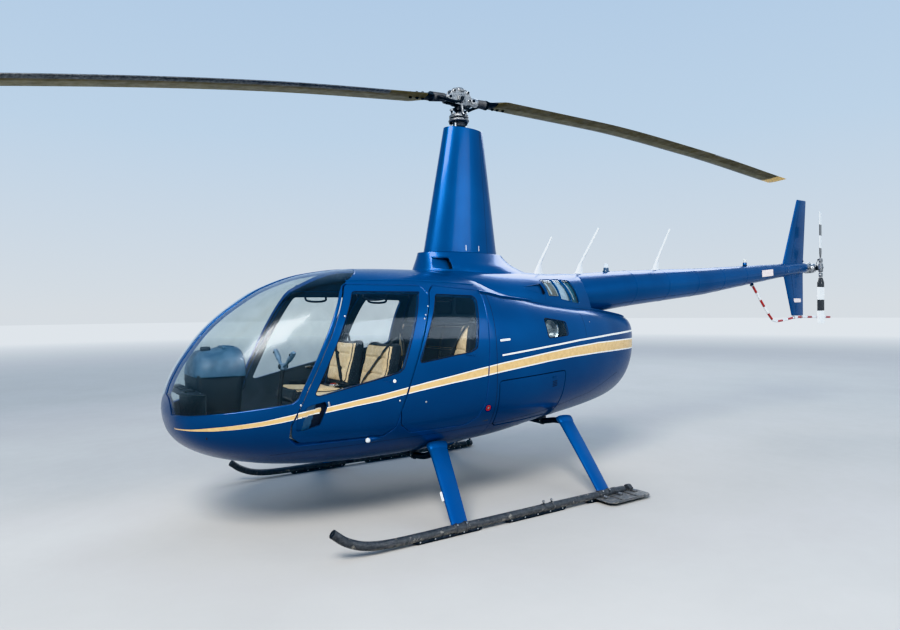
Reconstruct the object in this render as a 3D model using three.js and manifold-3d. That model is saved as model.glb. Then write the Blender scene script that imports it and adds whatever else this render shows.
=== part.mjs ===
// Light five-seat turbine helicopter, parked on its skids. Millimetres, +Z up, +X forward, +Y left.
// Stations (x) are measured forward of the rotor mast, heights (z) from the ground; the finished
// group is shifted by SHIFT_X so that its origin is at the middle of its box, on the ground.
import * as THREE from "three";
import { mergeVertices } from "three/addons/utils/BufferGeometryUtils.js";
import Module from "manifold-3d";

const wasm = await Module();
wasm.setup();

// ------------------------------------------------------------------ driving dimensions
const SHIFT_X = 700;          // mast station to origin
const WALL = 28;              // doors, roof and side walls, whole thickness
const THIN_WALL = 12;         // cowlings, tail cone and mast fairing
const SKIN_GAP = 0.4;         // between pieces that touch
const DOOR_GAP = 7;           // all round each door
const GLASS_OUT = 1.5;        // outer face of a pane below the skin
const GLASS_IN = 8;           // inner face of a pane below the skin
const ROTOR_R = 5010;         // main rotor radius
const BLADE_CHORD = 254;
const HUB_Z = 3367;           // main rotor plane at the mast
const HUB_X = 20;             // rotor axis
const TAIL_HUB = { x: -5862, y: 165, z: 2045 };
const TAIL_R = 762;
const TAIL_CHORD = 128;
const SKID_Y = 1120;          // skid tube centres
const SKID_R = 28.5;
const SKID_Z = 45;
const CABIN_AFT = 170;        // joint between cabin and engine cowling
const RING = 32;              // points around a body section

// Cabin and lower cowling, a section every few stations.
// x station | zb belly | zm widest height | zt crown | w half width | eu, el fullness above and below zm
const BODY = [
  [2465, 785, 850, 925, 125, 2.0, 2.0],
  [2445, 712, 850, 1008, 235, 2.1, 2.0],
  [2395, 640, 852, 1122, 345, 2.15, 2.05],
  [2305, 572, 862, 1262, 450, 2.2, 2.1],
  [2170, 512, 880, 1425, 548, 2.25, 2.15],
  [1990, 462, 910, 1572, 628, 2.45, 2.25],
  [1790, 425, 940, 1694, 684, 2.75, 2.35],
  [1500, 396, 965, 1795, 724, 3.1, 2.45],
  [1150, 382, 985, 1842, 738, 3.1, 2.55],
  [ 700, 385, 1000, 1850, 736, 3.0, 2.6],
  [ 250, 408, 1010, 1835, 722, 2.85, 2.6],
  [ -50, 430, 1015, 1760, 702, 2.9, 2.6],
  [-450, 478, 1025, 1660, 655, 3.1, 2.5],
  [-850, 520, 1050, 1602, 588, 3.1, 2.4],
  [-1200, 560, 1090, 1560, 512, 3.0, 2.4],
  [-1500, 604, 1130, 1520, 430, 2.9, 2.35],
  [-1700, 652, 1165, 1490, 366, 2.9, 2.3],
  [-1850, 728, 1190, 1462, 306, 2.9, 2.25],
  [-1930, 806, 1200, 1440, 256, 2.9, 2.2],
  [-1962, 872, 1205, 1415, 214, 2.9, 2.2],
  [-1975, 960, 1208, 1375, 150, 2.6, 2.2],
];

// Upper cowling behind the cabin roof, same columns.
const UPPER = [
  [ 620, 1500, 1640, 1790, 330, 2.2, 3],
  [ 380, 1480, 1620, 1862, 480, 2.3, 3],
  [  50, 1450, 1600, 1876, 505, 2.3, 3],
  [-450, 1400, 1570, 1866, 470, 2.4, 3],
  [-900, 1380, 1560, 1853, 405, 2.6, 3],
  [-1200, 1380, 1560, 1860, 345, 2.8, 3],
  [-1320, 1380, 1565, 1860, 320, 2.8, 3],
];
// Side outline behind the upper cowling's rear edge.
const UPPER_AFT = [[-1190, 2000], [-1186, 1700], [-1285, 1490], [-1290, 1300], [-1700, 1300], [-1700, 2000]];

// Side outlines (x, z), cut straight across.
const FRONT_DOOR = [[1378, 1702], [1742, 930], [1812, 775], [1804, 690], [1745, 646], [1150, 640], [1064, 690], [1040, 806], [740, 1644], [782, 1700]];
const REAR_DOOR = [[664, 1702], [714, 1660], [1031, 806], [1018, 700], [930, 636], [430, 640], [330, 690], [282, 800], [262, 1000], [222, 1640], [236, 1668]];
const FRONT_WINDOW = [[1342, 1652], [1668, 968], [1640, 960], [1052, 1082], [1018, 1110], [825, 1640], [808, 1652]];
const REAR_WINDOW = [[672, 1636], [880, 1165], [872, 1140], [420, 1200], [362, 1226], [296, 1600], [318, 1626]];
const WINDSHIELD = [[2650, 822], [1800, 918], [1782, 932], [1424, 1668], [1400, 1694], [1153, 1848], [1120, 1990], [2650, 1990]];
const SILL = [[2700, 802], [1790, 898], [CABIN_AFT - 1, 1000], [CABIN_AFT - 1, 100], [2700, 100]];
const BAGGAGE_DOOR = [[140, 950], [130, 610], [100, 585], [-600, 600], [-640, 640], [-650, 985]];
const COWL_WINDOW = [[-425, 1441], [-703, 1402], [-707, 1290], [-439, 1275]];
const UPPER_WINDOWS = [[-590, 1786], [-988, 1790], [-1080, 1566], [-805, 1598], [-618, 1626]];

// ------------------------------------------------------------------ small geometry kit
const group = new THREE.Group();
group.position.set(SHIFT_X, 0, 0);

const PAINT = { color: 0x0f4fa8, roughness: 0.25, metalness: 0.4 };
const GLASS = { color: 0x9fb4bd, roughness: 0.05, metalness: 0, transparent: true, opacity: 0.35 };
const DARK = { color: 0x26292c, roughness: 0.6, metalness: 0.2 };
const STEEL = { color: 0xa9adb0, roughness: 0.35, metalness: 0.9 };
const TAN = { color: 0xc9a26b, roughness: 0.7, metalness: 0 };
const GREY = { color: 0x6d7680, roughness: 0.8, metalness: 0 };
const WHITE = { color: 0xf0f0ec, roughness: 0.4, metalness: 0 };
const BLADE = { color: 0x4a4635, roughness: 0.6, metalness: 0.1 };

// A value at station x from a table, every column through its own monotone cubic.
function sampler(table) {
  const rows = [...table].sort((a, b) => a[0] - b[0]);
  const n = rows.length, cols = rows[0].length, slope = rows.map(() => []);
  for (let c = 1; c < cols; c++) {
    const d = [];
    for (let i = 0; i < n - 1; i++) d.push((rows[i + 1][c] - rows[i][c]) / (rows[i + 1][0] - rows[i][0]));
    for (let i = 0; i < n; i++) {
      if (i === 0) slope[i][c] = d[0];
      else if (i === n - 1) slope[i][c] = d[n - 2];
      else if (d[i - 1] * d[i] <= 0) slope[i][c] = 0;
      else slope[i][c] = (2 * d[i - 1] * d[i]) / (d[i - 1] + d[i]);
    }
  }
  return (x) => {
    let i = 0;
    while (i < n - 2 && x > rows[i + 1][0]) i++;
    const h = rows[i + 1][0] - rows[i][0], t = Math.min(1, Math.max(0, (x - rows[i][0]) / h));
    const out = [x];
    for (let c = 1; c < cols; c++) {
      const a = rows[i][c], b = rows[i + 1][c], m0 = slope[i][c] * h, m1 = slope[i + 1][c] * h;
      out.push((2 * t ** 3 - 3 * t ** 2 + 1) * a + (t ** 3 - 2 * t ** 2 + t) * m0 + (-2 * t ** 3 + 3 * t ** 2) * b + (t ** 3 - t ** 2) * m1);
    }
    return out;
  };
}
const power = (v, e) => Math.sign(v) * Math.abs(v) ** (2 / e);
function section([x, zb, zm, zt, w, eu, el], count = RING) {
  const ring = [];
  for (let i = 0; i < count; i++) {
    const t = ((i + 0.5) / count) * 2 * Math.PI, s = Math.sin(t), c = Math.cos(t), e = s > 0 ? eu : el;
    ring.push(new THREE.Vector3(x, w * power(c, e), zm + (s > 0 ? zt - zm : zm - zb) * power(s, e)));
  }
  return ring;
}
// Rings of points joined into one closed surface, with a fan over each end.
function ringsGeometry(rings) {
  const n = rings.length, m = rings[0].length, pos = [], idx = [];
  rings.forEach((r) => r.forEach((p) => pos.push(p.x, p.y, p.z)));
  const mid = (r) => r.reduce((a, p) => a.add(p), new THREE.Vector3()).divideScalar(m);
  for (const r of [rings[0], rings[n - 1]]) { const c = mid(r); pos.push(c.x, c.y, c.z); }
  for (let i = 0; i < n - 1; i++) for (let j = 0; j < m; j++) {
    const k = (j + 1) % m, a = i * m + j, b = i * m + k, c = (i + 1) * m + k, d = (i + 1) * m + j;
    idx.push(a, b, c, a, c, d);
  }
  for (let j = 0; j < m; j++) {
    const k = (j + 1) % m;
    idx.push(n * m, k, j, n * m + 1, (n - 1) * m + j, (n - 1) * m + k);
  }
  const g = new THREE.BufferGeometry();
  g.setAttribute("position", new THREE.Float32BufferAttribute(pos, 3));
  g.setIndex(idx);
  return outward(g);
}
function outward(g) {
  const p = g.attributes.position, id = g.index, a = new THREE.Vector3(), b = new THREE.Vector3(), c = new THREE.Vector3();
  let v = 0;
  for (let i = 0; i < id.count; i += 3) {
    a.fromBufferAttribute(p, id.getX(i)); b.fromBufferAttribute(p, id.getX(i + 1)); c.fromBufferAttribute(p, id.getX(i + 2));
    v += a.dot(b.cross(c));
  }
  if (v < 0) for (let i = 0; i < id.count; i += 3) { const t = id.getX(i + 1); id.setX(i + 1, id.getX(i + 2)); id.setX(i + 2, t); }
  return g;
}
// The same rings moved inward by d along the surface normals.
function offsetRings(rings, d) {
  const n = rings.length, m = rings[0].length;
  return rings.map((r, i) => r.map((p, j) => {
    const along = rings[Math.min(n - 1, i + 1)][j].clone().sub(rings[Math.max(0, i - 1)][j]);
    const around = r[(j + 1) % m].clone().sub(r[(j + m - 1) % m]);
    const nrm = along.cross(around).normalize();
    const out = p.clone().sub(r.reduce((a, q) => a.add(q), new THREE.Vector3()).divideScalar(m));
    if (nrm.dot(out) < 0) nrm.negate();
    return p.clone().addScaledVector(nrm, -d);
  }));
}
function solid(g) {
  let h = g.clone();
  h.deleteAttribute("normal"); h.deleteAttribute("uv");
  h = mergeVertices(h, 1e-3);
  return new wasm.Manifold(new wasm.Mesh({ numProp: 3, vertProperties: new Float32Array(h.attributes.position.array), triVerts: new Uint32Array(h.index.array) }));
}
function prism(outline, y0, y1) {
  const s = new THREE.Shape(outline.map(([x, z]) => new THREE.Vector2(x, z)));
  const g = new THREE.ExtrudeGeometry(s, { depth: y1 - y0, bevelEnabled: false });
  g.rotateX(Math.PI / 2);           // outline in XZ, depth towards -Y
  g.translate(0, y1, 0);
  return solid(g);
}
function box(x0, x1, y0, y1, z0, z1) {
  const g = new THREE.BoxGeometry(x1 - x0, y1 - y0, z1 - z0);
  g.translate((x0 + x1) / 2, (y0 + y1) / 2, (z0 + z1) / 2);
  return solid(g);
}
// A convex outline moved inward by d (outward when d is negative).
function inset(poly, d) {
  const n = poly.length;
  let area = 0;
  for (let i = 0; i < n; i++) { const [a, b] = poly[i], [c, e] = poly[(i + 1) % n]; area += a * e - c * b; }
  const s = area > 0 ? 1 : -1, lines = [];
  for (let i = 0; i < n; i++) {
    const [a, b] = poly[i], [c, e] = poly[(i + 1) % n], l = Math.hypot(c - a, e - b);
    const nx = (-(e - b) / l) * s, nz = ((c - a) / l) * s;
    lines.push([a + nx * d, b + nz * d, c - a, e - b]);
  }
  return poly.map((_, i) => {
    const [ax, az, adx, adz] = lines[(i + n - 1) % n], [bx, bz, bdx, bdz] = lines[i];
    const den = adx * bdz - adz * bdx, t = ((bx - ax) * bdz - (bz - az) * bdx) / den;
    return [ax + adx * t, az + adz * t];
  });
}
function tube(points, r, sides = 12, steps = 24, tension = 0.5) {
  const curve = new THREE.CatmullRomCurve3(points.map((p) => new THREE.Vector3(...p)), false, "catmullrom", tension);
  const shape = new THREE.Shape();
  for (let i = 0; i < sides; i++) { const a = (i / sides) * 2 * Math.PI; shape[i ? "lineTo" : "moveTo"](r * Math.cos(a), r * Math.sin(a)); }
  return solid(new THREE.ExtrudeGeometry(shape, { steps, bevelEnabled: false, extrudePath: curve }));
}
function straight(a, b, r0, r1 = r0, sides = 20) {
  const A = new THREE.Vector3(...a), B = new THREE.Vector3(...b), l = A.distanceTo(B);
  const g = new THREE.CylinderGeometry(r1, r0, l, sides);
  g.applyQuaternion(new THREE.Quaternion().setFromUnitVectors(new THREE.Vector3(0, 1, 0), B.clone().sub(A).normalize()));
  g.translate((A.x + B.x) / 2, (A.y + B.y) / 2, (A.z + B.z) / 2);
  return solid(g);
}
// Rings of an airfoil-like section: rows of [centre xyz, chord vector, thickness vector, nose fraction].
const FOIL = [[0, 0], [0.03, 0.42], [0.12, 0.8], [0.3, 1], [0.55, 0.82], [0.8, 0.42], [1, 0.05]];
function foilRings(rows) {
  return rows.map(([lead, chord, thick]) => {
    const L = new THREE.Vector3(...lead), C = new THREE.Vector3(...chord), T = new THREE.Vector3(...thick).multiplyScalar(0.5), ring = [];
    for (const [u, t] of FOIL) ring.push(L.clone().addScaledVector(C, u).addScaledVector(T, t));
    for (const [u, t] of FOIL.slice(1).reverse()) ring.push(L.clone().addScaledVector(C, u).addScaledVector(T, -t));
    return ring;
  });
}
function add(name, manifold, look) {
  const m = manifold.getMesh(), g = new THREE.BufferGeometry();
  const keep = [];
  for (let i = 0; i < m.vertProperties.length; i += m.numProp) keep.push(m.vertProperties[i], m.vertProperties[i + 1], m.vertProperties[i + 2]);
  g.setAttribute("position", new THREE.Float32BufferAttribute(keep, 3));
  g.setIndex(Array.from(m.triVerts));
  const mesh = new THREE.Mesh(g, new THREE.MeshStandardMaterial(look));
  mesh.name = name;
  group.add(mesh);
}

// ------------------------------------------------------------------ body shells
const bodyAt = sampler(BODY), upperAt = sampler(UPPER);
const STATIONS = [2465, 2445, 2395, 2305, 2240, 2170, 2085, 1990, 1890, 1790, 1650, 1500, 1330, 1150, 930, 700, 475, 250, 100, -100, -350, -600, -850, -1100, -1330, -1500, -1650, -1770, -1860, -1930, -1962, -1975];
const bodyRings = STATIONS.map((x) => section(bodyAt(x)));
const bodyOut = solid(ringsGeometry(bodyRings));
const bodyIn = solid(ringsGeometry(offsetRings(bodyRings, WALL)));
const bodyInner2 = solid(ringsGeometry(offsetRings(bodyRings, WALL + 8)));
const wallHeads = solid(ringsGeometry(offsetRings(bodyRings, WALL - 6)));
const bodyInner3 = solid(ringsGeometry(offsetRings(bodyRings, WALL + 34)));
const bodyPlus = solid(ringsGeometry(offsetRings(bodyRings, -SKIN_GAP)));
const paneOut = solid(ringsGeometry(offsetRings(bodyRings, GLASS_OUT)));
const paneIn = solid(ringsGeometry(offsetRings(bodyRings, GLASS_IN)));
const wall = bodyOut.subtract(bodyIn);
const pane = paneOut.subtract(paneIn);
const cabinIn = solid(ringsGeometry(offsetRings(bodyRings, WALL + SKIN_GAP)));
const thinWall = bodyOut.subtract(solid(ringsGeometry(offsetRings(bodyRings, THIN_WALL))));

// doors, one pair of each: front edge hinged
const FAR = 1500, MID = 60;
const side = { left: [MID, FAR], right: [-FAR, -MID] };
const frontOpening = inset(FRONT_DOOR, -DOOR_GAP);
frontOpening.splice(3, 3, [1821, 676], [1756, 622], [1560, 627], [1145, 627]);   // room for the lower corner as it swings
let openings = prism(frontOpening, ...side.left)
  .add(prism(frontOpening, ...side.right))
  .add(prism(inset(REAR_DOOR, -DOOR_GAP), ...side.left))
  .add(prism(inset(REAR_DOOR, -DOOR_GAP), ...side.right));
for (const s of ["left", "right"]) {
  for (const [name, outline, window] of [["front", FRONT_DOOR, FRONT_WINDOW], ["rear", REAR_DOOR, REAR_WINDOW]]) {
    const door = wall.intersect(prism(outline, ...side[s])).subtract(prism(window, ...side[s]));
    add(`${name}_door_${s}`, door, PAINT);
    add(`${name}_door_${s}_pane`, pane.intersect(prism(inset(window, SKIN_GAP), ...side[s])), GLASS);
  }
}

// windscreen in two halves on each side of a centre bow
const BOW = 24;
const screenCut = prism(WINDSHIELD, -FAR, FAR).subtract(box(900, 2700, -BOW, BOW, 700, 2100));
add("windshield_left", pane.intersect(prism(inset(WINDSHIELD, SKIN_GAP), BOW + SKIN_GAP, FAR)), GLASS);
add("windshield_right", pane.intersect(prism(inset(WINDSHIELD, SKIN_GAP), -FAR, -BOW - SKIN_GAP)), GLASS);

// cabin: lower fuselage and upper frame
const cabinWall = wall.intersect(box(CABIN_AFT, 2700, -FAR, FAR, 0, 2200)).subtract(openings).subtract(screenCut);
const below = prism(SILL, -FAR, FAR);
const belowPlus = prism(inset(SILL, -SKIN_GAP), -FAR, FAR);
add("lower_fuselage", cabinWall.intersect(below), PAINT);
// posts between the doors, behind them, hung from the roof
const POST = [[740, 1664], [734, 1745], [654, 1745], [660, 1664], [946, 880], [1020, 880]];
const POST_HEAD = [[738, 1712], [734, 1745], [654, 1745], [660, 1712]];
let frameWall = cabinWall.subtract(belowPlus);
const posts = bodyInner2.subtract(bodyInner3), heads = wallHeads.subtract(bodyInner3);
for (const s of ["left", "right"]) frameWall = frameWall.add(posts.intersect(prism(POST, ...side[s]))).add(heads.intersect(prism(POST_HEAD, ...side[s])));
add("cabin_frame", frameWall, PAINT);

// floor with the seat boxes, and the rear bulkhead with the baggage bay's shelf and wall
const FLOOR_Z = 640;
const SEAT_BOX = [[1010, FLOOR_Z - 1], [1500, FLOOR_Z - 1], [1500, 790], [1010, 772]];
const REAR_SEAT_BOX = [[201, FLOOR_Z - 1], [790, FLOOR_Z - 1], [790, 800], [201, 780]];
const floor = box(201, 2200, -FAR, FAR, FLOOR_Z - 25, FLOOR_Z)
  .add(prism(SEAT_BOX, 70, 560)).add(prism(SEAT_BOX, -560, -70)).add(prism(REAR_SEAT_BOX, -FAR, FAR));
add("cabin_floor", cabinIn.intersect(floor).subtract(openings), GREY);
const bulkhead = box(180, 200, -FAR, FAR, 400, 1900)
  .add(box(-690, 181, -FAR, FAR, 1030, 1045)).add(box(-705, -690, -FAR, FAR, 400, 1045));
add("rear_bulkhead", cabinIn.intersect(bulkhead), GREY);

// aft fuselage with engine bay and baggage bay
let aft = thinWall.intersect(box(-2200, CABIN_AFT - SKIN_GAP, -FAR, FAR, 0, 2200));
aft = aft.subtract(prism(inset(BAGGAGE_DOOR, -DOOR_GAP), ...side.left));
aft = aft.subtract(prism(COWL_WINDOW, -FAR, FAR));
const EXHAUST = { a: [-1500, 0, 1130], b: [-2060, 0, 1085], r: 95 };
aft = aft.subtract(straight([-1500, 0, 1130], [-2200, 0, 1074], EXHAUST.r + 12));
add("aft_fuselage", aft, PAINT);
add("baggage_door", thinWall.intersect(prism(BAGGAGE_DOOR, ...side.left)), PAINT);
add("engine_block", box(-1380, -800, -190, 190, 900, 1290), STEEL);
add("exhaust_pipe", straight(EXHAUST.a, EXHAUST.b, EXHAUST.r).subtract(straight([-1560, 0, 1125], [-2100, 0, 1082], EXHAUST.r - 8)), STEEL);

// upper cowling
const upperStations = [620, 500, 380, 200, 0, -300, -600, -900, -1200, -1320];
const upperRings = upperStations.map((x) => section(upperAt(x), 28));
const upperAft = (d) => prism(UPPER_AFT.map(([x, z], i) => [i < 4 ? x + d : x, z]), -FAR, FAR);
const upperOut = solid(ringsGeometry(upperRings)).subtract(upperAft(0));
const upperIn = solid(ringsGeometry(offsetRings(upperRings, 22))).intersect(box(-1440, 560, -FAR, FAR, 1000, 2100)).subtract(upperAft(24))
  .add(straight([-1120, 0, 1642], [-1340, 0, 1658], 180));
const upperPlus = solid(ringsGeometry(offsetRings(upperRings, -SKIN_GAP))).subtract(upperAft(-2 * SKIN_GAP));
const upperCut = prism(UPPER_WINDOWS, -FAR, FAR).subtract(box(-2000, 1000, -150, 150, 1400, 2000));
add("upper_cowling", upperOut.subtract(upperIn).subtract(bodyPlus).subtract(upperCut), PAINT);

// mast base fairing and mast fairing: rows of z | front x | rear x | half width
const BASE = [[1700, 520, -1000, 340], [1800, 502, -880, 322], [1880, 476, -630, 290], [1930, 460, -520, 250], [1970, 448, -466, 222], [2008, 440, -432, 196]];
const MAST = [[2012, 386, -382, 150], [2300, 330, -342, 138], [2700, 252, -288, 118], [3110, 172, -232, 96]];
function standRings(rows, count, nose) {
  return rows.map(([z, xf, xr, w]) => {
    const ring = [], xc = xf - (xf - xr) * nose;
    for (let i = 0; i < count; i++) {
      const t = (i / count) * 2 * Math.PI, c = Math.cos(t), s = Math.sin(t);
      ring.push(new THREE.Vector3(c > 0 ? xc + (xf - xc) * c : xc + (xc - xr) * c, w * (c > 0 ? s : Math.sign(s) * Math.abs(s) ** 1.25), z));
    }
    return ring;
  });
}
const baseSolid = solid(ringsGeometry(standRings(BASE, 32, 0.42)));
const within = (rows, d, z0, z1) => rows.map(([z, xf, xr, w], i) => [i === 0 ? z0 : i === rows.length - 1 ? z1 : z, xf - d, xr + d, w - d]);
const baseIn = solid(ringsGeometry(standRings(within(BASE, THIN_WALL, 1690, 2008 - THIN_WALL), 32, 0.42)));
add("mast_base_fairing", baseSolid.subtract(baseIn).subtract(bodyPlus).subtract(upperPlus), PAINT);
const mastBore = straight([HUB_X, 0, 2860], [HUB_X, 0, 3200], 62);
const mastIn = solid(ringsGeometry(standRings(within(MAST, THIN_WALL, 2000, 3110 - THIN_WALL), 28, 0.4)));
add("mast_fairing", solid(ringsGeometry(standRings(MAST, 28, 0.4))).subtract(mastIn).subtract(mastBore), PAINT);

// ------------------------------------------------------------------ tail
// x | z centre | radius
const CONE = [[-1150, 1640, 212], [-1440, 1664, 208], [-2100, 1727, 190], [-3420, 1822, 156], [-5180, 1999, 86]];
const CASTING = [[-5180.5, 1999, 87], [-5510, 2032, 73], [-5720, 2046, 66]];
const roundRings = (rows) => rows.map(([x, z, r]) => {
  const ring = [];
  for (let i = 0; i < 24; i++) { const t = ((i + 0.5) / 24) * 2 * Math.PI; ring.push(new THREE.Vector3(x, r * Math.cos(t), z + r * Math.sin(t))); }
  return ring;
});
const coneRings = roundRings(CONE);
const cone = solid(ringsGeometry(coneRings));
const conePlus = solid(ringsGeometry(offsetRings(coneRings, -2 * SKIN_GAP)));
const coneIn = solid(ringsGeometry(roundRings([[-1100, 1636, 212 - 8], [-1440, 1664, 208 - 8], [-2100, 1727, 190 - 8], [-3420, 1822, 156 - 8], [-5170, 1998, 86 - 8]])));
add("tail_cone", cone.subtract(coneIn).subtract(upperPlus).subtract(bodyPlus), PAINT);

const FIN_T = 34;
const upperFin = foilRings([[[-5190, 0, 2060], [-522, 0, 0], [0, FIN_T, 0]], [[-5562, 0, 2973], [-233, 0, 0], [0, FIN_T * 0.7, 0]]]);
const lowerFin = foilRings([[[-5200, 0, 2005], [-512, 0, 0], [0, FIN_T, 0]], [[-5421, 0, 1394], [-294, 0, 0], [0, FIN_T * 0.7, 0]]]);
const casting = solid(ringsGeometry(roundRings(CASTING)));
add("tail_fin", casting.add(solid(ringsGeometry(upperFin))).add(solid(ringsGeometry(lowerFin))), PAINT);
const castingPlus = solid(ringsGeometry(offsetRings(roundRings(CASTING), -2 * SKIN_GAP)));
add("horizontal_stabilizer", solid(ringsGeometry(foilRings([
  [[-5300, -40, 2030], [-330, 0, 0], [0, 0, 38]],
  [[-5330, -900, 2030], [-290, 0, 0], [0, 0, 30]],
]))).subtract(castingPlus), PAINT);

const gear = straight([-5722, 0, 2046], [-5800, 0, 2046], 58, 62, 20)
  .add(straight([-5870, -75, 2045], [-5870, 95, 2045], 68, 60, 20))
  .add(straight([-5800, 0, 2048], [-5870, 0, 2045], 50, 50, 16));
add("tail_gearbox", gear, STEEL);
add("tail_guard", tube([[-4500, 0, 1790], [-4700, 0, 1585], [-4905, 0, 1386], [-5010, 0, 1330], [-5150, 0, 1330], [-5400, 0, 1358], [-5560, 0, 1372], [-5900, 0, 1370], [-6430, 0, 1361]], 12.5, 8, 24).subtract(conePlus).subtract(box(-5720, -5400, -20, 20, 1392, 1500)), WHITE);

// ------------------------------------------------------------------ tail rotor
const TH = TAIL_HUB;
const tailHub = straight([TH.x, 102, TH.z], [TH.x, TH.y + 30, TH.z], 22, 22, 16)
  .add(box(TH.x - 34, TH.x + 34, TH.y - 24, TH.y + 24, TH.z - 130, TH.z + 130));
add("tail_rotor_hub", tailHub, STEEL);
const pitch = THREE.MathUtils.degToRad(14);
function tailBlade(dir) {
  const c = Math.cos(pitch), s = -Math.sin(pitch) * dir, chord = [-TAIL_CHORD * c, TAIL_CHORD * s, 0], thick = [14 * s, 14 * c, 0];
  const rows = [TAIL_R, 200, 132].map((r, i) => {
    const k = i === 2 ? 0.55 : 1;
    return [[TH.x + (TAIL_CHORD * c * k) / 2, TH.y - (TAIL_CHORD * s * k) / 2, TH.z + dir * r], chord.map((v) => v * k), thick];
  });
  return solid(ringsGeometry(foilRings(rows)));
}
const hubPlus = box(TH.x - 35, TH.x + 35, TH.y - 25, TH.y + 25, TH.z - 131, TH.z + 131);
add("tail_blade_upper", tailBlade(1).subtract(hubPlus), WHITE);
add("tail_blade_lower", tailBlade(-1).subtract(hubPlus), WHITE);

// ------------------------------------------------------------------ main rotor
// blade centre line: radius | droop of the fore blade | droop of the aft blade
const SAG = [[330, 18, -4], [1600, 159, -7], [3200, 407, 59], [ROTOR_R, 767, 204]];
const hub = straight([HUB_X, 0, 2900], [HUB_X, 0, HUB_Z + 111], 32, 32, 20)
  .add(box(HUB_X - 235, HUB_X + 235, -42, 42, HUB_Z - 34, HUB_Z + 34))
  .add(straight([HUB_X, 0, HUB_Z - 60], [HUB_X, 0, HUB_Z + 70], 62, 55, 20));
add("main_rotor_hub", hub, STEEL);
function mainBlade(dir, col) {
  const at = sampler(SAG.map((r) => [r[0], r[col]]));
  const radii = [ROTOR_R, 4600, 4100, 3600, 3000, 2400, 1800, 1200, 620, 500, 420, 330, 240];
  // root: radius | chord | leading edge ahead of the blade centre line | thickness
  const root = { 500: [254, 76, 34], 420: [248, 76, 44], 330: [190, 74, 56], 240: [120, 60, 60] };
  const rows = radii.map((r) => {
    const [c, lead, th] = root[r] ?? [BLADE_CHORD, 76, 30];
    const z = HUB_Z - at(Math.max(r, 330))[1];
    // leading edge of the turning blade: +Y side for the fore blade, -Y side for the aft one
    return [[HUB_X + dir * r, dir * lead, z], [0, -dir * c, 0], [0, 0, th]];
  });
  return solid(ringsGeometry(foilRings(rows))).subtract(box(HUB_X - 235.5, HUB_X + 235.5, -42.5, 42.5, HUB_Z - 34.5, HUB_Z + 34.5));
}
add("main_blade_fore", mainBlade(1, 1), BLADE);
add("main_blade_aft", mainBlade(-1, 2), BLADE);
const HX = HUB_X;
add("swashplate_rotating", straight([HX, 0, 3206], [HX, 0, 3236], 86, 82, 24)
  .add(straight([HX, 70, 3236], [HX, 90, HUB_Z - 40], 9, 9, 10))
  .add(straight([HX, -70, 3236], [HX, -90, HUB_Z - 40], 9, 9, 10)).subtract(straight([HX, 0, 3100], [HX, 0, 3500], 33, 33, 20)), STEEL);
add("swashplate_fixed", straight([HX, 0, 3172], [HX, 0, 3198], 90, 90, 24)
  .add(straight([HX + 62, 36, 3172], [HX + 62, 36, 3111], 9, 9, 10))
  .add(straight([HX + 62, -36, 3172], [HX + 62, -36, 3111], 9, 9, 10))
  .add(straight([HX - 74, 0, 3172], [HX - 74, 0, 3111], 9, 9, 10))
  .subtract(straight([HX, 0, 3100], [HX, 0, 3500], 42, 42, 20)), STEEL);

// ------------------------------------------------------------------ landing gear
// strut: top station x, top z, top y | foot x, foot z
const STRUTS = [["front", 640, 470, 560, 812], ["rear", -760, 520, 480, -580]];
const FOOT_Y = 1112, FOOT_Z = 70;
for (const [where, tx, tz, ty, fx] of STRUTS) {
  let g = null;
  for (const s of [1, -1]) {
    const top = [tx + 78, s * ty, tz], foot = [fx + 66, s * FOOT_Y, FOOT_Z];
    const leg = solid(ringsGeometry(foilRings([[top, [-160, 0, 0], [0, 48 * 0.8, 48 * 0.6]], [foot, [-132, 0, 0], [0, 40 * 0.8, 40 * 0.6]]])));
    g = g ? g.add(leg) : leg;
  }
  const tubePts = [[tx, ty + 30, tz - 22], [tx, ty - 140, tz - 38], [tx, 0, where === "front" ? 345 : 480], [tx, -ty + 140, tz - 38], [tx, -ty - 30, tz - 22]];
  const zc = where === "front" ? 352 : 478;
  const cross = tube([[tx, ty + 20, tz - 10], [tx, ty * 0.75, zc + 30], [tx, ty * 0.4, zc], [tx, -ty * 0.4, zc], [tx, -ty * 0.75, zc + 30], [tx, -ty - 20, tz - 10]], 26, 10, 10);
  g = g.add(cross).subtract(bodyPlus);
  for (const s of [1, -1]) g = g.subtract(straight([-900, s * SKID_Y, SKID_Z], [1500, s * SKID_Y, SKID_Z], SKID_R + 1.6, SKID_R + 1.6, 16));
  add(`${where}_cross_tube`, g, PAINT);
}
for (const [name, s] of [["left", 1], ["right", -1]]) {
  const y = s * SKID_Y;
  let skid = tube([[-800, y, SKID_Z], [-300, y, SKID_Z], [300, y, SKID_Z], [900, y, SKID_Z], [1300, y, SKID_Z], [1500, y, 62], [1640, y - s * 4, 112], [1735, y - s * 10, 182]], SKID_R, 12, 20);
  skid = skid.add(box(-760, -380, y - 22, y + 22, 0, 30)).add(box(-150, 420, y - 22, y + 22, 0, 30)).add(box(640, 1180, y - 22, y + 22, 0, 30));
  const pad = [[-930, 45], [-930, 39], [-460, 39], [-460, 45]];
  skid = skid.add(box(-925, -460, s > 0 ? y + 10 : y - 200, s > 0 ? y + 200 : y - 10, 24, 32));
  add(`skid_${name}`, skid, DARK);
}

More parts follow.
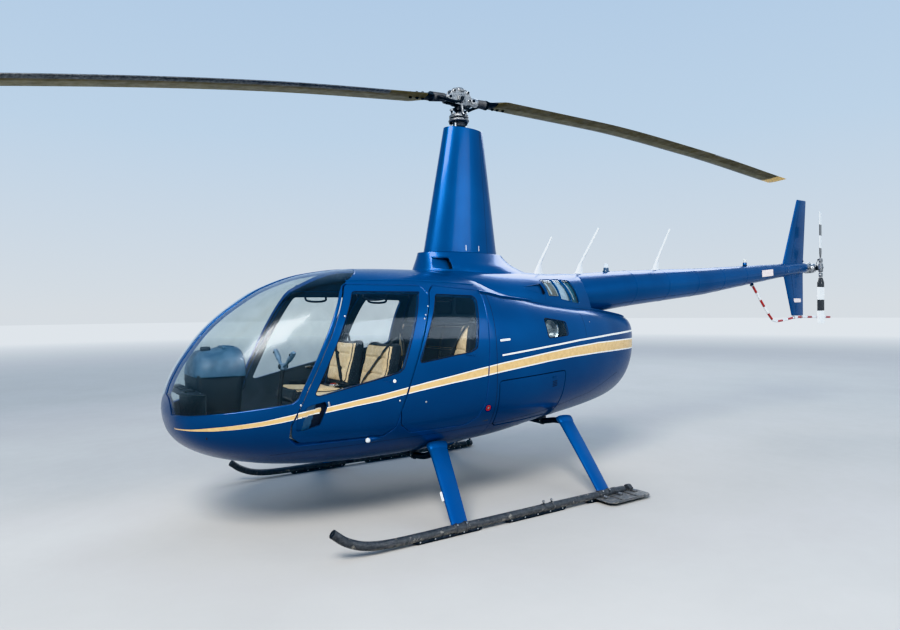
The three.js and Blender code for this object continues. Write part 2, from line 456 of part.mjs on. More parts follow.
// ------------------------------------------------------------------ antennas: base x, base z, tip x, tip z
const ANTENNAS = [["antenna_front", -879, 1854, -1077, 2221], ["antenna_middle", -1426, 1871, -1732, 2350], ["antenna_rear", -2612, 1946, -2875, 2409]];
for (const [name, bx, bz, tx, tz] of ANTENNAS) {
  const blade = solid(ringsGeometry(foilRings([
    [[bx + 55, 0, bz - 30], [-120, 0, 0], [0, 34, 0]],
    [[bx + 20, 0, bz + 30], [-80, 0, 0], [0, 20, 0]],
    [[tx + 14, 0, tz], [-22, 0, 0], [0, 8, 0]],
  ])));
  add(name, blade.subtract(upperPlus).subtract(conePlus).subtract(baseSolid), WHITE);
}

// ------------------------------------------------------------------ cabin furniture
const cabinClear = solid(ringsGeometry(offsetRings(bodyRings, WALL + 12)));
const seatSide = (pts, y0, y1) => prism(pts, y0, y1);
const CUSHION = [[1012, 776], [1520, 794], [1556, 830], [1530, 905], [1105, 880], [1012, 866]];
const BACK = [[958, 880], [1092, 884], [988, 1290], [892, 1290]];
for (const [name, y0, y1] of [["left", 70, 560], ["right", -560, -70]]) {
  add(`front_seat_cushion_${name}`, seatSide(CUSHION, y0, y1), TAN);
  add(`front_seat_back_${name}`, seatSide(BACK, y0, y1), TAN);
}
const REAR_CUSHION = [[330, 790], [800, 804], [838, 840], [812, 905], [340, 885]];
const REAR_BACK = [[206, 796], [322, 796], [330, 893], [398, 915], [322, 1440], [212, 1440]];
add("rear_seat_cushion", seatSide(REAR_CUSHION, -612, 612).intersect(cabinClear), TAN);
add("rear_seat_back", seatSide(REAR_BACK, -600, 600).intersect(cabinClear), TAN);
const CONSOLE = [[2190, FLOOR_Z + 1], [2020, FLOOR_Z + 1], [2000, 960], [1985, 1235], [2030, 1275], [2180, 1235], [2290, 1130], [2300, 960]];
add("instrument_console", prism(CONSOLE, -300, 244).intersect(cabinClear), DARK);
const cyclic = straight([1665, 0, FLOOR_Z + 2], [1638, 0, 1107], 17, 15, 8)
  .add(straight([1639, -4, 1098], [1628, 200, 1209], 17, 17, 8))
  .add(straight([1639, 4, 1098], [1628, -200, 1209], 17, 17, 8));
add("cyclic_stick", cyclic, DARK);

export default group;
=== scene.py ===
"""A parked light turbine helicopter. Shapes are worked out in millimetres from the rotor mast (x forward,
y left, z up from the ground) and turned into the frame's metres when each piece is made."""
import math

import bmesh
import bpy
import numpy as np
from mathutils import Matrix, Vector
from mathutils.geometry import delaunay_2d_cdt


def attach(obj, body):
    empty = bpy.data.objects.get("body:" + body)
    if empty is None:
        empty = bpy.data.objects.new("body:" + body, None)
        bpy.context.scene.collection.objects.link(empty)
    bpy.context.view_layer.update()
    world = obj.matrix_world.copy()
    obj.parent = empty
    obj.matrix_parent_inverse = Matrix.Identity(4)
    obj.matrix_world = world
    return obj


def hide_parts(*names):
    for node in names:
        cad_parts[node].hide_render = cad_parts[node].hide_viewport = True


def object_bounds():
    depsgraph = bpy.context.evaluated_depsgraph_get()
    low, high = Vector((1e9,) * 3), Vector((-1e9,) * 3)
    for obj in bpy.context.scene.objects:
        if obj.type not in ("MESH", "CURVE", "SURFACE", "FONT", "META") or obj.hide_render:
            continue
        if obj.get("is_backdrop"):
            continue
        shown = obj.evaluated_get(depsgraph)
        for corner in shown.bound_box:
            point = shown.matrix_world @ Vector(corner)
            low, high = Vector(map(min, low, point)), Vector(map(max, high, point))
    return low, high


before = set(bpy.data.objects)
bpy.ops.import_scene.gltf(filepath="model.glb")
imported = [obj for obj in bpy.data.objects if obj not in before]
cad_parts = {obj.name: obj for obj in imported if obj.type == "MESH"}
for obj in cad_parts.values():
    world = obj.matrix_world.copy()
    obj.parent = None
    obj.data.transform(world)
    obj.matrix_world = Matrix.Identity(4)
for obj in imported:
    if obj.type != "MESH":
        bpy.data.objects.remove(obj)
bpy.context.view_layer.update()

SHIFT = 0.7
rng = np.random.default_rng(7)


# ------------------------------------------------------------------ small mesh kit
def arr(p):
    return np.asarray(p, float)


def unit(v):
    v = arr(v)
    n = np.linalg.norm(v, axis=-1, keepdims=True)
    return v / np.where(n < 1e-12, 1, n)


class Part:
    """Vertices in millimetres and faces of any size, each with a material number and, if given, corner normals."""

    def __init__(self):
        self.verts, self.faces, self.count = [], [], 0

    def add(self, verts, faces, mat=0, normals=None, corner=None):
        verts = arr(verts).reshape(-1, 3)
        faces = np.asarray(faces, int)
        if len(faces) == 0:
            return self
        if np.ndim(mat) == 0:
            mat = np.full(len(faces), mat, int)
        if corner is None and normals is not None:
            corner = arr(normals)[faces]
        self.verts.append(verts)
        self.faces.append((faces + self.count, np.asarray(mat, int), corner))
        self.count += len(verts)
        return self

    def join(self, other, mat=None):
        for f, m, c in other.faces:
            self.faces.append((f + self.count, m if mat is None else np.full(len(f), mat, int), c))
        self.verts += other.verts
        self.count += other.count
        return self

    def moved(self, rot=None, at=(0, 0, 0), flip=False):
        """A copy turned by a 3x3 matrix and moved; flip mirrors it in y."""
        out = Part()
        r = np.eye(3) if rot is None else arr(rot)
        m = np.diag([1.0, -1.0, 1.0]) if flip else np.eye(3)
        full = m @ r
        at = m @ arr(at)
        out.verts = [v @ full.T + at for v in self.verts]
        turned = np.linalg.det(full) < 0
        for f, mt, c in self.faces:
            c2 = None if c is None else c @ full.T
            if turned:
                f = f[:, ::-1]
                c2 = None if c2 is None else c2[:, ::-1]
            out.faces.append((f, mt, c2))
        out.count = self.count
        return out


def mirrored(part):
    return part.moved(flip=True)


def make(name, part, mats, body="airframe", nodes=(), angle=38, weld=False):
    verts = np.concatenate(part.verts)
    co = verts * 0.001
    co[:, 0] += SHIFT
    me = bpy.data.meshes.new(name)
    loops, starts, totals, mat, normals = [], [], [], [], []
    at = 0
    for f, m, c in part.faces:
        k = f.shape[1]
        loops.append(f.ravel())
        starts.append(at + np.arange(len(f)) * k)
        totals.append(np.full(len(f), k))
        mat.append(m)
        normals.append(np.zeros((len(f) * k, 3)) if c is None else unit(c).reshape(-1, 3))
        at += f.size
    loops, starts, totals = np.concatenate(loops), np.concatenate(starts), np.concatenate(totals)
    me.vertices.add(len(co))
    me.vertices.foreach_set("co", co.astype(np.float32).ravel())
    me.loops.add(len(loops))
    me.loops.foreach_set("vertex_index", loops.astype(np.int32))
    me.polygons.add(len(starts))
    me.polygons.foreach_set("loop_start", starts.astype(np.int32))
    me.polygons.foreach_set("material_index", np.concatenate(mat).astype(np.int32))
    me.polygons.foreach_set("use_smooth", np.ones(len(starts), bool))
    me.update(calc_edges=True)
    me.set_sharp_from_angle(angle=math.radians(angle))
    n = np.concatenate(normals)
    if np.abs(n).max() > 0:
        me.normals_split_custom_set(n.astype(np.float32).tolist())
    for m in mats:
        me.materials.append(m)
    ob = bpy.data.objects.new(name, me)
    bpy.context.scene.collection.objects.link(ob)
    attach(ob, body)
    if nodes:
        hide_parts(*nodes)
    return ob


def loft(rings, caps=(True, True), mat=0, close=True):
    """Rings of the same length joined by quads, with a flat face over each end that is asked for."""
    rings = arr(rings)
    n, m = rings.shape[:2]
    p = Part()
    i, j = np.meshgrid(np.arange(n - 1), np.arange(m if close else m - 1), indexing="ij")
    i, j = i.ravel(), j.ravel()
    k = (j + 1) % m
    p.add(rings.reshape(-1, 3), np.stack([i * m + j, i * m + k, (i + 1) * m + k, (i + 1) * m + j], 1), mat)
    if caps[0]:
        p.faces.append((np.arange(m)[::-1][None], np.full(1, mat), None))
    if caps[1]:
        p.faces.append((((n - 1) * m + np.arange(m))[None], np.full(1, mat), None))
    if close and volume(p) < 0:
        p.faces = [(f[:, ::-1], a, c) for f, a, c in p.faces]
    return p


def volume(p):
    v = np.concatenate(p.verts)
    s = 0.0
    for f, _, _ in p.faces:
        a = v[f[:, 0]]
        for k in range(1, f.shape[1] - 1):
            s += np.einsum("ij,ij->i", a, np.cross(v[f[:, k]], v[f[:, k + 1]])).sum()
    return s


def basis(axis):
    n = unit(arr(axis))
    up = arr([0, 0, 1.0]) if abs(n[2]) < 0.9 else arr([1.0, 0, 0])
    a = unit(np.cross(up, n))
    return a, np.cross(n, a), n


def lathe(profile, at, axis, segs=40, mat=0, phase=0.0):
    """A turned shape: (radius, height) pairs along an axis."""
    a, b, n = basis(axis)
    t = np.arange(segs) / segs * 2 * math.pi + phase
    rings = [arr(at) + n * h + np.outer(np.cos(t), a) * max(r, 0.05) + np.outer(np.sin(t), b) * max(r, 0.05) for r, h in profile]
    return loft(rings, mat=mat)


def smooth_path(points, per=8):
    """Catmull-Rom through the points."""
    p = arr(points)
    q = np.vstack([2 * p[0] - p[1], p, 2 * p[-1] - p[-2]])
    out = []
    for i in range(len(p) - 1):
        a, b, c, d = q[i : i + 4]
        t = np.linspace(0, 1, per, endpoint=False)[:, None]
        out.append(0.5 * (2 * b + (c - a) * t + (2 * a - 5 * b + 4 * c - d) * t**2 + (3 * b - a - 3 * c + d) * t**3))
    return np.vstack(out + [p[-1:]])


def sweep(path, radius, segs=16, mat=0, close=False, caps=(True, True), squash=None, up=None):
    """A tube along a path; radius is a number or one per point. squash = (a, b) scales its two cross directions."""
    p = arr(path)
    n = len(p)
    r = np.broadcast_to(arr(radius), (n,))
    if close:
        tan = unit(np.roll(p, -1, 0) - np.roll(p, 1, 0))
    else:
        tan = unit(np.vstack([p[1] - p[0], p[2:] - p[:-2], p[-1] - p[-2]]))
    first = basis(tan[0])[0] if up is None else unit(arr(up) - tan[0] * np.dot(up, tan[0]))
    frames = [first]
    for i in range(1, n):
        v = frames[-1] - tan[i] * np.dot(frames[-1], tan[i])
        frames.append(unit(v))
    t = np.arange(segs) / segs * 2 * math.pi
    sa, sb = squash or (1, 1)
    rings = []
    for i in range(n):
        a = frames[i]
        b = np.cross(tan[i], a)
        rings.append(p[i] + r[i] * (np.outer(np.cos(t) * sa, a) + np.outer(np.sin(t) * sb, b)))
    if close:
        rings.append(rings[0])
        q = loft(rings, (False, False), mat)
        m = segs
        v = np.concatenate(q.verts)[:-m]
        f = q.faces[0][0] % (n * m)
        return Part().add(v, f, mat)
    return loft(rings, caps, mat)


def block(size, at=(0, 0, 0), r=2.0, segs=2, mat=0, rot=None):
    """A box with rounded edges."""
    bm = bmesh.new()
    bmesh.ops.create_cube(bm, size=1.0)
    for v in bm.verts:
        v.co = Vector([c * s for c, s in zip(v.co, size)])
    r = min(r, min(size) * 0.45)
    if r > 0:
        bmesh.ops.bevel(bm, geom=list(bm.edges), offset=r, segments=segs, profile=0.5, affect="EDGES")
    out = Part()
    bm.verts.ensure_lookup_table()
    v = arr([list(x.co) for x in bm.verts])
    by = {}
    for f in bm.faces:
        by.setdefault(len(f.verts), []).append([x.index for x in f.verts])
    bm.free()
    if rot is not None:
        v = v @ arr(rot).T
    v = v + arr(at)
    first = True
    for k, fs in by.items():
        if first:
            out.add(v, fs, mat)
            first = False
        else:
            out.faces.append((np.asarray(fs, int), np.full(len(fs), mat), None))
    return out


def rot_about(axis, deg):
    return arr(Matrix.Rotation(math.radians(deg), 3, Vector(axis)))


def frame_rot(x, z):
    """A rotation whose columns are x, z × x and z, made square."""
    z = unit(z)
    x = unit(arr(x) - z * np.dot(x, z))
    return np.stack([x, np.cross(z, x), z], 1)


def rounded(poly, r=30, per=6):
    """A polygon with each corner turned into a short curve."""
    p = arr(poly)
    n = len(p)
    out = []
    for i in range(n):
        a, b, c = p[i - 1], p[i], p[(i + 1) % n]
        la, lc = np.linalg.norm(a - b), np.linalg.norm(c - b)
        ua, uc = (a - b) / la, (c - b) / lc
        turn = math.degrees(math.acos(np.clip(-np.dot(ua, uc), -1, 1)))
        d = min(r * math.tan(math.radians(turn) / 2) if turn < 170 else r, la * 0.45, lc * 0.45)
        if turn < 3:
            out.append(b[None])
            continue
        t = np.linspace(0, 1, per)[:, None]
        s, e = b + ua * d, b + uc * d
        out.append((1 - t) ** 2 * s + 2 * t * (1 - t) * b + t**2 * e)
    return np.vstack(out)


def dense(path, step=14, close=True):
    p = arr(path)
    q = np.vstack([p, p[:1]]) if close else p
    out = []
    for a, b in zip(q[:-1], q[1:]):
        k = max(1, int(math.ceil(np.linalg.norm(b - a) / step)))
        out.append(a + (b - a) * (np.arange(k) / k)[:, None])
    if not close:
        out.append(q[-1:])
    return np.vstack(out)


def area2(p):
    q = np.roll(p, -1, 0)
    return float((p[:, 0] * q[:, 1] - q[:, 0] * p[:, 1]).sum())


def grown(poly, d):
    """A closed 2-D outline moved outward by d along its vertex normals (inward when d is negative)."""
    p = arr(poly)
    s = 1 if area2(p) > 0 else -1
    e0, e1 = unit(p - np.roll(p, 1, 0)), unit(np.roll(p, -1, 0) - p)
    n0, n1 = np.stack([e0[:, 1], -e0[:, 0]], 1), np.stack([e1[:, 1], -e1[:, 0]], 1)
    n = unit(n0 + n1)
    k = np.clip((n * n0).sum(1), 0.5, 1)
    return p + s * d * n / k[:, None]


def slab(outline, origin, a, b, thick, bevel=1.5, mat=0):
    """A plate of that outline in the plane of a and b, thick along a × b, with bevelled edges."""
    o, a, b = arr(origin), unit(a), unit(b)
    n = np.cross(a, b)
    bevel = min(bevel, thick * 0.45)
    out = []
    for d, h in ((-bevel, 0), (0, bevel), (0, thick - bevel), (-bevel, thick)):
        q = grown(outline, d)
        out.append(o + q[:, :1] * a + q[:, 1:] * b + n * h)
    return loft(out, mat=mat)


# ------------------------------------------------------------------ smooth skins from tables
def mono(x, y, first=None, last=None):
    """Monotone cubic through the columns of y at increasing x."""
    x, y = arr(x), arr(y)
    h = np.diff(x)[:, None]
    d = np.diff(y, axis=0) / h
    m = np.zeros_like(y)
    a, b = d[:-1], d[1:]
    m[1:-1] = np.where(a * b > 0, 2 * a * b / np.where(np.abs(a + b) < 1e-12, 1, a + b), 0)
    m[0], m[-1] = d[0], d[-1]
    if first is not None:
        m[0] = np.where(np.isnan(first), m[0], first)
    if last is not None:
        m[-1] = np.where(np.isnan(last), m[-1], last)

    def at(q):
        q = np.atleast_1d(arr(q))
        i = np.clip(np.searchsorted(x, q, side="right") - 1, 0, len(x) - 2)
        hh = (x[i + 1] - x[i])[:, None]
        t = np.clip((q - x[i])[:, None] / hh, 0, 1)
        return (2 * t**3 - 3 * t**2 + 1) * y[i] + (t**3 - 2 * t**2 + t) * m[i] * hh + (3 * t**2 - 2 * t**3) * y[i + 1] + (t**3 - t**2) * m[i + 1] * hh

    return at


class Surf:
    """A skin as a dense grid of points P[s, v], closed in v. kind x: rings stand across x. kind z: rings lie at a height."""

    def __init__(self, P, kind="x"):
        self.P, self.kind = P, kind
        self.ns, self.nv = P.shape[0], P.shape[1] - 1
        ds = np.gradient(P, axis=0)
        wrapped = np.concatenate([P[:, -2:-1], P, P[:, 1:2]], 1)
        dv = (wrapped[:, 2:] - wrapped[:, :-2]) / 2
        N = unit(np.cross(ds, dv))
        mid = P[:, :-1].mean(1, keepdims=True)
        if ((P - mid) * N).sum() < 0:
            N = -N
        self.N = N
        mids = P[:, :-1].mean(1)
        step = np.linalg.norm(np.diff(P[:, self.nv // 4 :: self.nv // 2][:, :2], axis=0), axis=2).mean(1)
        self.u = np.concatenate([[0], np.cumsum(np.maximum(step, 0.3))])
        ring = np.linalg.norm(np.diff(P, axis=1), axis=2).sum(1)
        self.lv = float(np.percentile(ring, 75))
        self.key = mids[:, 0] if kind == "x" else mids[:, 2]

    def _mix(self, G, s, v):
        s = np.clip(s, 0, self.ns - 1.000001)
        w = (np.asarray(v) % 1.0) * self.nv
        i, j = np.floor(s).astype(int), np.floor(w).astype(int) % self.nv
        a, b = (s - i)[..., None], (w - np.floor(w))[..., None]
        return G[i, j] * (1 - a) * (1 - b) + G[i + 1, j] * a * (1 - b) + G[i, j + 1] * (1 - a) * b + G[i + 1, j + 1] * a * b

    def at(self, s, v):
        return self._mix(self.P, arr(s), arr(v))

    def normal(self, s, v):
        return unit(self._mix(self.N, arr(s), arr(v)))

    def s_of(self, k):
        key = self.key
        if key[0] > key[-1]:
            return np.interp(-arr(k), -key, np.arange(self.ns))
        return np.interp(arr(k), key, np.arange(self.ns))

    def find(self, pts, side=1):
        """(s, v) of points given as (x, z) seen from that side (kind x and z alike)."""
        out = []
        half = self.nv // 2
        for x, z in arr(pts).reshape(-1, 2):
            s = float(self.s_of(x if self.kind == "x" else z))
            s = min(max(s, 0), self.ns - 1.000001)
            i, a = int(s), s - int(s)
            ring = self.P[i, : half + 1] * (1 - a) + self.P[i + 1, : half + 1] * a
            w = np.linspace(0, 0.5, half + 1)
            v = np.interp(z, ring[:, 2], w) if self.kind == "x" else np.interp(-x, -ring[:, 0], w)
            out.append((s, v if side > 0 else 1 - v))
        return arr(out)

    def find_y(self, s, y, top=True):
        """v where the ring at s is y to the left, on its top half (kind x)."""
        out = []
        half = self.nv // 2
        for q in np.atleast_1d(arr(s)):
            q = min(max(float(q), 0), self.ns - 1.000001)
            i, a = int(q), q - int(q)
            ring = self.P[i, : half + 1] * (1 - a) + self.P[i + 1, : half + 1] * a
            k = int(np.argmax(ring[:, 1]))
            w = np.linspace(0, 0.5, half + 1)
            if top:
                out.append(np.interp(-abs(y), -ring[k:, 1], w[k:]))
            else:
                out.append(np.interp(abs(y), ring[: k + 1, 1], w[: k + 1]))
        v = arr(out)
        return v if y >= 0 else 1 - v

    def uv(self, sv):
        """Plane coordinates in millimetres."""
        sv = arr(sv)
        return np.stack([np.interp(sv[:, 0], np.arange(self.ns), self.u), (sv[:, 1] - 0.5) * self.lv], 1)

    def sv(self, uv):
        uv = arr(uv)
        return np.interp(uv[:, 0], self.u, np.arange(self.ns)), uv[:, 1] / self.lv + 0.5

    def on(self, x, z, side=1):
        """Point and outward normal on the skin."""
        q = self.find([(x, z)], side)[0]
        return self.at(q[0], q[1]), self.normal(q[0], q[1])

    def outline(self, poly, side=1, r=30, step=14, grow=0.0):
        """An (x, z) outline laid on the skin, in plane coordinates."""
        q = rounded(poly, r) if r else arr(poly)
        q = dense(q, step)
        if grow:
            q = grown(q, grow)
        return self.uv(self.find(q, side))

    def line(self, pts, side=1, step=20):
        return self.uv(self.find(dense(pts, step, close=False), side))


def inside(points, poly):
    x, y = points[:, 0], points[:, 1]
    hit = np.zeros(len(points), bool)
    q = np.roll(poly, -1, 0)
    for (ax, ay), (bx, by) in zip(poly, q):
        if ay == by:
            continue
        cross = (ay > y) != (by > y)
        hit ^= cross & (x < (bx - ax) * (y - ay) / (by - ay) + ax)
    return hit


def near(points, lines, d):
    """True for points within d of any vertex of the lines."""
    ref = np.vstack(lines)
    out = np.zeros(len(points), bool)
    cell = {}
    for i, (a, b) in enumerate(np.floor(ref / d).astype(int)):
        cell.setdefault((a, b), []).append(i)
    for i, (a, b) in enumerate(np.floor(points / d).astype(int)):
        for da in (-1, 0, 1):
            for db in (-1, 0, 1):
                k = cell.get((a + da, b + db))
                if k and (np.abs(ref[k] - points[i]).max(1) < d * 0.8).any():
                    out[i] = True
    return out


def sheet_of(surf, outer, holes=(), lines=(), step=32, keep=None, edge=None):
    """Triangles of a region of the skin: (points, normals, triangles, plane coordinates)."""
    outer = arr(outer)
    lo, hi = outer.min(0), outer.max(0)
    nu, nv = max(2, int((hi[0] - lo[0]) / step)), max(2, int((hi[1] - lo[1]) / step))
    gu, gv = np.meshgrid(np.linspace(lo[0], hi[0], nu + 1), np.linspace(lo[1], hi[1], nv + 1), indexing="ij")
    grid = np.stack([gu.ravel(), gv.ravel()], 1)
    rims = [outer] + [arr(h) for h in holes] + [arr(x) for x in lines]
    ok = inside(grid, outer)
    for h in holes:
        ok &= ~inside(grid, arr(h))
    grid = grid[ok]
    grid = grid[~near(grid, rims, step * 0.55)]
    pts, edges = [], []
    at = 0
    for k, r in enumerate(rims):
        n = len(r)
        pts.append(r)
        closed = k < 1 + len(holes)
        edges += [(at + i, at + (i + 1) % n) for i in range(n if closed else n - 1)]
        at += n
    pts = np.vstack(pts + [grid])
    out = delaunay_2d_cdt([Vector(p) for p in pts], edges, [], 0, 1e-4, False)
    v = arr([list(p) for p in out[0]])
    f = np.array([t for t in out[2] if len(t) == 3], int)
    c = v[f].mean(1)
    ok = inside(c, outer)
    for h in holes:
        ok &= ~inside(c, arr(h))
    a, b = v[f[:, 1]] - v[f[:, 0]], v[f[:, 2]] - v[f[:, 0]]
    ok &= np.abs(a[:, 0] * b[:, 1] - a[:, 1] * b[:, 0]) > 1e-3
    f = f[ok]
    s, w = surf.sv(v)
    P, N = surf.at(s, w), surf.normal(s, w)
    if keep is not None:
        f = f[keep(P[f].mean(1))]
    # weld what lies in one place, such as the two sides of the seam
    key = np.round(P / 0.02).astype(np.int64)
    _, first, back = np.unique(key, axis=0, return_index=True, return_inverse=True)
    back = back.ravel()
    f = back[f]
    f = f[(f[:, 0] != f[:, 1]) & (f[:, 1] != f[:, 2]) & (f[:, 0] != f[:, 2])]
    used = np.unique(f)
    renum = np.full(len(first), -1)
    renum[used] = np.arange(len(used))
    P, N, v = P[first[used]], N[first[used]], v[first[used]]
    f = renum[f]
    fn = np.cross(P[f[:, 1]] - P[f[:, 0]], P[f[:, 2]] - P[f[:, 0]])
    wrong = (fn * N[f].mean(1)).sum(1) < 0
    f[wrong] = f[wrong][:, ::-1]
    return P, N, f, v


def border(f):
    """Directed edges that belong to one triangle only."""
    e = np.concatenate([f[:, [0, 1]], f[:, [1, 2]], f[:, [2, 0]]])
    key = e.min(1) * (f.max() + 1) + e.max(1)
    _, inv, cnt = np.unique(key, return_inverse=True, return_counts=True)
    return e[cnt[inv.ravel()] == 1]


def shell(surf, outer, holes=(), lines=(), step=32, thick=28.0, bevel=2.0, sink=0.0, paint=None, rim=0, inner=1, keep=None, sheet=None):
    """A panel of the skin with its rounded edge, wall and inner face, as one closed body."""
    P, N, f, uv = sheet or sheet_of(surf, outer, holes, lines, step, keep)
    P = P - N * sink
    part = Part()
    mats = np.zeros(len(f), int) if paint is None else paint(P[f].mean(1))
    e = border(f)
    n = len(P)
    out = np.zeros((n, 3))
    d = unit(np.cross(P[e[:, 1]] - P[e[:, 0]], N[e[:, 0]] + N[e[:, 1]]))
    np.add.at(out, e[:, 0], d)
    np.add.at(out, e[:, 1], d)
    out = unit(out)
    b = min(bevel, thick * 0.4)
    rings, norms = [P - out * b], [N]
    if b > 0:
        rings.append(P - out * b * 0.293 - N * b * 0.293)
        norms.append(unit(N + out))
        rings.append(P - N * b)
        norms.append(np.where(np.abs(out).sum(1, keepdims=True) > 0, out, N))
    rings.append(P - N * thick)
    norms.append(np.where(np.abs(out).sum(1, keepdims=True) > 0, out, N))
    K = len(rings)
    verts = np.vstack(rings)
    faces = [(f, mats, N[f])]
    for k in range(K - 1):
        a, c = e[:, 0], e[:, 1]
        q = np.stack([c + k * n, a + k * n, a + (k + 1) * n, c + (k + 1) * n], 1)
        last = k == K - 2
        n0, n1 = (norms[K - 1], norms[K - 1]) if last else (norms[k], norms[k + 1])
        corner = np.stack([n0[c], n0[a], n1[a], n1[c]], 1)
        faces.append((q, np.full(len(q), rim), corner))
    back = (f + (K - 1) * n)[:, ::-1]
    faces.append((back, np.full(len(f), inner), -N[f][:, ::-1]))
    used = np.unique(np.concatenate([x.ravel() for x, _, _ in faces]))
    renum = np.full(len(verts), -1)
    renum[used] = np.arange(len(used))
    part.verts, part.count = [verts[used]], len(used)
    part.faces = [(renum[x], m, c) for x, m, c in faces]
    return part


def recess(surf, outline, depth, step=14, mats=(0, 1), paint=None):
    """The sunken floor of a recess and its walls: depth(P) gives millimetres below the skin."""
    P, N, f, uv = sheet_of(surf, outline, step=step)
    dep = depth(P)
    Q = P - N * dep[:, None]
    part = Part()
    fm = np.full(len(f), mats[0]) if paint is None else paint(P[f].mean(1))
    fn = np.cross(Q[f[:, 1]] - Q[f[:, 0]], Q[f[:, 2]] - Q[f[:, 0]])
    vn = np.zeros_like(Q)
    for k in range(3):
        np.add.at(vn, f[:, k], fn)
    part.add(Q, f, fm, normals=unit(vn))
    e = border(f)
    keep = (dep[e[:, 0]] > 0.3) | (dep[e[:, 1]] > 0.3)
    e = e[keep]
    n = len(P)
    verts = np.vstack([P, Q])
    part.add(verts, np.stack([e[:, 0], e[:, 1], e[:, 1] + n, e[:, 0] + n], 1), mats[1])
    return part


def gasket(surf, outline, r=3.0, sink=0.0, mat=0, segs=8, squash=None):
    """A round strip lying on the skin along a closed outline."""
    s, v = surf.sv(outline)
    return sweep(surf.at(s, v) - surf.normal(s, v) * sink, r, segs, mat, close=True)


def heads(pts, nrm, r=4.0, h=1.6, mat=0, segs=10, slot=False):
    """Domed screw or rivet heads at points."""
    prof = [(r, -0.6), (r * 0.96, h * 0.35), (r * 0.72, h * 0.8), (r * 0.3, h)]
    part = Part()
    t = np.arange(segs) / segs * 2 * math.pi
    for p, n in zip(arr(pts).reshape(-1, 3), arr(nrm).reshape(-1, 3)):
        a, b, n = basis(n)
        rings = [p + n * hh + np.outer(np.cos(t), a) * rr + np.outer(np.sin(t), b) * rr for rr, hh in prof]
        part.join(loft(rings, (False, True), mat))
    return part


def row_of_heads(surf, pts, side, pitch=60, **k):
    """Heads along an (x, z) line on the skin."""
    p = arr(pts)
    seg = np.linalg.norm(np.diff(p, axis=0), axis=1)
    total = seg.sum()
    q = np.linspace(0, total, max(2, int(total / pitch) + 1))
    at = np.concatenate([[0], np.cumsum(seg)])
    xz = np.stack([np.interp(q, at, p[:, 0]), np.interp(q, at, p[:, 1])], 1)
    sv = surf.find(xz, side)
    return heads(surf.at(sv[:, 0], sv[:, 1]), surf.normal(sv[:, 0], sv[:, 1]), **k)


def placed(surf, part, x, z, side=1, turn=0.0, lift=0.0, along=None):
    """A small piece modelled on the xy plane (x forward along the skin, z outward), set on the skin."""
    p, n = surf.on(x, z, side)
    fwd = arr([1.0, 0, 0]) if along is None else arr(along)
    r = frame_rot(fwd, n)
    if turn:
        r = r @ rot_about((0, 0, 1), turn)
    if side < 0:
        q = part.moved(flip=True)
        return q.moved(rot=r, at=p + n * lift)
    return part.moved(rot=r, at=p + n * lift)


# ------------------------------------------------------------------ materials, all from nodes
def srgb(r, g, b):
    return tuple(((c / 255 + 0.055) / 1.055) ** 2.4 if c > 10 else c / 255 / 12.92 for c in (r, g, b)) + (1.0,)


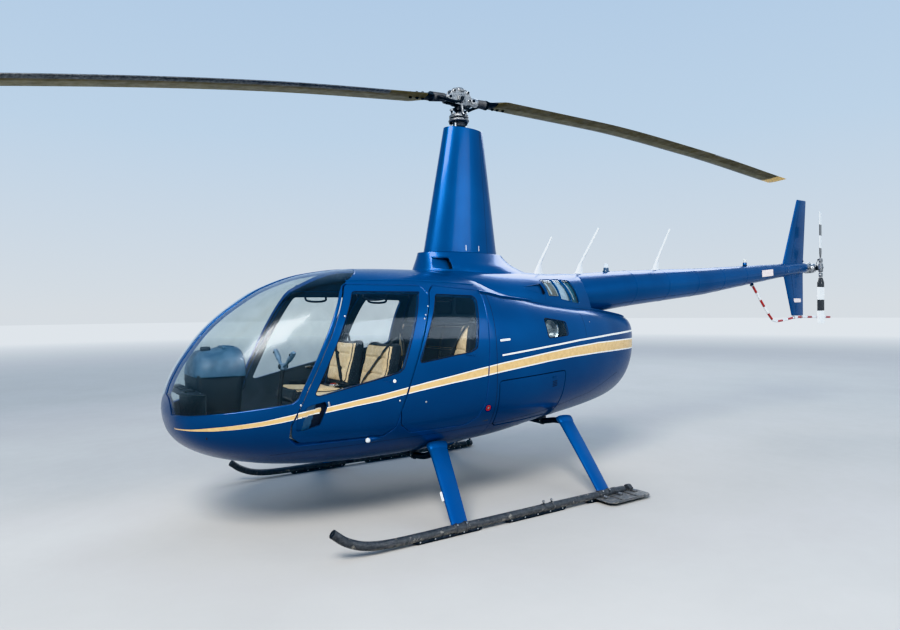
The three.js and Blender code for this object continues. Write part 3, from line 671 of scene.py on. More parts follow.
class Mat:
    """A small wrapper for a Principled node tree in object coordinates (the frame at rest)."""

    def __init__(self, name, **sockets):
        self.m = bpy.data.materials.new(name)
        self.m.use_nodes = True
        self.t = self.m.node_tree
        self.t.nodes.clear()
        self.out = self.t.nodes.new("ShaderNodeOutputMaterial")
        self.p = self.t.nodes.new("ShaderNodeBsdfPrincipled")
        self.t.links.new(self.p.outputs[0], self.out.inputs[0])
        self.pos = self.t.nodes.new("ShaderNodeTexCoord").outputs["Object"]
        for k, v in sockets.items():
            self.p.inputs[k.replace("_", " ")].default_value = v

    def node(self, kind, **k):
        n = self.t.nodes.new(kind)
        for a, b in k.items():
            setattr(n, a, b)
        return n

    def link(self, a, b):
        self.t.links.new(a, b)

    def scaled(self, v):
        n = self.node("ShaderNodeVectorMath", operation="MULTIPLY")
        self.link(self.pos, n.inputs[0])
        n.inputs[1].default_value = v
        return n.outputs[0]

    def noise(self, scale, detail=3, rough=0.5, vec=None, lo=0.0, hi=1.0, start=0.35, end=0.65):
        n = self.node("ShaderNodeTexNoise")
        n.inputs["Scale"].default_value = scale
        n.inputs["Detail"].default_value = detail
        n.inputs["Roughness"].default_value = rough
        self.link(vec if vec is not None else self.pos, n.inputs["Vector"])
        return self.remap(n.outputs[0], start, end, lo, hi)

    def voronoi(self, scale, feature="F1", vec=None, out="Distance"):
        n = self.node("ShaderNodeTexVoronoi", feature=feature)
        n.inputs["Scale"].default_value = scale
        self.link(vec if vec is not None else self.pos, n.inputs["Vector"])
        return n.outputs[out]

    def wave(self, scale, vec=None, direction="X", distortion=0.0):
        n = self.node("ShaderNodeTexWave", bands_direction=direction)
        n.inputs["Scale"].default_value = scale
        n.inputs["Distortion"].default_value = distortion
        self.link(vec if vec is not None else self.pos, n.inputs["Vector"])
        return n.outputs["Fac"]

    def remap(self, v, a, b, lo, hi):
        n = self.node("ShaderNodeMapRange")
        n.inputs[1].default_value, n.inputs[2].default_value = a, b
        n.inputs[3].default_value, n.inputs[4].default_value = lo, hi
        self.link(v, n.inputs[0])
        return n.outputs[0]

    def math(self, op, a, b=0.0):
        n = self.node("ShaderNodeMath", operation=op)
        for i, x in enumerate((a, b)):
            if isinstance(x, (int, float)):
                n.inputs[i].default_value = x
            else:
                self.link(x, n.inputs[i])
        return n.outputs[0]

    def axis(self, k):
        n = self.node("ShaderNodeSeparateXYZ")
        self.link(self.pos, n.inputs[0])
        return n.outputs[k]

    def mix(self, f, a, b):
        n = self.node("ShaderNodeMix", data_type="RGBA")
        for i, x in ((0, f), (6, a), (7, b)):
            if isinstance(x, (int, float, tuple)):
                n.inputs[i].default_value = x
            else:
                self.link(x, n.inputs[i])
        return n.outputs[2]

    def colour(self, v):
        self.link(v, self.p.inputs["Base Color"])

    def rough(self, v):
        self.link(v, self.p.inputs["Roughness"])

    def metal(self, v):
        self.link(v, self.p.inputs["Metallic"])

    def bump(self, v, strength=0.2, distance=0.001, normal=None):
        n = self.node("ShaderNodeBump")
        n.inputs["Strength"].default_value = strength
        n.inputs["Distance"].default_value = distance
        self.link(v, n.inputs["Height"])
        if normal is not None:
            self.link(normal, n.inputs["Normal"])
        self.link(n.outputs[0], self.p.inputs["Normal"])
        return n.outputs[0]


def flaked(name, dark, bright, rough=0.32, metallic=0.6, coat=0.42, painted_shade_z=(0.5, 1.4)):
    """Metallic lacquer: fine flake in colour and gloss, slow waviness, painted shade that darkens the colour towards
    the bottom between two heights, thin dust low down.
    """
    m = Mat(name, Coat_Weight=coat, Coat_Roughness=0.09, Coat_IOR=1.38, Metallic=metallic, Specular_IOR_Level=0.2)
    flake = m.remap(m.voronoi(2600.0, out="Color"), 0.0, 1.0, 0.0, 1.0)
    slow = m.noise(1.7, 2, 0.5, lo=0.0, hi=1.0, start=0.3, end=0.7)
    tone = m.math("ADD", m.math("ADD", m.math("MULTIPLY", flake, 0.04), m.math("MULTIPLY", slow, 0.12)), 0.13)
    # painted shade: lower down the colour leans towards the dark tone, most of all below the lower of the two heights
    tone = m.math("MULTIPLY", tone, m.remap(m.axis(2), painted_shade_z[0], painted_shade_z[1], 0.15, 1.0))
    base = m.mix(tone, dark, bright)
    low = m.remap(m.axis(2), 0.35, 0.75, 0.07, 0.0)
    dust = m.math("MULTIPLY", low, m.noise(9.0, 5, 0.62, lo=0.2, hi=1.0))
    m.colour(m.mix(dust, base, srgb(120, 118, 112)))
    fine = m.noise(60.0, 3, 0.6, lo=rough - 0.03, hi=rough + 0.05)
    m.rough(m.math("ADD", fine, m.math("MULTIPLY", dust, 0.6)))
    m.bump(m.noise(420.0, 1, 0.5), 0.018, 0.0006)
    return m.m


def lacquer(name, a, b, rough=0.3, scale=30.0, coat=0.6):
    """Plain painted band: faint tone drift and fine orange peel."""
    m = Mat(name, Coat_Weight=coat, Coat_Roughness=0.06)
    m.colour(m.mix(m.noise(scale, 4, 0.55), a, b))
    m.rough(m.noise(scale * 3, 3, 0.5, lo=rough - 0.06, hi=rough + 0.08))
    m.bump(m.noise(500.0, 1), 0.03, 0.0004)
    return m.m


def alloy(name, a, b, rough=0.32, scale=55.0, grain=0.25, stain=None):
    """Bare metal: cast grain or brushing, handling marks and a darker stain in places."""
    m = Mat(name, Metallic=1.0)
    cast = m.noise(scale, 5, 0.6)
    base = m.mix(cast, a, b)
    if stain:
        base = m.mix(m.noise(scale * 0.16, 4, 0.65, lo=0.0, hi=0.75, start=0.5, end=0.72), base, stain)
    m.colour(base)
    m.rough(m.noise(scale * 1.9, 4, 0.6, lo=rough - 0.1, hi=rough + 0.16))
    m.bump(m.noise(scale * 9, 2), grain, 0.0006)
    return m.m


def plastic(name, a, b, rough=0.5, grain=700.0, depth=0.25, scale=12.0, **k):
    """Moulded plastic or vinyl: tone drift and a fine leather-like grain."""
    m = Mat(name, **k)
    m.colour(m.mix(m.noise(scale, 4, 0.6), a, b))
    m.rough(m.noise(scale * 4, 3, 0.5, lo=rough - 0.07, hi=rough + 0.1))
    m.bump(m.voronoi(grain), depth, 0.0007)
    return m.m


def worn(name, paint_a, paint_b, metal=None, rough=0.45, amount=0.62, height=None, scale=14.0):
    """Satin enamel rubbed through in patches and scratched along its length; given a height band, rubbed more below it.
    """
    m = Mat(name)
    big = m.noise(scale, 6, 0.68, lo=0.0, hi=1.0, start=amount, end=amount + 0.06)
    long = m.noise(1.0, 5, 0.6, vec=m.scaled((6.0, 220.0, 220.0)), lo=0.0, hi=0.7, start=0.62, end=0.7)
    rub = m.math("MAXIMUM", big, m.math("MULTIPLY", long, 0.8))
    if height is not None:
        rub = m.math("MINIMUM", m.math("ADD", rub, m.math("MULTIPLY", m.remap(m.axis(2), height[0], height[1], 1.0, 0.0), m.noise(40.0, 3, 0.6, lo=0.0, hi=0.8, start=0.4, end=0.6))), 1.0)
    base = m.mix(m.noise(scale * 2.5, 4, 0.6), paint_a, paint_b)
    m.colour(m.mix(rub, base, metal or srgb(150, 146, 138)))
    m.metal(m.math("MULTIPLY", rub, 0.75))
    m.rough(m.noise(scale * 6, 4, 0.6, lo=rough - 0.08, hi=rough + 0.16))
    m.bump(m.math("ADD", m.noise(scale * 20, 3), m.math("MULTIPLY", rub, -0.4)), 0.22, 0.0008)
    return m.m


def hide(name, a, b, deep):
    """Soft leather: pebbled grain, creases, darker in the creases as painted shade."""
    m = Mat(name, Sheen_Weight=0.12, Sheen_Roughness=0.5, Specular_IOR_Level=0.35)
    grain = m.voronoi(620.0, feature="DISTANCE_TO_EDGE")
    crease = m.noise(26.0, 6, 0.65, lo=0.0, hi=1.0, start=0.42, end=0.62)
    tone = m.mix(m.noise(6.0, 4, 0.6), a, b)
    pits = m.remap(grain, 0.0, 0.12, 0.35, 0.0)
    # painted shade in the creases: the colour leans to the deep tone where the crease relief is low
    m.colour(m.mix(m.math("ADD", pits, m.math("MULTIPLY", m.math("SUBTRACT", 1.0, crease), 0.22)), tone, deep))
    m.rough(m.noise(70.0, 3, 0.5, lo=0.5, hi=0.68))
    m.bump(m.math("ADD", m.remap(grain, 0.0, 0.2, 0.0, 1.0), m.math("MULTIPLY", crease, 1.6)), 0.38, 0.0008)
    return m.m


def woven(name, a, b, pitch=420.0, rough=0.85, strength=0.6, vec=None):
    """Cloth or webbing: crossing threads in colour and relief, with slubs."""
    m = Mat(name, Sheen_Weight=0.25, Sheen_Roughness=0.4, Specular_IOR_Level=0.25)
    w1 = m.wave(pitch, direction="X", distortion=0.6)
    w2 = m.wave(pitch, direction="Z", distortion=0.6)
    w3 = m.wave(pitch, direction="Y", distortion=0.6)
    weave = m.math("MULTIPLY", m.math("ADD", m.math("ADD", w1, w2), w3), 0.333)
    slub = m.noise(140.0, 4, 0.6, lo=0.0, hi=0.5)
    m.colour(m.mix(m.math("MINIMUM", m.math("ADD", m.math("MULTIPLY", weave, 0.6), slub), 1.0), a, b))
    m.rough(m.noise(200.0, 2, lo=rough - 0.05, hi=rough + 0.06))
    m.bump(weave, strength, 0.0007)
    return m.m


def carpet(name, a, b):
    m = Mat(name, Sheen_Weight=0.3, Sheen_Roughness=0.5, Specular_IOR_Level=0.1)
    loops = m.voronoi(900.0)
    m.colour(m.mix(m.math("ADD", m.math("MULTIPLY", loops, 0.9), m.noise(30.0, 5, 0.7, lo=0.0, hi=0.4)), a, b))
    m.rough(m.noise(300.0, 2, lo=0.86, hi=0.98))
    m.bump(loops, 0.7, 0.0015)
    return m.m


def clear(name, tint, gloss=(1, 1, 1, 1), ior=1.46, rough=0.012, spread=0.03):
    """A thin clear pane: it passes light with a slight tint and mirrors more at a glancing angle; faint smears."""
    m = Mat(name)
    m.t.nodes.remove(m.p)
    tr = m.node("ShaderNodeBsdfTransparent")
    gl = m.node("ShaderNodeBsdfGlossy")
    fr = m.node("ShaderNodeFresnel")
    fr.inputs["IOR"].default_value = ior
    mx = m.node("ShaderNodeMixShader")
    smear = m.noise(3.0, 5, 0.7, vec=m.scaled((1.0, 1.0, 0.35)), lo=rough, hi=rough + spread, start=0.4, end=0.75)
    m.link(smear, gl.inputs["Roughness"])
    gl.inputs["Color"].default_value = gloss
    m.link(m.mix(m.noise(5.0, 4, 0.6, lo=0.0, hi=0.5), tint, tuple(c * 0.93 for c in tint[:3]) + (1.0,)), tr.inputs["Color"])
    front = m.math("SUBTRACT", 1.0, m.node("ShaderNodeNewGeometry").outputs["Backfacing"])
    m.link(m.math("MULTIPLY", fr.outputs[0], front), mx.inputs[0])
    m.link(tr.outputs[0], mx.inputs[1])
    m.link(gl.outputs[0], mx.inputs[2])
    m.link(mx.outputs[0], m.out.inputs[0])
    return m.m


def lamp(name, a, b, rough=0.05, **k):
    """A moulded lens with ribs inside."""
    m = Mat(name, Coat_Weight=1.0, Coat_Roughness=0.03, Roughness=rough, **k)
    m.colour(m.mix(m.math("MULTIPLY", m.wave(260.0, direction="Z"), 0.8), a, b))
    m.bump(m.wave(260.0, direction="Z"), 0.15, 0.0005)
    return m.m


BLUE = flaked("paint_blue", srgb(0, 42, 90), srgb(0, 124, 206))
# the legs skip the painted shade by height: both heights lie below the floor
BLUE_LEG = flaked("paint_blue_legs", srgb(0, 62, 128), srgb(0, 130, 214), painted_shade_z=(-2.0, -1.0))
BLUE_IN = lacquer("paint_blue_inner", srgb(30, 62, 92), srgb(42, 76, 106), rough=0.45, coat=0.2)
GOLD = lacquer("stripe_gold", srgb(212, 174, 112), srgb(226, 190, 130), rough=0.32)
WHITE_LINE = lacquer("stripe_white", srgb(232, 230, 222), srgb(244, 243, 238), rough=0.3)
# near black: the dark of panel joints, and also painted shade on the walls and deep ends of the recessed scoops
SEAM_AND_SHADE = plastic("seam_and_shade_dark", srgb(6, 12, 26), srgb(12, 20, 36), rough=0.7)
JAMB = plastic("door_jamb", srgb(6, 48, 104), srgb(10, 60, 124), rough=0.45)
TRIM = plastic("trim_grey", srgb(46, 52, 60), srgb(60, 66, 74), rough=0.62, depth=0.4)
TRIM_DARK = plastic("trim_dark", srgb(26, 28, 31), srgb(38, 40, 44), rough=0.6, depth=0.4)
HEADLINER = woven("headliner", srgb(82, 92, 104), srgb(104, 114, 124), pitch=300.0)
CARPET = carpet("carpet", srgb(14, 15, 18), srgb(34, 36, 40))
RUBBER = plastic("rubber", srgb(14, 15, 17), srgb(24, 25, 27), rough=0.7, grain=900.0, depth=0.15)
GLASS = clear("windscreen", (0.90, 0.935, 0.94, 1.0), gloss=(0.86, 0.93, 1.0, 1), rough=0.17, spread=0.09)
GLASS_SIDE = clear("door_glass", (0.93, 0.955, 0.96, 1.0), gloss=(0.8, 0.9, 1.0, 1), rough=0.06, spread=0.06)
BARE = alloy("bare_metal", srgb(166, 168, 170), srgb(196, 197, 198), rough=0.34)
CAST = alloy("cast_metal", srgb(120, 124, 128), srgb(168, 170, 172), rough=0.45, scale=80.0, grain=0.5, stain=srgb(70, 72, 74))
DARK_METAL = alloy("dark_metal", srgb(34, 36, 39), srgb(62, 64, 68), rough=0.4, stain=srgb(18, 18, 20))
CHROME = alloy("chrome", srgb(214, 216, 218), srgb(236, 237, 238), rough=0.14, grain=0.05)
HOT = alloy("hot_metal", srgb(92, 84, 78), srgb(140, 128, 116), rough=0.42, stain=srgb(50, 44, 42))
SOOT = plastic("soot", srgb(10, 10, 10), srgb(24, 22, 21), rough=0.9)
SKID = worn("skid_enamel", srgb(44, 46, 49), srgb(70, 72, 75), amount=0.6, height=(0.02, 0.05))
PAD = worn("skid_pad", srgb(70, 73, 76), srgb(104, 106, 108), amount=0.52, scale=30.0)
BLADE_UP = worn("blade_top", srgb(40, 41, 36), srgb(56, 56, 48), amount=0.66, rough=0.5, scale=5.0)
# painted light on the blade undersides: the paler olive is a painted reflection of the floor and the darker olive is
# painted shade; the tops keep the blades' own dark paint
BLADE_UNDER_REFLECTED = worn("blade_under", srgb(104, 98, 74), srgb(126, 120, 94), amount=0.74, rough=0.55, scale=3.0, metal=srgb(150, 144, 120))
BLADE_UNDER_SHADED = worn("blade_under_painted_shade", srgb(84, 76, 50), srgb(104, 94, 64), amount=0.74, rough=0.55, scale=3.0, metal=srgb(96, 88, 72))
YELLOW = lacquer("tip_yellow", srgb(238, 176, 0), srgb(250, 196, 16), rough=0.36)
WHITE = lacquer("gloss_white", srgb(228, 229, 228), srgb(242, 243, 242), rough=0.26)
BLACK = lacquer("gloss_black", srgb(16, 20, 26), srgb(28, 32, 38), rough=0.3)
RED = lacquer("band_red", srgb(150, 24, 22), srgb(178, 38, 32), rough=0.34)
PLACARD = lacquer("placard", srgb(226, 210, 206), srgb(240, 226, 222), rough=0.4)
TAN = hide("seat_tan", srgb(244, 208, 160), srgb(252, 224, 184), srgb(150, 112, 70))
SLATE = woven("seat_slate", srgb(30, 33, 38), srgb(52, 57, 64), pitch=520.0)
PIPING = plastic("piping", srgb(40, 42, 46), srgb(54, 56, 62), rough=0.5)
THREAD = woven("thread", srgb(236, 214, 170), srgb(250, 232, 196), pitch=1600.0)
WEBBING = woven("webbing", srgb(14, 15, 17), srgb(38, 39, 42), pitch=900.0)
DIAL = plastic("dial_face", srgb(6, 7, 8), srgb(14, 15, 16), rough=0.35, depth=0.05)
MARK = plastic("dial_marks", srgb(222, 222, 214), srgb(238, 238, 230), rough=0.5, depth=0.05)
RED_LENS = lamp("lens_red", srgb(150, 10, 14), srgb(190, 26, 28))
GREEN_LENS = lamp("lens_green", srgb(8, 110, 52), srgb(20, 150, 74))
CLEAR_LENS = lamp("lens_clear", srgb(206, 214, 220), srgb(232, 238, 242))
SEALANT = plastic("grey_boot", srgb(58, 60, 64), srgb(84, 86, 90), rough=0.55)
TANK = plastic("tank_white", srgb(196, 196, 190), srgb(216, 216, 210), rough=0.5)
BAFFLE_A = worn("baffle_brown", srgb(112, 106, 96), srgb(132, 126, 114), amount=0.8, rough=0.5)
BAFFLE_B = worn("baffle_pale", srgb(172, 186, 198), srgb(194, 206, 216), amount=0.8, rough=0.4)
BAFFLE_C = worn("baffle_teal", srgb(34, 84, 104), srgb(52, 108, 128), amount=0.8, rough=0.45)


# ------------------------------------------------------------------ cabin and cowling skin
# x station | zb belly | zm widest height | zt crown | w half width | eu, el fullness above and below zm
BODY = [
    [2473.5, 849.2, 850.0, 850.8, 1.2, 2.0, 2.0],
    [2465, 785, 850, 925, 125, 2.0, 2.0],
    [2445, 712, 850, 1008, 235, 2.1, 2.0],
    [2395, 640, 852, 1122, 345, 2.15, 2.05],
    [2305, 572, 862, 1262, 450, 2.2, 2.1],
    [2170, 512, 880, 1425, 548, 2.25, 2.15],
    [1990, 462, 910, 1572, 628, 2.45, 2.25],
    [1790, 425, 940, 1694, 684, 2.75, 2.35],
    [1500, 396, 965, 1795, 724, 3.1, 2.45],
    [1150, 382, 985, 1842, 738, 3.1, 2.55],
    [700, 385, 1000, 1850, 736, 3.0, 2.6],
    [250, 408, 1010, 1835, 722, 2.85, 2.6],
    [-50, 430, 1015, 1760, 702, 2.9, 2.6],
    [-450, 478, 1025, 1660, 655, 3.1, 2.5],
    [-850, 520, 1050, 1602, 588, 3.1, 2.4],
    [-1200, 560, 1090, 1560, 512, 3.0, 2.4],
    [-1500, 604, 1130, 1520, 430, 2.9, 2.35],
    [-1700, 652, 1165, 1490, 366, 2.9, 2.3],
    [-1850, 728, 1190, 1462, 306, 2.9, 2.25],
    [-1930, 806, 1200, 1440, 256, 2.9, 2.2],
    [-1962, 872, 1205, 1415, 214, 2.9, 2.2],
    [-1975, 960, 1208, 1375, 150, 2.6, 2.2],
    [-1981, 1199.2, 1200.0, 1200.8, 1.2, 2.0, 2.0],
]


def body_like(rows, n=560, half=120, ends=(True, True)):
    """A skin from section rows, even along its length, each ring spaced evenly round."""
    r = arr(rows)
    step = np.sqrt(np.diff(r[:, 0]) ** 2 + np.diff(r[:, 4]) ** 2 + (np.diff(r[:, 3] - r[:, 1]) / 2) ** 2)
    s = np.concatenate([[0], np.cumsum(step)])
    flat = [0.0] + [np.nan] * 6
    q = mono(s, r, first=arr(flat) if ends[0] else None, last=arr(flat) if ends[1] else None)(np.linspace(0, s[-1], n))
    x, zb, zm, zt, w, eu, el = q.T
    t = np.linspace(-math.pi / 2, math.pi / 2, 901)
    e = np.where(t[None] > 0, eu[:, None], el[:, None])
    h = np.where(t[None] > 0, (zt - zm)[:, None], (zm - zb)[:, None])
    y = w[:, None] * np.abs(np.cos(t))[None] ** (2 / e)
    z = zm[:, None] + h * np.sign(np.sin(t))[None] * np.abs(np.sin(t))[None] ** (2 / e)
    P = np.zeros((n, 2 * half + 1, 3))
    for i in range(n):
        a = np.concatenate([[0], np.cumsum(np.hypot(np.diff(y[i]), np.diff(z[i])))])
        g = np.linspace(0, a[-1], half + 1)
        yy, zz = np.interp(g, a, y[i]), np.interp(g, a, z[i])
        yy[0] = yy[-1] = 0
        P[i, : half + 1] = np.stack([np.full(half + 1, x[i]), yy, zz], 1)
        P[i, half:] = np.stack([np.full(half + 1, x[i]), -yy[::-1], zz[::-1]], 1)
    return Surf(P)


body = body_like(BODY)
_rows = mono(arr(BODY)[::-1, 0], arr(BODY)[::-1])


def body_depth(P):
    """About how far points lie inside the body skin, in mm (negative outside)."""
    r = _rows(np.clip(P[:, 0], -1980, 2472))
    e = np.where(P[:, 2] > r[:, 2], r[:, 5], r[:, 6])
    h = np.where(P[:, 2] > r[:, 2], r[:, 3] - r[:, 2], r[:, 2] - r[:, 1])
    f = (np.abs(P[:, 1] / r[:, 4]) ** e + np.abs((P[:, 2] - r[:, 2]) / h) ** e) ** (1 / e)
    d = (1 - f) * np.hypot(P[:, 1], P[:, 2] - r[:, 2]) / np.maximum(f, 1e-6)
    return np.where((P[:, 0] > 2473) | (P[:, 0] < -1981), -50.0, d)


FRONT_DOOR = [[1378, 1702], [1742, 930], [1812, 775], [1804, 690], [1745, 646], [1150, 640], [1064, 690], [1040, 806], [740, 1644], [782, 1700]]
REAR_DOOR = [[664, 1702], [714, 1660], [1031, 806], [1018, 700], [930, 636], [430, 640], [330, 690], [282, 800], [262, 1000], [222, 1640], [236, 1668]]
FRONT_OPENING = [[1386, 1709], [1749, 932], [1819.5, 775], [1821, 676], [1756, 622], [1560, 627], [1145, 627], [1057.5, 686], [1033, 804], [733, 1642], [778, 1708]]
REAR_OPENING = [[668, 1709], [721, 1662], [1038, 806.5], [1024.5, 697], [931, 629], [429, 633], [325, 685.5], [275, 798], [255, 999], [215, 1641], [232, 1675]]
FRONT_WINDOW = [[1342, 1652], [1668, 968], [1640, 960], [1052, 1082], [1018, 1110], [825, 1640], [808, 1652]]
REAR_WINDOW = [[672, 1636], [880, 1165], [872, 1140], [420, 1200], [362, 1226], [296, 1600], [318, 1626]]
BAGGAGE_DOOR = [[140, 950], [130, 610], [100, 585], [-600, 600], [-640, 640], [-650, 985]]
COWL_WINDOW = [[-425, 1441], [-703, 1402], [-707, 1290], [-439, 1275]]
VENT = [[1780, 864], [1700, 902], [1600, 922], [1589, 892], [1603, 846], [1631, 758], [1734, 728], [1786, 730]]

# gold band: station, upper edge, lower edge; thin line: station, centre
BAND = arr([[2440, 759, 753], [2374, 766, 754], [2256, 783, 758], [2127, 796, 770], [1989, 812, 786], [1851, 836, 808], [1702, 861, 835], [1546, 883, 857],
            [1374, 909, 879], [1195, 932, 899], [1007, 961, 928], [803, 993, 955], [591, 1023, 981], [363, 1057, 1004], [119, 1089, 1033], [-147, 1118, 1059],
            [-445, 1148, 1086], [-771, 1175, 1105], [-1169, 1198, 1118], [-1690, 1205, 1123], [-1990, 1206, 1124]])
THIN = arr([[119, 1156], [-308, 1192], [-865, 1238], [-1400, 1268], [-1831, 1287], [-1990, 1293]])


def band_at(x):
    b = BAND[::-1]
    up, lo = np.interp(x, b[:, 0], b[:, 1]), np.interp(x, b[:, 0], b[:, 2])
    edge = np.clip((2250 - x) / 500, 0.0, 1.0) * np.interp(x, [-1944, 300, 1400], [11, 9, 6])
    return up, lo, edge


def paint_of(P):
    """0 blue, 1 gold, 2 white."""
    x, z = P[:, 0], P[:, 2]
    up, lo, edge = band_at(x)
    out = np.zeros(len(P), int)
    out[(z < up + edge) & (z > lo - edge)] = 2
    out[(z < up) & (z > lo)] = 1
    t = THIN[::-1]
    c = np.interp(x, t[:, 0], t[:, 1])
    h = np.interp(x, [-1944, 119], [8.5, 6.5])
    out[(np.abs(z - c) < h) & (x < 119)] = 2
    out[x > 2440] = 0
    return out


def stripe_lines(x0, x1, side, step=24):
    """The stripe edges between two stations, as plane lines on the body."""
    x = np.arange(x0, x1, step)
    x = np.append(x, x1)
    up, lo, edge = band_at(x)
    out = []
    for z in (up, lo, up + edge, lo - edge):
        ok = x < 2440
        out.append(body.uv(body.find(np.stack([x, z], 1)[ok], side)))
    if x0 < 119:
        k = x[x < 119]
        t = THIN[::-1]
        c, h = np.interp(k, t[:, 0], t[:, 1]), np.interp(k, [-1944, 119], [8.5, 6.5])
        for z in (c - h, c + h):
            out.append(body.uv(body.find(np.stack([k, z], 1), side)))
    return out


def u_at(x):
    return float(np.interp(body.s_of(x), np.arange(body.ns), body.u))


def strip_domain(x_fore, x_aft, step=28):
    """The whole ring between two stations, seam at the belly."""
    a, b = (0.0 if x_fore is None else u_at(x_fore)), (body.u[-1] if x_aft is None else u_at(x_aft))
    h = body.lv / 2
    return dense([[a, -h], [b, -h], [b, h], [a, h]], step)


def rounded_open(path, r, per=6):
    p = arr(path)
    out = [p[:1]]
    for a, b, c in zip(p[:-2], p[1:-1], p[2:]):
        ua, uc = unit(a - b), unit(c - b)
        turn = math.degrees(math.acos(np.clip(-np.dot(ua, uc), -1, 1)))
        d = min(r * math.tan(math.radians(turn) / 2), np.linalg.norm(a - b) * 0.45, np.linalg.norm(c - b) * 0.45)
        t = np.linspace(0, 1, per)[:, None]
        out.append((1 - t) ** 2 * (b + ua * d) + 2 * t * (1 - t) * b + t**2 * (b + uc * d))
    return np.vstack(out + [p[-1:]])


def screen_outline(side, inset=0.0):
    """Edge of a windscreen half in plane coordinates; inset pulls it in all round."""
    path = rounded_open([[2471.6, 842.3], [2150, 878.5], [1815, 916.3], [1775, 945], [1430, 1655], [1400, 1694], [1166, 1840]], 46, 8)
    path = dense(path, 16, close=False)
    path = path[(path[:, 0] < 2471) & (path[:, 0] > 1169)]
    low = body.find(path, side)
    s0, s1 = low[0, 0], low[-1, 0]
    s = np.linspace(s1, s0, 90)
    bow = np.stack([s, body.find_y(s, 24 if side > 0 else -24)], 1)
    q = body.uv(np.vstack([low, bow]))
    step = np.linalg.norm(q - np.roll(q, 1, 0), axis=1)
    q = q[step > 1.0]
    return grown(q, -inset) if inset else q


# grooves, gaskets and screws are dark or bright strips that lie on the skin and end on it
def groove(surf, uv, width=3.2, lift=0.35, mat=0, close=True):
    """A flat dark strip along a plane line: reads as the gap between two sheets."""
    s, v = surf.sv(uv)
    P, N = surf.at(s, v), surf.normal(s, v)
    T = unit(np.roll(P, -1, 0) - np.roll(P, 1, 0)) if close else unit(np.gradient(P, axis=0))
    B = unit(np.cross(N, T))
    rings = np.stack([P - B * width / 2 - N * 1.2, P - B * width / 2 * 0.9 + N * lift, P + B * width / 2 * 0.9 + N * lift, P + B * width / 2 - N * 1.2], 1)
    if close:
        rings = np.vstack([rings, rings[:1]])
    p = loft(rings, (not close, not close), mat)
    return p


def uv_line(surf, pts, side, step=22):
    return surf.uv(surf.find(dense(pts, step, close=False), side))


MATS_SKIN = [BLUE, GOLD, WHITE_LINE, JAMB, TRIM, SEAM_AND_SHADE, RUBBER, BARE, BLUE_IN]
B_, G_, W_, J_, T_, S_, R_, M_, I_ = range(9)

# ---- cabin shell: nose, sills, posts, bow and roof in one skin
screens = [screen_outline(1), screen_outline(-1)]
openings = []
for side in (1, -1):
    openings.append(body.outline(FRONT_OPENING, side, r=44, step=18))
    openings.append(body.outline(REAR_OPENING, side, r=40, step=18))
lines = stripe_lines(170, 2438, 1) + stripe_lines(170, 2438, -1)
cabin = shell(body, strip_domain(None, 170.2), screens + openings, lines, step=34, thick=28, bevel=2.5, paint=paint_of, rim=J_, inner=T_)
fit = Part()
for side in (1, -1):
    # sealing strip under each windscreen edge, and the screws along its lower frame and post
    fit.join(gasket(body, screen_outline(side, -4.0), r=3.6, sink=1.0, mat=B_))
    low = [[2440, 818], [2200, 848], [1830, 893], [1748, 930]]
    fit.join(row_of_heads(body, low, side, pitch=74, r=4.2, h=1.4, mat=B_))
    fit.join(row_of_heads(body, [[1748, 945], [1420, 1640]], side, pitch=96, r=3.8, h=1.3, mat=B_))
    # belly skin joint and its rivets
    seam = [[1900, 560], [1700, 578], [1100, 590], [600, 594], [171, 606]]
    fit.join(groove(body, uv_line(body, seam, side), 3.4, 0.3, S_, close=False))
    fit.join(row_of_heads(body, [[x, z - 14] for x, z in seam], side, pitch=42, r=3.0, h=0.9, mat=B_))
    # static port with its red ring
    p, n = body.on(240, 750, side)
    fit.join(lathe([(25, -0.6), (25, 0.9), (17.5, 1.0), (17.5, 0.1)], p, n, 40, mat=9))
    fit.join(lathe([(9.5, -0.5), (9.5, 1.0), (3.2, 1.3), (2.8, 0.3), (0.05, 0.3)], p, n, 24, mat=M_))
    # roof gutter above the doors
    gut = body.uv(body.find(dense([[1352, 1731], [1000, 1744], [719, 1743], [240, 1718]], 22, close=False), side))
    s, v = body.sv(gut)
    fit.join(sweep(body.at(s, v) + body.normal(s, v) * 0.5, 4.4, 10, B_))
    # blue fillets in the door gaps, but not along the hinged edges
    for opening, hinged, rr in ((FRONT_OPENING, [[1386, 1709], [1749, 932], [1819.5, 775], [1821, 676], [1790, 640]], 44), (REAR_OPENING, [[700, 1700], [721, 1662], [1038, 806.5], [1024.5, 697]], 40)):
        s, v = body.sv(grown(body.outline(opening, side, r=rr, step=14), -3.4))
        P, N = body.at(s, v), body.normal(s, v)
        hl = dense(arr(hinged), 8, close=False)
        hid = np.sqrt(((P[:, None, [0, 2]] - hl[None]) ** 2).sum(2)).min(1) < 22
        k = int(np.argmax(hid & ~np.roll(hid, -1))) + 1
        P, N, hid = np.roll(P, -k, 0), np.roll(N, -k, 0), np.roll(hid, -k)
        m = int(np.argmax(hid)) if hid.any() else len(P)
        fit.join(sweep((P - N * 3.6)[:m], 2.5, 8, B_))
make("cabin_shell", cabin.join(fit), MATS_SKIN + [RED], nodes=("lower_fuselage", "cabin_frame"))
for side, name in ((1, "left"), (-1, "right")):
    pane = shell(body, screen_outline(side, 1.2), (), (), step=30, thick=6.5, bevel=0.8, sink=1.5, rim=0, inner=0)
    make("windscreen_" + name, pane, [GLASS], nodes=("windshield_" + name,), angle=60)

# ---- doors
def vent_depth(P):
    return np.clip((1790 - P[:, 0] - (P[:, 2] - 840) * 0.2) / 130, 0, 1) ** 0.9 * 23.0


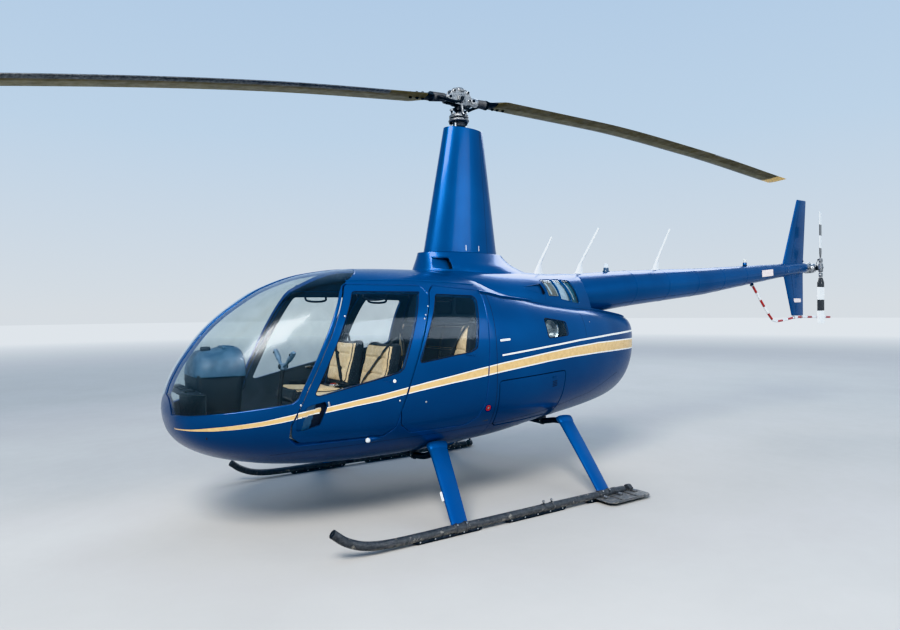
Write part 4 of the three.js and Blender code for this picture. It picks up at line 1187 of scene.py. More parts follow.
def vent_paint_and_shade(P):
    """The stripe runs on over the floor of the scoop; its after part is painted shade, a darker inner blue and then
    near black.
    """
    k = P[:, 0] + (P[:, 2] - 840) * 0.2
    out = np.where(k > 1728, B_, np.where(k > 1676, I_, S_))
    s = paint_of(P)
    return np.where((s > 0) & (k > 1632), s, out)


def lever(length=96.0, side=1):
    """A flush lever latch on the xy plane: oval dish, pivot and tapered handle."""
    p = Part()
    t = np.linspace(0, 2 * math.pi, 32, endpoint=False)
    e = lambda a, b: np.stack([np.cos(t) * a, np.sin(t) * b], 1)
    rings = [np.column_stack([e(58, 21), np.full(32, -1.0)]), np.column_stack([e(58, 21), np.full(32, 1.4)]), np.column_stack([e(55, 18.5), np.full(32, 2.0)]),
             np.column_stack([e(52, 16), np.full(32, 0.9)])]
    p.join(loft(rings, mat=0))
    prof = [[-46, -7.5], [-30, -10], [20, -8.5], [42, -6], [47, 0], [42, 6], [20, 8.5], [-30, 10], [-46, 7.5], [-52, 0]]
    p.join(slab(dense(rounded(prof, 5, 4), 6), (0, 0, 3.4), (1, 0, 0), (0, 1, 0), 7.0, 2.4, mat=1))
    p.join(lathe([(11, 0), (11, 9.6), (8.6, 11.4), (3.4, 11.8), (3.2, 10.4), (0.05, 10.4)], (-30, 0, 0), (0, 0, 1), 28, mat=1))
    p.verts = [v * 0.6 for v in p.verts]
    return p


def lock_barrel():
    return lathe([(12.5, -1), (12.5, 1.6), (10.4, 2.8), (7.6, 2.8), (7.4, 1.6), (2.2, 1.5), (2.0, 0.5), (0.05, 0.4)], (0, 0, 0), (0, 0, 1), 28, mat=1)


def door_panel(side, front):
    outline = FRONT_DOOR if front else REAR_DOOR
    window = FRONT_WINDOW if front else REAR_WINDOW
    outer = body.outline(outline, side, r=40 if front else 36, step=16)
    hole = body.outline(window, side, r=34, step=16)
    holes = [hole]
    vent = None
    if front:
        vent = body.outline(VENT, side, r=16, step=9)
        holes.append(vent)
    x0, x1 = min(p[0] for p in outline) - 20, max(p[0] for p in outline) + 20
    part = shell(body, outer, holes, stripe_lines(x0, x1, side, 20), step=30, thick=28, bevel=2.8, paint=paint_of, rim=B_, inner=T_)
    if vent is not None:
        # painted shade: the scoop's walls are near black, and its floor darkens aft
        part.join(recess(body, vent, vent_depth, step=9, mats=(B_, S_), paint=vent_paint_and_shade))
        part.join(gasket(body, vent, r=1.8, sink=0.6, mat=B_))
        part.join(shell(body, grown(vent, 7.0), (), (), step=26, thick=2.4, bevel=0.5, sink=26.4, rim=T_, inner=T_, paint=lambda P: np.full(len(P), T_)))
        q = slab(dense(rounded([[-7, -16], [7, -16], [7, 16], [-7, 16]], 6, 4), 4), (0, 0, -0.5), (1, 0, 0), (0, 1, 0), 5.0, 2.0, mat=M_)
        part.join(placed(body, q, 1579, 903, side, turn=10))
    part.join(gasket(body, grown(hole, 2.6), r=2.8, sink=0.9, mat=R_))
    # latch, lock, and the pull on the inside
    hx, hz = (1152, 1029) if front else (446, 1177)
    part.join(placed(body, lever(), hx, hz, side, turn=-9, lift=0.2), mat=None)
    lx, lz = (1096, 1023) if front else (392, 1172)
    part.join(placed(body, lock_barrel() if front else relabel(lock_barrel(), {W_: B_}), lx, lz, side, lift=0.2))
    if front:
        p, n = body.on(833, 853, side)
        part.join(heads([p], [n], r=8.5, h=4.0, mat=M_, segs=20))
    # inside: arm rest and pocket
    c, m = body.on(*((1180, 900) if front else (640, 930)), side)
    y = side
    rest = block((330 if front else 300, 30, 44), (0, 0, 0), r=13, segs=4, mat=10)
    part.join(rest.moved(at=c - m * 40))
    c, m = body.on(*((1320, 800) if front else (600, 800)), side)
    part.join(block((300, 20, 120), (0, 0, 0), r=9, segs=3, mat=T_).moved(at=c - m * 34))
    # handle lever inside
    c, m = body.on(hx, hz, side)
    part.join(block((92, 11, 15), (0, 0, 0), r=5, segs=3, mat=M_).moved(at=c - m * 38))
    part.join(lathe([(13, 0), (13, 12), (9, 14)], c - m * 26, -m, 24, mat=M_))
    return part


DOOR_MATS = MATS_SKIN + [RED, TRIM_DARK]
# the latch pieces use slot 0 for their dish and 1 for the lever, so they get their own numbers here
def relabel(part, table):
    part.faces = [(f, np.array([table.get(int(x), int(x)) for x in m]), c) for f, m, c in part.faces]
    return part


_lever, _lock = lever, lock_barrel
lever = lambda *a, **k: relabel(_lever(*a, **k), {0: B_, 1: B_})
lock_barrel = lambda: relabel(_lock(), {1: W_})

for front, kind in ((True, "front"), (False, "rear")):
    for side, name in ((1, "left"), (-1, "right")):
        node = f"{kind}_door_{name}"
        make(node + "_panel", door_panel(side, front), DOOR_MATS, body=node + "_body", nodes=(node,))
        win = body.outline(FRONT_WINDOW if front else REAR_WINDOW, side, r=34, step=16)
        pane = shell(body, grown(win, -0.8), (), (), step=32, thick=6.5, bevel=0.8, sink=1.5, rim=0, inner=0)
        make(node + "_glass", pane, [GLASS_SIDE], body=node + "_body", nodes=(node + "_pane",), angle=60)

# hinge lines outside: two small bolts with their plates at each hinge
for side, name in ((1, "left"), (-1, "right")):
    p = Part()
    for x, z, n in ((1438, 1482, 2), (1762, 905, 2), (772, 1547, 1), (806, 1483, 1), (820, 1455, 1), (1052, 880, 2)):
        q, m = body.on(x, z, side)
        p.join(heads([q], [m], r=8.0, h=4.2, mat=0, segs=18))
        p.join(lathe([(12.5, -0.6), (12.5, 1.0), (9.0, 1.5)], q, m, 22, mat=1))
    make("hinge_bolts_" + name, p, [BARE, BLUE])

# ---- lower cowling behind the cabin
def paint_aft(P):
    out = paint_of(P)
    return out


aft_holes = [body.outline(BAGGAGE_DOOR, 1, r=34, step=16, grow=7.0)]
for side in (1, -1):
    aft_holes.append(body.outline(COWL_WINDOW, side, r=26, step=12))
# round opening for the exhaust, looped where the skin stands 107 mm from the pipe's line
def exhaust_loop(r=107.0):
    a, d = arr([-1500, 0, 1130.0]), unit(arr([-700, 0, -56.0]))
    u, v, _ = basis(d)
    out = []
    for t in np.linspace(0, 2 * math.pi, 64, endpoint=False):
        base = a + (u * math.cos(t) + v * math.sin(t)) * r
        lo, hi = 0.0, 445.0
        for _ in range(40):
            m = (lo + hi) / 2
            if body_depth((base + d * m)[None])[0] > 0:
                lo = m
            else:
                hi = m
        out.append(base + d * lo)
    return arr(out)


loop = exhaust_loop()
EXH_X = loop[:, 0].max()


def aft_keep(P):
    a, d = arr([-1500, 0, 1130.0]), unit(arr([-700, 0, -56.0]))
    r = P - a
    off = r - np.outer(r @ d, d)
    return ~((np.linalg.norm(off, axis=1) < 107) & (P[:, 0] < -1500))


aft_lines = stripe_lines(-1974, 168, 1) + stripe_lines(-1974, 168, -1)
hole_line = []
for q in loop:
    s = float(body.s_of(q[0]))
    i = min(int(s), body.ns - 2)
    ring = body.P[i, :-1] * (1 - (s - i)) + body.P[i + 1, :-1] * (s - i)
    hole_line.append((s, int(np.argmin(((ring - q) ** 2).sum(1))) / body.nv))
aft = shell(body, strip_domain(169.4, None), aft_holes, aft_lines, step=32, thick=12, bevel=2.0, paint=paint_aft, rim=B_, inner=I_, keep=aft_keep)
fit = Part()
ring = [q for q in loop]
fit.join(sweep(loop, 6.5, 12, B_, close=True))
for side in (1, -1):
    rail = [[236, 1664], [120, 1650], [0, 1626], [-260, 1604], [-530, 1582], [-900, 1548], [-1243, 1518], [-1560, 1484], [-1790, 1452], [-1900, 1432]]
    uv = uv_line(body, rail, side, 26)
    s, v = body.sv(uv)
    fit.join(sweep(body.at(s, v) + body.normal(s, v) * 1.6, 9.0, 12, B_, squash=(1.0, 1.5), up=(0, 0, 1)))
    fit.join(groove(body, uv_line(body, [[x, z - 17] for x, z in rail], side, 26), 6.5, 0.3, S_, close=False))
    fit.join(row_of_heads(body, [[x, z - 34] for x, z in rail], side, pitch=120, r=4.6, h=1.6, mat=B_))
    # cowl joints: an upright one behind the door, one round the tail, and the belly seam
    fit.join(groove(body, uv_line(body, [[171, 1640], [171, 1290], [171, 1000], [171, 620]], side), 5.0, 0.2, S_, close=False))
    fit.join(groove(body, uv_line(body, [[-1000, 1545], [-985, 1410], [-975, 1270]], side), 3.6, 0.3, S_, close=False))
    fit.join(groove(body, uv_line(body, [[165, 606], [-400, 634], [-640, 668], [-1100, 742], [-1560, 900]], side), 3.4, 0.3, S_, close=False))
    fit.join(row_of_heads(body, [[165, 592], [-640, 652], [-1100, 724]], side, pitch=52, r=3.0, h=0.9, mat=B_))
    fit.join(row_of_heads(body, [[120, 1600], [140, 1300], [145, 1010]], side, pitch=92, r=4.2, h=1.4, mat=B_))
    fit.join(row_of_heads(body, [[-1030, 1540], [-1012, 1410], [-1003, 1275]], side, pitch=70, r=4.0, h=1.4, mat=B_))
    win = body.outline(COWL_WINDOW, side, r=26, step=12)
    fit.join(gasket(body, grown(win, 4.0), r=3.6, sink=1.0, mat=R_))
    # small pale step plate
    plate = [[-52, -9], [52, -9], [56, 0], [52, 9], [-52, 9], [-56, 0]]
    q = slab(dense(rounded(plate, 6, 4), 6), (0, 0, -0.5), (1, 0, 0), (0, 1, 0), 4.5, 1.6, mat=9)
    fit.join(placed(body, q, 76, 1276, side, turn=4))
    # round drain and vent stubs low on the side
    p, n = body.on(-1080, 1395, side)
    fit.join(heads([p], [n], r=5.5, h=2.4, mat=M_, segs=18))
make("aft_shell", aft.join(fit), MATS_SKIN + [WHITE], nodes=("aft_fuselage",))
for side, name in ((1, "left"), (-1, "right")):
    win = body.outline(COWL_WINDOW, side, r=26, step=12)
    pane = shell(body, grown(win, 1.2), (), (), step=30, thick=3.0, bevel=0.6, sink=2.6, rim=0, inner=0)
    make("cowl_pane_" + name, pane, [GLASS], angle=60)

# ---- baggage door with its latch and vents
bag = shell(body, body.outline(BAGGAGE_DOOR, 1, r=30, step=16), (), stripe_lines(-660, 160, 1, 20), step=30, thick=12, bevel=2.4, paint=paint_of, rim=B_, inner=I_)
bag.join(placed(body, lever(), -506, 937, 1, turn=-6))
for k in range(4):
    q = slab(dense(rounded([[-30, -3.2], [30, -3.2], [30, 3.2], [-30, 3.2]], 3, 3), 5), (0, 0, -0.4), (1, 0, 0), (0, 1, 0), 2.4, 1.0, mat=S_)
    bag.join(placed(body, q, -509 - k * 1.5, 905 - k * 14, 1, turn=4))
inner = shell(body, body.outline([[96, 906], [88, 640], [-560, 650], [-590, 940]], 1, r=30, step=24), (), (), step=40, thick=6, bevel=2, sink=13.0, rim=T_, inner=T_, paint=lambda P: np.full(len(P), T_))
bag.join(inner)
make("baggage_door_panel", bag, MATS_SKIN, body="baggage_door_body", nodes=("baggage_door",))

# ---- posts between the doors, inside the skin
POST = [[740, 1664], [734, 1745], [654, 1745], [660, 1664], [946, 880], [1020, 880]]
posts = Part()
for side in (1, -1):
    posts.join(shell(body, body.outline([[738, 1712], [738, 1664], [1018, 882], [948, 882], [662, 1664], [656, 1712]], side, r=6, step=20), (), (), step=40, thick=22, bevel=5,
                     sink=37.0, rim=0, inner=1))
    # rubber seal that both doors close on
    for a, b in (((752, 1640), (1012, 905)), ((690, 1640), (958, 905))):
        uv = uv_line(body, [a, b], side, 30)
        s, v = body.sv(uv)
        posts.join(sweep(body.at(s, v) - body.normal(s, v) * 35.5, 4.0, 8, 2))
make("door_posts", posts, [BLUE, TRIM, RUBBER])

# ---- upper cowling: skin behind the roof, three slanting panes a side, an intake before them
UPPER = [
    [620, 1500, 1640, 1790, 330, 2.2, 3],
    [380, 1480, 1620, 1862, 480, 2.3, 3],
    [50, 1450, 1600, 1876, 505, 2.3, 3],
    [-450, 1400, 1570, 1866, 470, 2.4, 3],
    [-900, 1380, 1560, 1853, 405, 2.6, 3],
    [-1200, 1380, 1560, 1860, 345, 2.8, 3],
    [-1320, 1380, 1565, 1860, 320, 2.8, 3],
]


def aft_x(z):
    """Station of the upper cowling's rear edge at a height."""
    return np.interp(z, [1300, 1490, 1700, 2000], [-1290, -1285, -1186, -1190])


upper = body_like(UPPER, n=240, half=96, ends=(False, False))


PANES = [[[-594, 1779], [-738, 1785], [-780, 1630], [-624, 1634]], [[-752, 1786], [-862, 1788], [-944, 1584], [-796, 1606]], [[-876, 1789], [-986, 1780], [-1072, 1568], [-960, 1578]]]
pane_holes = [(side, upper.outline(p, side, r=11, step=10)) for side in (1, -1) for p in PANES]
RAMP = [[-300, 1706], [-560, 1742], [-590, 1655], [-560, 1640]]


def ramp_depth(P):
    return np.clip((-300 - P[:, 0]) / 290, 0, 1) ** 1.2 * 20.0


ramps = [(side, upper.outline(RAMP, side, r=14, step=10)) for side in (1, -1)]
dom = upper.lv / 2
edge = []
for v in np.linspace(0, 1, 161):
    v = min(v, 0.999999)
    s = float(upper.s_of(-1240))
    for _ in range(12):
        s = float(upper.s_of(aft_x(upper.at(s, v)[2])))
    edge.append((s, v))
edge = arr(edge)
edge_uv = upper.uv(edge)
edge_uv[-1, 1] = dom
full = dense(np.vstack([[[0.5, dom], [0.5, -dom]], edge_uv]), 26)
up = shell(upper, full, [h for _, h in pane_holes] + [r for _, r in ramps], (), step=26, thick=13, bevel=2.0, paint=lambda P: np.zeros(len(P), int),
           rim=B_, inner=I_, keep=lambda P: body_depth(P) < 9.0)
for side, r in ramps:
    # painted shade: the ramp's walls and its deep end aft of x -562 are near black
    up.join(recess(upper, r, ramp_depth, step=10, mats=(B_, S_), paint=lambda P: np.where(P[:, 0] < -562, S_, B_)))
    up.join(gasket(upper, r, r=1.8, sink=0.6, mat=B_))
for side, h in pane_holes:
    up.join(gasket(upper, grown(h, 3.2), r=3.4, sink=0.9, mat=B_))
for side in (1, -1):
    up.join(groove(upper, uv_line(upper, [[-578, 1800], [-590, 1700], [-578, 1600]], side, 16), 3.0, 0.3, S_, close=False))
    up.join(row_of_heads(upper, [[-1166, 1838], [-1166, 1705], [-1248, 1530]], side, pitch=70, r=4.0, h=1.4, mat=B_))
    up.join(row_of_heads(upper, [[-620, 1808], [-1000, 1808]], side, pitch=96, r=3.4, h=1.1, mat=B_))
# back plate with the lip that the tail cone passes
ring = upper.at(edge[:-1, 0], edge[:-1, 1])
c = arr([0, 0, 1650.0])
inner_ring = ring + arr([1.0, 0, 0])
d = unit((inner_ring - c) * arr([0, 1, 1]))
small = c + d * 222.0
lim = np.linalg.norm((inner_ring - c)[:, 1:], axis=1) < 226
small[lim] = inner_ring[lim]
small[:, 0] = aft_x(small[:, 2]) + 1.0
small[lim, 0] -= 1.0
face = loft([inner_ring + d * -1.0, small, small + arr([10.0, 0, 0]), inner_ring + arr([10.0, 0, 0]) - d * 2.0, inner_ring - d * 1.0], (False, False), B_)
keepf = []
verts = np.concatenate(face.verts)
for f, m, cc in face.faces:
    mid = verts[f].mean(1)
    ok = body_depth(mid) < 6
    keepf.append((f[ok], m[ok], None))
face.faces = keepf
up.join(face)
make("upper_cowl", up, MATS_SKIN, nodes=("upper_cowling",))
panes = Part()
for side, h in pane_holes:
    panes.join(shell(upper, grown(h, 1.6), (), (), step=26, thick=3.2, bevel=0.6, sink=3.0, rim=0, inner=0))
for k, (side, h) in enumerate(pane_holes):
    m = k % 3 + 1
    panes.join(shell(upper, grown(h, 5.0), (), (), step=26, thick=2.2, bevel=0.4, sink=27.0, rim=m, inner=m, paint=lambda P, m=m: np.full(len(P), m)))
    if m == 1:
        s, v = upper.sv(uv_line(upper, [[-660, 1764], [-672, 1700], [-690, 1650]], side, 12))
        panes.join(sweep(upper.at(s, v) - upper.normal(s, v) * 19.0, 7.0, 14, 2))
    if m == 3:
        s, v = upper.sv(uv_line(upper, [[-924, 1766], [-960, 1690], [-1004, 1604]], side, 12))
        panes.join(sweep(upper.at(s, v) - upper.normal(s, v) * 19.0, 5.0, 14, 2))
make("cowl_panes_upper", panes, [GLASS, BAFFLE_A, BAFFLE_B, BAFFLE_C], angle=60)

# ---- mast base fairing and mast fairing
BASE = [[1700, 520, -1000, 340], [1800, 502, -880, 322], [1880, 476, -630, 290], [1930, 460, -520, 250], [1970, 448, -466, 222], [2008, 440, -432, 196]]
MAST = [[2012, 386, -382, 150], [2300, 330, -342, 138], [2700, 252, -288, 118], [3110, 172, -232, 96]]


def stand(rows, n, nose, around=200):
    r = arr(rows)
    q = mono(r[:, 0], r)(np.linspace(r[0, 0], r[-1, 0], n))
    P = np.zeros((n, around + 1, 3))
    for i, (z, xf, xr, w) in enumerate(q):
        t = np.linspace(0, 2 * math.pi, 1601)
        c, s = np.cos(t), np.sin(t)
        xc = xf - (xf - xr) * nose
        x = np.where(c > 0, xc + (xf - xc) * c, xc + (xc - xr) * c)
        y = w * np.where(c > 0, s, np.sign(s) * np.abs(s) ** 1.25)
        a = np.concatenate([[0], np.cumsum(np.hypot(np.diff(x), np.diff(y)))])
        g = np.linspace(0, a[-1], around + 1)
        P[i] = np.stack([np.interp(g, a, x), np.interp(g, a, y), np.full(around + 1, z)], 1)
        P[i, -1] = P[i, 0]
    return Surf(P, "z")


_urows = mono(arr(UPPER)[::-1, 0], arr(UPPER)[::-1])


def upper_depth(P):
    r = _urows(np.clip(P[:, 0], -1320, 620))
    e = np.where(P[:, 2] > r[:, 2], r[:, 5], r[:, 6])
    h = np.where(P[:, 2] > r[:, 2], r[:, 3] - r[:, 2], r[:, 2] - r[:, 1])
    f = (np.abs(P[:, 1] / r[:, 4]) ** e + np.abs((P[:, 2] - r[:, 2]) / h) ** e) ** (1 / e)
    d = (1 - f) * np.hypot(P[:, 1], P[:, 2] - r[:, 2]) / np.maximum(f, 1e-6)
    return np.where((P[:, 0] > 620) | (P[:, 0] < aft_x(P[:, 2])), -50.0, d)


base = stand(BASE, 90, 0.42)
mast = stand(MAST, 120, 0.4)


def z_domain(surf, z0, z1, step=24):
    a, b = (float(np.interp(surf.s_of(z), np.arange(surf.ns), surf.u)) for z in (z0, z1))
    h = surf.lv / 2
    return dense([[a, -h], [b, -h], [b, h], [a, h]], step)


INLET = [[391, 1957], [268, 1957], [264, 1856], [300, 1854], [410, 1868]]


def inlet_depth(P):
    return np.clip((408 - P[:, 0]) / 140, 0, 1) ** 0.9 * 46.0


inlets = [base.outline(INLET, side, r=14, step=9) for side in (1, -1)]
bf = shell(base, z_domain(base, 1702, 2008), inlets, (), step=24, thick=11, bevel=2.2, paint=lambda P: np.zeros(len(P), int), rim=B_, inner=I_,
           keep=lambda P: (body_depth(P) < 9) & (upper_depth(P) < 9))
for r, side in zip(inlets, (1, -1)):
    # painted shade: the inlet's walls and its deep end aft of x 284 are near black
    bf.join(recess(base, r, inlet_depth, step=9, mats=(B_, S_), paint=lambda P: np.where(P[:, 0] < 284, S_, B_)))
    bf.join(gasket(base, r, r=2.4, sink=0.7, mat=B_))
    q = base.find(dense([[396, 1962], [264, 1962]], 12, close=False), side)
    bf.join(sweep(base.at(q[:, 0], q[:, 1]) + base.normal(q[:, 0], q[:, 1]) * 1.5, 5.0, 10, B_))
    bf.join(row_of_heads(base, [[400, 1990], [0, 1990], [-390, 1990]], side, pitch=110, r=3.6, h=1.2, mat=B_))
# deck over the base fairing, under the mast fairing
top = base.at(np.full(160, base.ns - 1.0001), np.linspace(0, 1, 160, endpoint=False))
deck = slab(top[:, :2] * 0.985, (0, 0, 2001), (1, 0, 0), (0, 1, 0), 6.5, 1.0, mat=B_)
bf.join(deck)
make("mast_base", bf, MATS_SKIN, nodes=("mast_base_fairing",))

mf = shell(mast, z_domain(mast, 2012.5, 3109.5, 40), (), (), step=40, thick=11, bevel=3.0, paint=lambda P: np.zeros(len(P), int), rim=B_, inner=I_)
low = mast.at(np.zeros(160), np.linspace(0, 1, 160, endpoint=False))
hi = mast.at(np.full(160, mast.ns - 1.0001), np.linspace(0, 1, 160, endpoint=False))
# top cap with a round boot hole for the mast
t = np.linspace(0, 2 * math.pi, 160, endpoint=False)
ang = np.arctan2(hi[:, 1], hi[:, 0])
mid = hi * arr([1, 1, 0])
rad = np.linalg.norm(mid, axis=1)
h = lambda k, z: np.column_stack([mid[:, 0] / rad * (rad - k), mid[:, 1] / rad * (rad - k), np.full(160, z)])
hole = lambda r, z: np.column_stack([mid[:, 0] / rad * r, mid[:, 1] / rad * r, np.full(160, z)])
mf.join(loft([h(2, 3107), h(6, 3109.4), hole(74, 3109.4), hole(68, 3107), hole(66, 3100), hole(72, 3098), h(12, 3098)], (False, False), B_))
mf.join(sweep([[math.cos(a) * 70, math.sin(a) * 70, 3107] for a in np.linspace(0, 2 * math.pi, 64, endpoint=False)], 3.0, 10, R_, close=True))
for side in (1, -1):
    mf.join(row_of_heads(mast, [[380, 2034], [0, 2034], [-360, 2034]], side, pitch=120, r=3.6, h=1.2, mat=B_))
    mf.join(row_of_heads(mast, [[-170, 2100], [-150, 2600], [-128, 3060]], side, pitch=160, r=3.6, h=1.2, mat=B_))
    mf.join(groove(mast, mast.uv(mast.find(dense([[-196, 2014], [-150, 3108]], 30, close=False), side)), 3.0, 0.25, S_, close=False))
    for x in (58, -86):
        q = slab(dense(rounded([[-22, -3.2], [22, -3.2], [22, 3.2], [-22, 3.2]], 3, 3), 5), (0, 0, -0.4), (0, 0, 1), (1, 0, 0), 1.8, 0.6, mat=9)
        p, n = mast.on(x, 2052, side)
        r = frame_rot((0, 0, 1), n)
        mf.join(slab(dense(rounded([[-24, -3.0], [24, -3.0], [24, 3.0], [-24, 3.0]], 3, 3), 5), (0, 0, -0.4), (1, 0, 0), (0, 1, 0), 1.8, 0.6, mat=9).moved(rot=r, at=p))
make("mast_cover", mf, MATS_SKIN + [WHITE], nodes=("mast_fairing",))


# ------------------------------------------------------------------ tail
def foil_half(u):
    return 2.969 * np.sqrt(u) - 1.26 * u - 3.516 * u**2 + 2.843 * u**3 - 1.036 * u**4


def foil_ring(lead, chord, thick, n=26, blunt=0.0):
    u = (1 - np.cos(np.linspace(0, math.pi, n))) / 2
    h = foil_half(u) * 0.5 + blunt * u
    top = arr(lead) + u[:, None] * arr(chord) + h[:, None] * arr(thick)
    low = arr(lead) + u[::-1][1:-1, None] * arr(chord) - h[::-1][1:-1, None] * arr(thick)
    return np.vstack([top, low])


def wing(a, b, rings=24, cap=14.0, mat=0, n=26, blunt=0.012):
    """A tapered surface between two stations (lead, chord, thickness), with a softly rounded tip at b."""
    la, ca, ta = (arr(x) for x in a)
    lb, cb, tb = (arr(x) for x in b)
    span = np.linalg.norm(lb - la)
    ks = list(np.linspace(0, 1 - cap / span, rings)) + [1 - cap / span * (1 - math.sin(q)) for q in np.linspace(0.25, 1.45, 6)]
    out = []
    for k in ks:
        over = max(0.0, (k - (1 - cap / span)) / (cap / span))
        f = math.sqrt(max(1 - over**2, 0.02))
        c = ca + (cb - ca) * k
        shrink = (1 - f) * cap * 0.8 / np.linalg.norm(c)
        out.append(foil_ring(la + (lb - la) * k + c * shrink, c * (1 - 2 * shrink), (ta + (tb - ta) * k) * f, n, blunt))
    return loft(out, mat=mat)


CONE = [[-1150, 1640, 212], [-1440, 1664, 208], [-2100, 1727, 190], [-3420, 1822, 156], [-5180, 1999, 86]]


def cone_at(x):
    c = arr(CONE)[::-1]
    return np.interp(x, c[:, 0], c[:, 1]), np.interp(x, c[:, 0], c[:, 2])


nx, na = 214, 96
xs = np.linspace(-1150, -5180, nx)
P = np.zeros((nx, na + 1, 3))
for i, x in enumerate(xs):
    z, r = cone_at(x)
    t = -math.pi / 2 + np.linspace(0, 2 * math.pi, na + 1)
    P[i] = np.stack([np.full(na + 1, x), r * np.cos(t), z + r * np.sin(t)], 1)
    P[i, -1] = P[i, 0]
cone = Surf(P)
hc = cone.lv / 2
cone_dom = dense([[0.0, -hc], [cone.u[-1], -hc], [cone.u[-1], hc], [0.0, hc]], 40)
tc = shell(cone, cone_dom, (), (), step=40, thick=7, bevel=1.5, paint=lambda P: np.zeros(len(P), int), rim=B_, inner=I_,
           keep=lambda P: (upper_depth(P) < 9) & (body_depth(P) < 9))


def ring_of_heads(x, n, r=2.6, h=0.8, mat=B_):
    z, rad = cone_at(x)
    t = np.arange(n) / n * 2 * math.pi
    nrm = np.stack([np.zeros(n), np.cos(t), np.sin(t)], 1)
    return heads(nrm * rad + arr([x, 0, z]), nrm, r=r, h=h, mat=mat, segs=8)


def ring_band(x, w, lift, mat):
    """A skin joint: the after sheet laps the fore one by its own thickness."""
    out = []
    for dx, k in ((0, -1.0), (0, lift), (-w * 0.06, lift * 1.25), (-w * 0.94, lift * 1.25), (-w, lift), (-w, -1.0)):
        z, r = cone_at(x + dx)
        t = np.linspace(0, 2 * math.pi, 96, endpoint=False)
        out.append(np.stack([np.full(96, x + dx), (r + k) * np.cos(t), z + (r + k) * np.sin(t)], 1))
    return loft(out, (False, False), mat)


for x in (-2090, -2640, -3180, -3700, -4200, -4690, -5120):
    tc.join(ring_band(x, 26, 0.7, B_))
    n = max(24, int(cone_at(x)[1] * 2 * math.pi / 34))
    tc.join(ring_of_heads(x - 7, n))
    tc.join(ring_of_heads(x - 19, n))
for x in (-1330, -1530, -1800, -2360, -2910, -3440, -3950, -4450, -4910):
    tc.join(ring_of_heads(x, max(18, int(cone_at(x)[1] * 2 * math.pi / 46)), r=2.3, h=0.6))
for side in (1, -1):
    pts = [[x, cone_at(x)[0] - cone_at(x)[1] * 0.72] for x in np.linspace(-1340, -5160, 62)]
    tc.join(groove(cone, cone.uv(cone.find(pts, side)), 2.4, 0.3, S_, close=False))
    tc.join(row_of_heads(cone, pts, side, pitch=62, r=2.4, h=0.6, mat=B_))
# blank pale plates, one near the tail on each side
for side in (1, -1):
    pl = slab(dense(rounded([[-134, -42], [134, -42], [134, 42], [-134, 42]], 5, 4), 8), (0, 0, -0.6), (1, 0, 0), (0, 1, 0), 2.0, 0.6, mat=9)
    tc.join(placed(cone, pl, -4668, 1946, side, turn=5 * side))
# small aerial with its foot on top, and the strobe on its pedestal on the cowling
tc.join(lathe([(30, -3), (30, 5), (25, 9), (22, 11)], (-4335, 0, cone_at(-4335)[0] + cone_at(-4335)[1] - 3), (0, 0, 1), 32, mat=S_))
z0 = cone_at(-4335)[0] + cone_at(-4335)[1]
tc.join(lathe([(24, 0), (24, 30), (21, 34)], (-4335, 0, z0 + 8), (0, 0, 1), 32, mat=B_))
tc.join(lathe([(20, 30), (20, 62), (18, 71), (12, 78), (5, 80)], (-4335, 0, z0 + 8), (0, 0, 1), 32, mat=10))
make("tail_cone_skin", tc, MATS_SKIN + [PLACARD, TANK], nodes=("tail_cone",))

# ---- fins, with the casting that carries them
CASTING = [[-5180.5, 1999, 87], [-5510, 2032, 73], [-5720, 2046, 66]]
fin = Part()
cas = []
for x in np.linspace(-5181, -5720, 26):
    c = arr(CASTING)[::-1]
    z, r = np.interp(x, c[:, 0], c[:, 1]), np.interp(x, c[:, 0], c[:, 2])
    t = np.linspace(0, 2 * math.pi, 72, endpoint=False)
    cas.append(np.stack([np.full(72, x), r * np.cos(t), z + r * np.sin(t)], 1))
t = np.linspace(0, 2 * math.pi, 72, endpoint=False)
end = lambda r, x, z: np.stack([np.full(72, x), r * np.cos(t), z + r * np.sin(t)], 1)
cas = [end(80, -5181, 1999)] + cas + [end(62, -5724, 2046), end(40, -5724, 2046)]
fin.join(loft(cas, mat=B_))
for x, r, n in ((-5196, 87.5, 22), (-5500, 74, 18), (-5700, 67.6, 16)):
    z = np.interp(x, [-5720, -5181], [2046, 1999])
    tt = np.arange(n) / n * 2 * math.pi
    nrm = np.stack([np.zeros(n), np.cos(tt), np.sin(tt)], 1)
    rr = np.interp(x, [-5720, -5510, -5181], [66, 73, 87])
    fin.join(heads(nrm * rr + arr([x, 0, z]), nrm, r=4.2, h=1.8, mat=M_, segs=12))
UP_A, UP_B = ([-5190, 0, 2060], [-522, 0, 0], [0, 34, 0]), ([-5562, 0, 2973], [-233, 0, 0], [0, 23.8, 0])
LO_A, LO_B = ([-5200, 0, 2005], [-512, 0, 0], [0, 34, 0]), ([-5421, 0, 1394], [-294, 0, 0], [0, 23.8, 0])
fin.join(wing(UP_A, UP_B, 30, 16))
fin.join(wing(LO_A, LO_B, 26, 14))


def on_fin(a, b, k, u, side):
    la, ca, ta = (arr(x) for x in a)
    lb, cb, tb = (arr(x) for x in b)
    l, c, tk = la + (lb - la) * k, ca + (cb - ca) * k, ta + (tb - ta) * k
    h = float(foil_half(np.array([u]))[0]) * 0.5 + 0.012 * u
    return l + c * u + tk * h * side


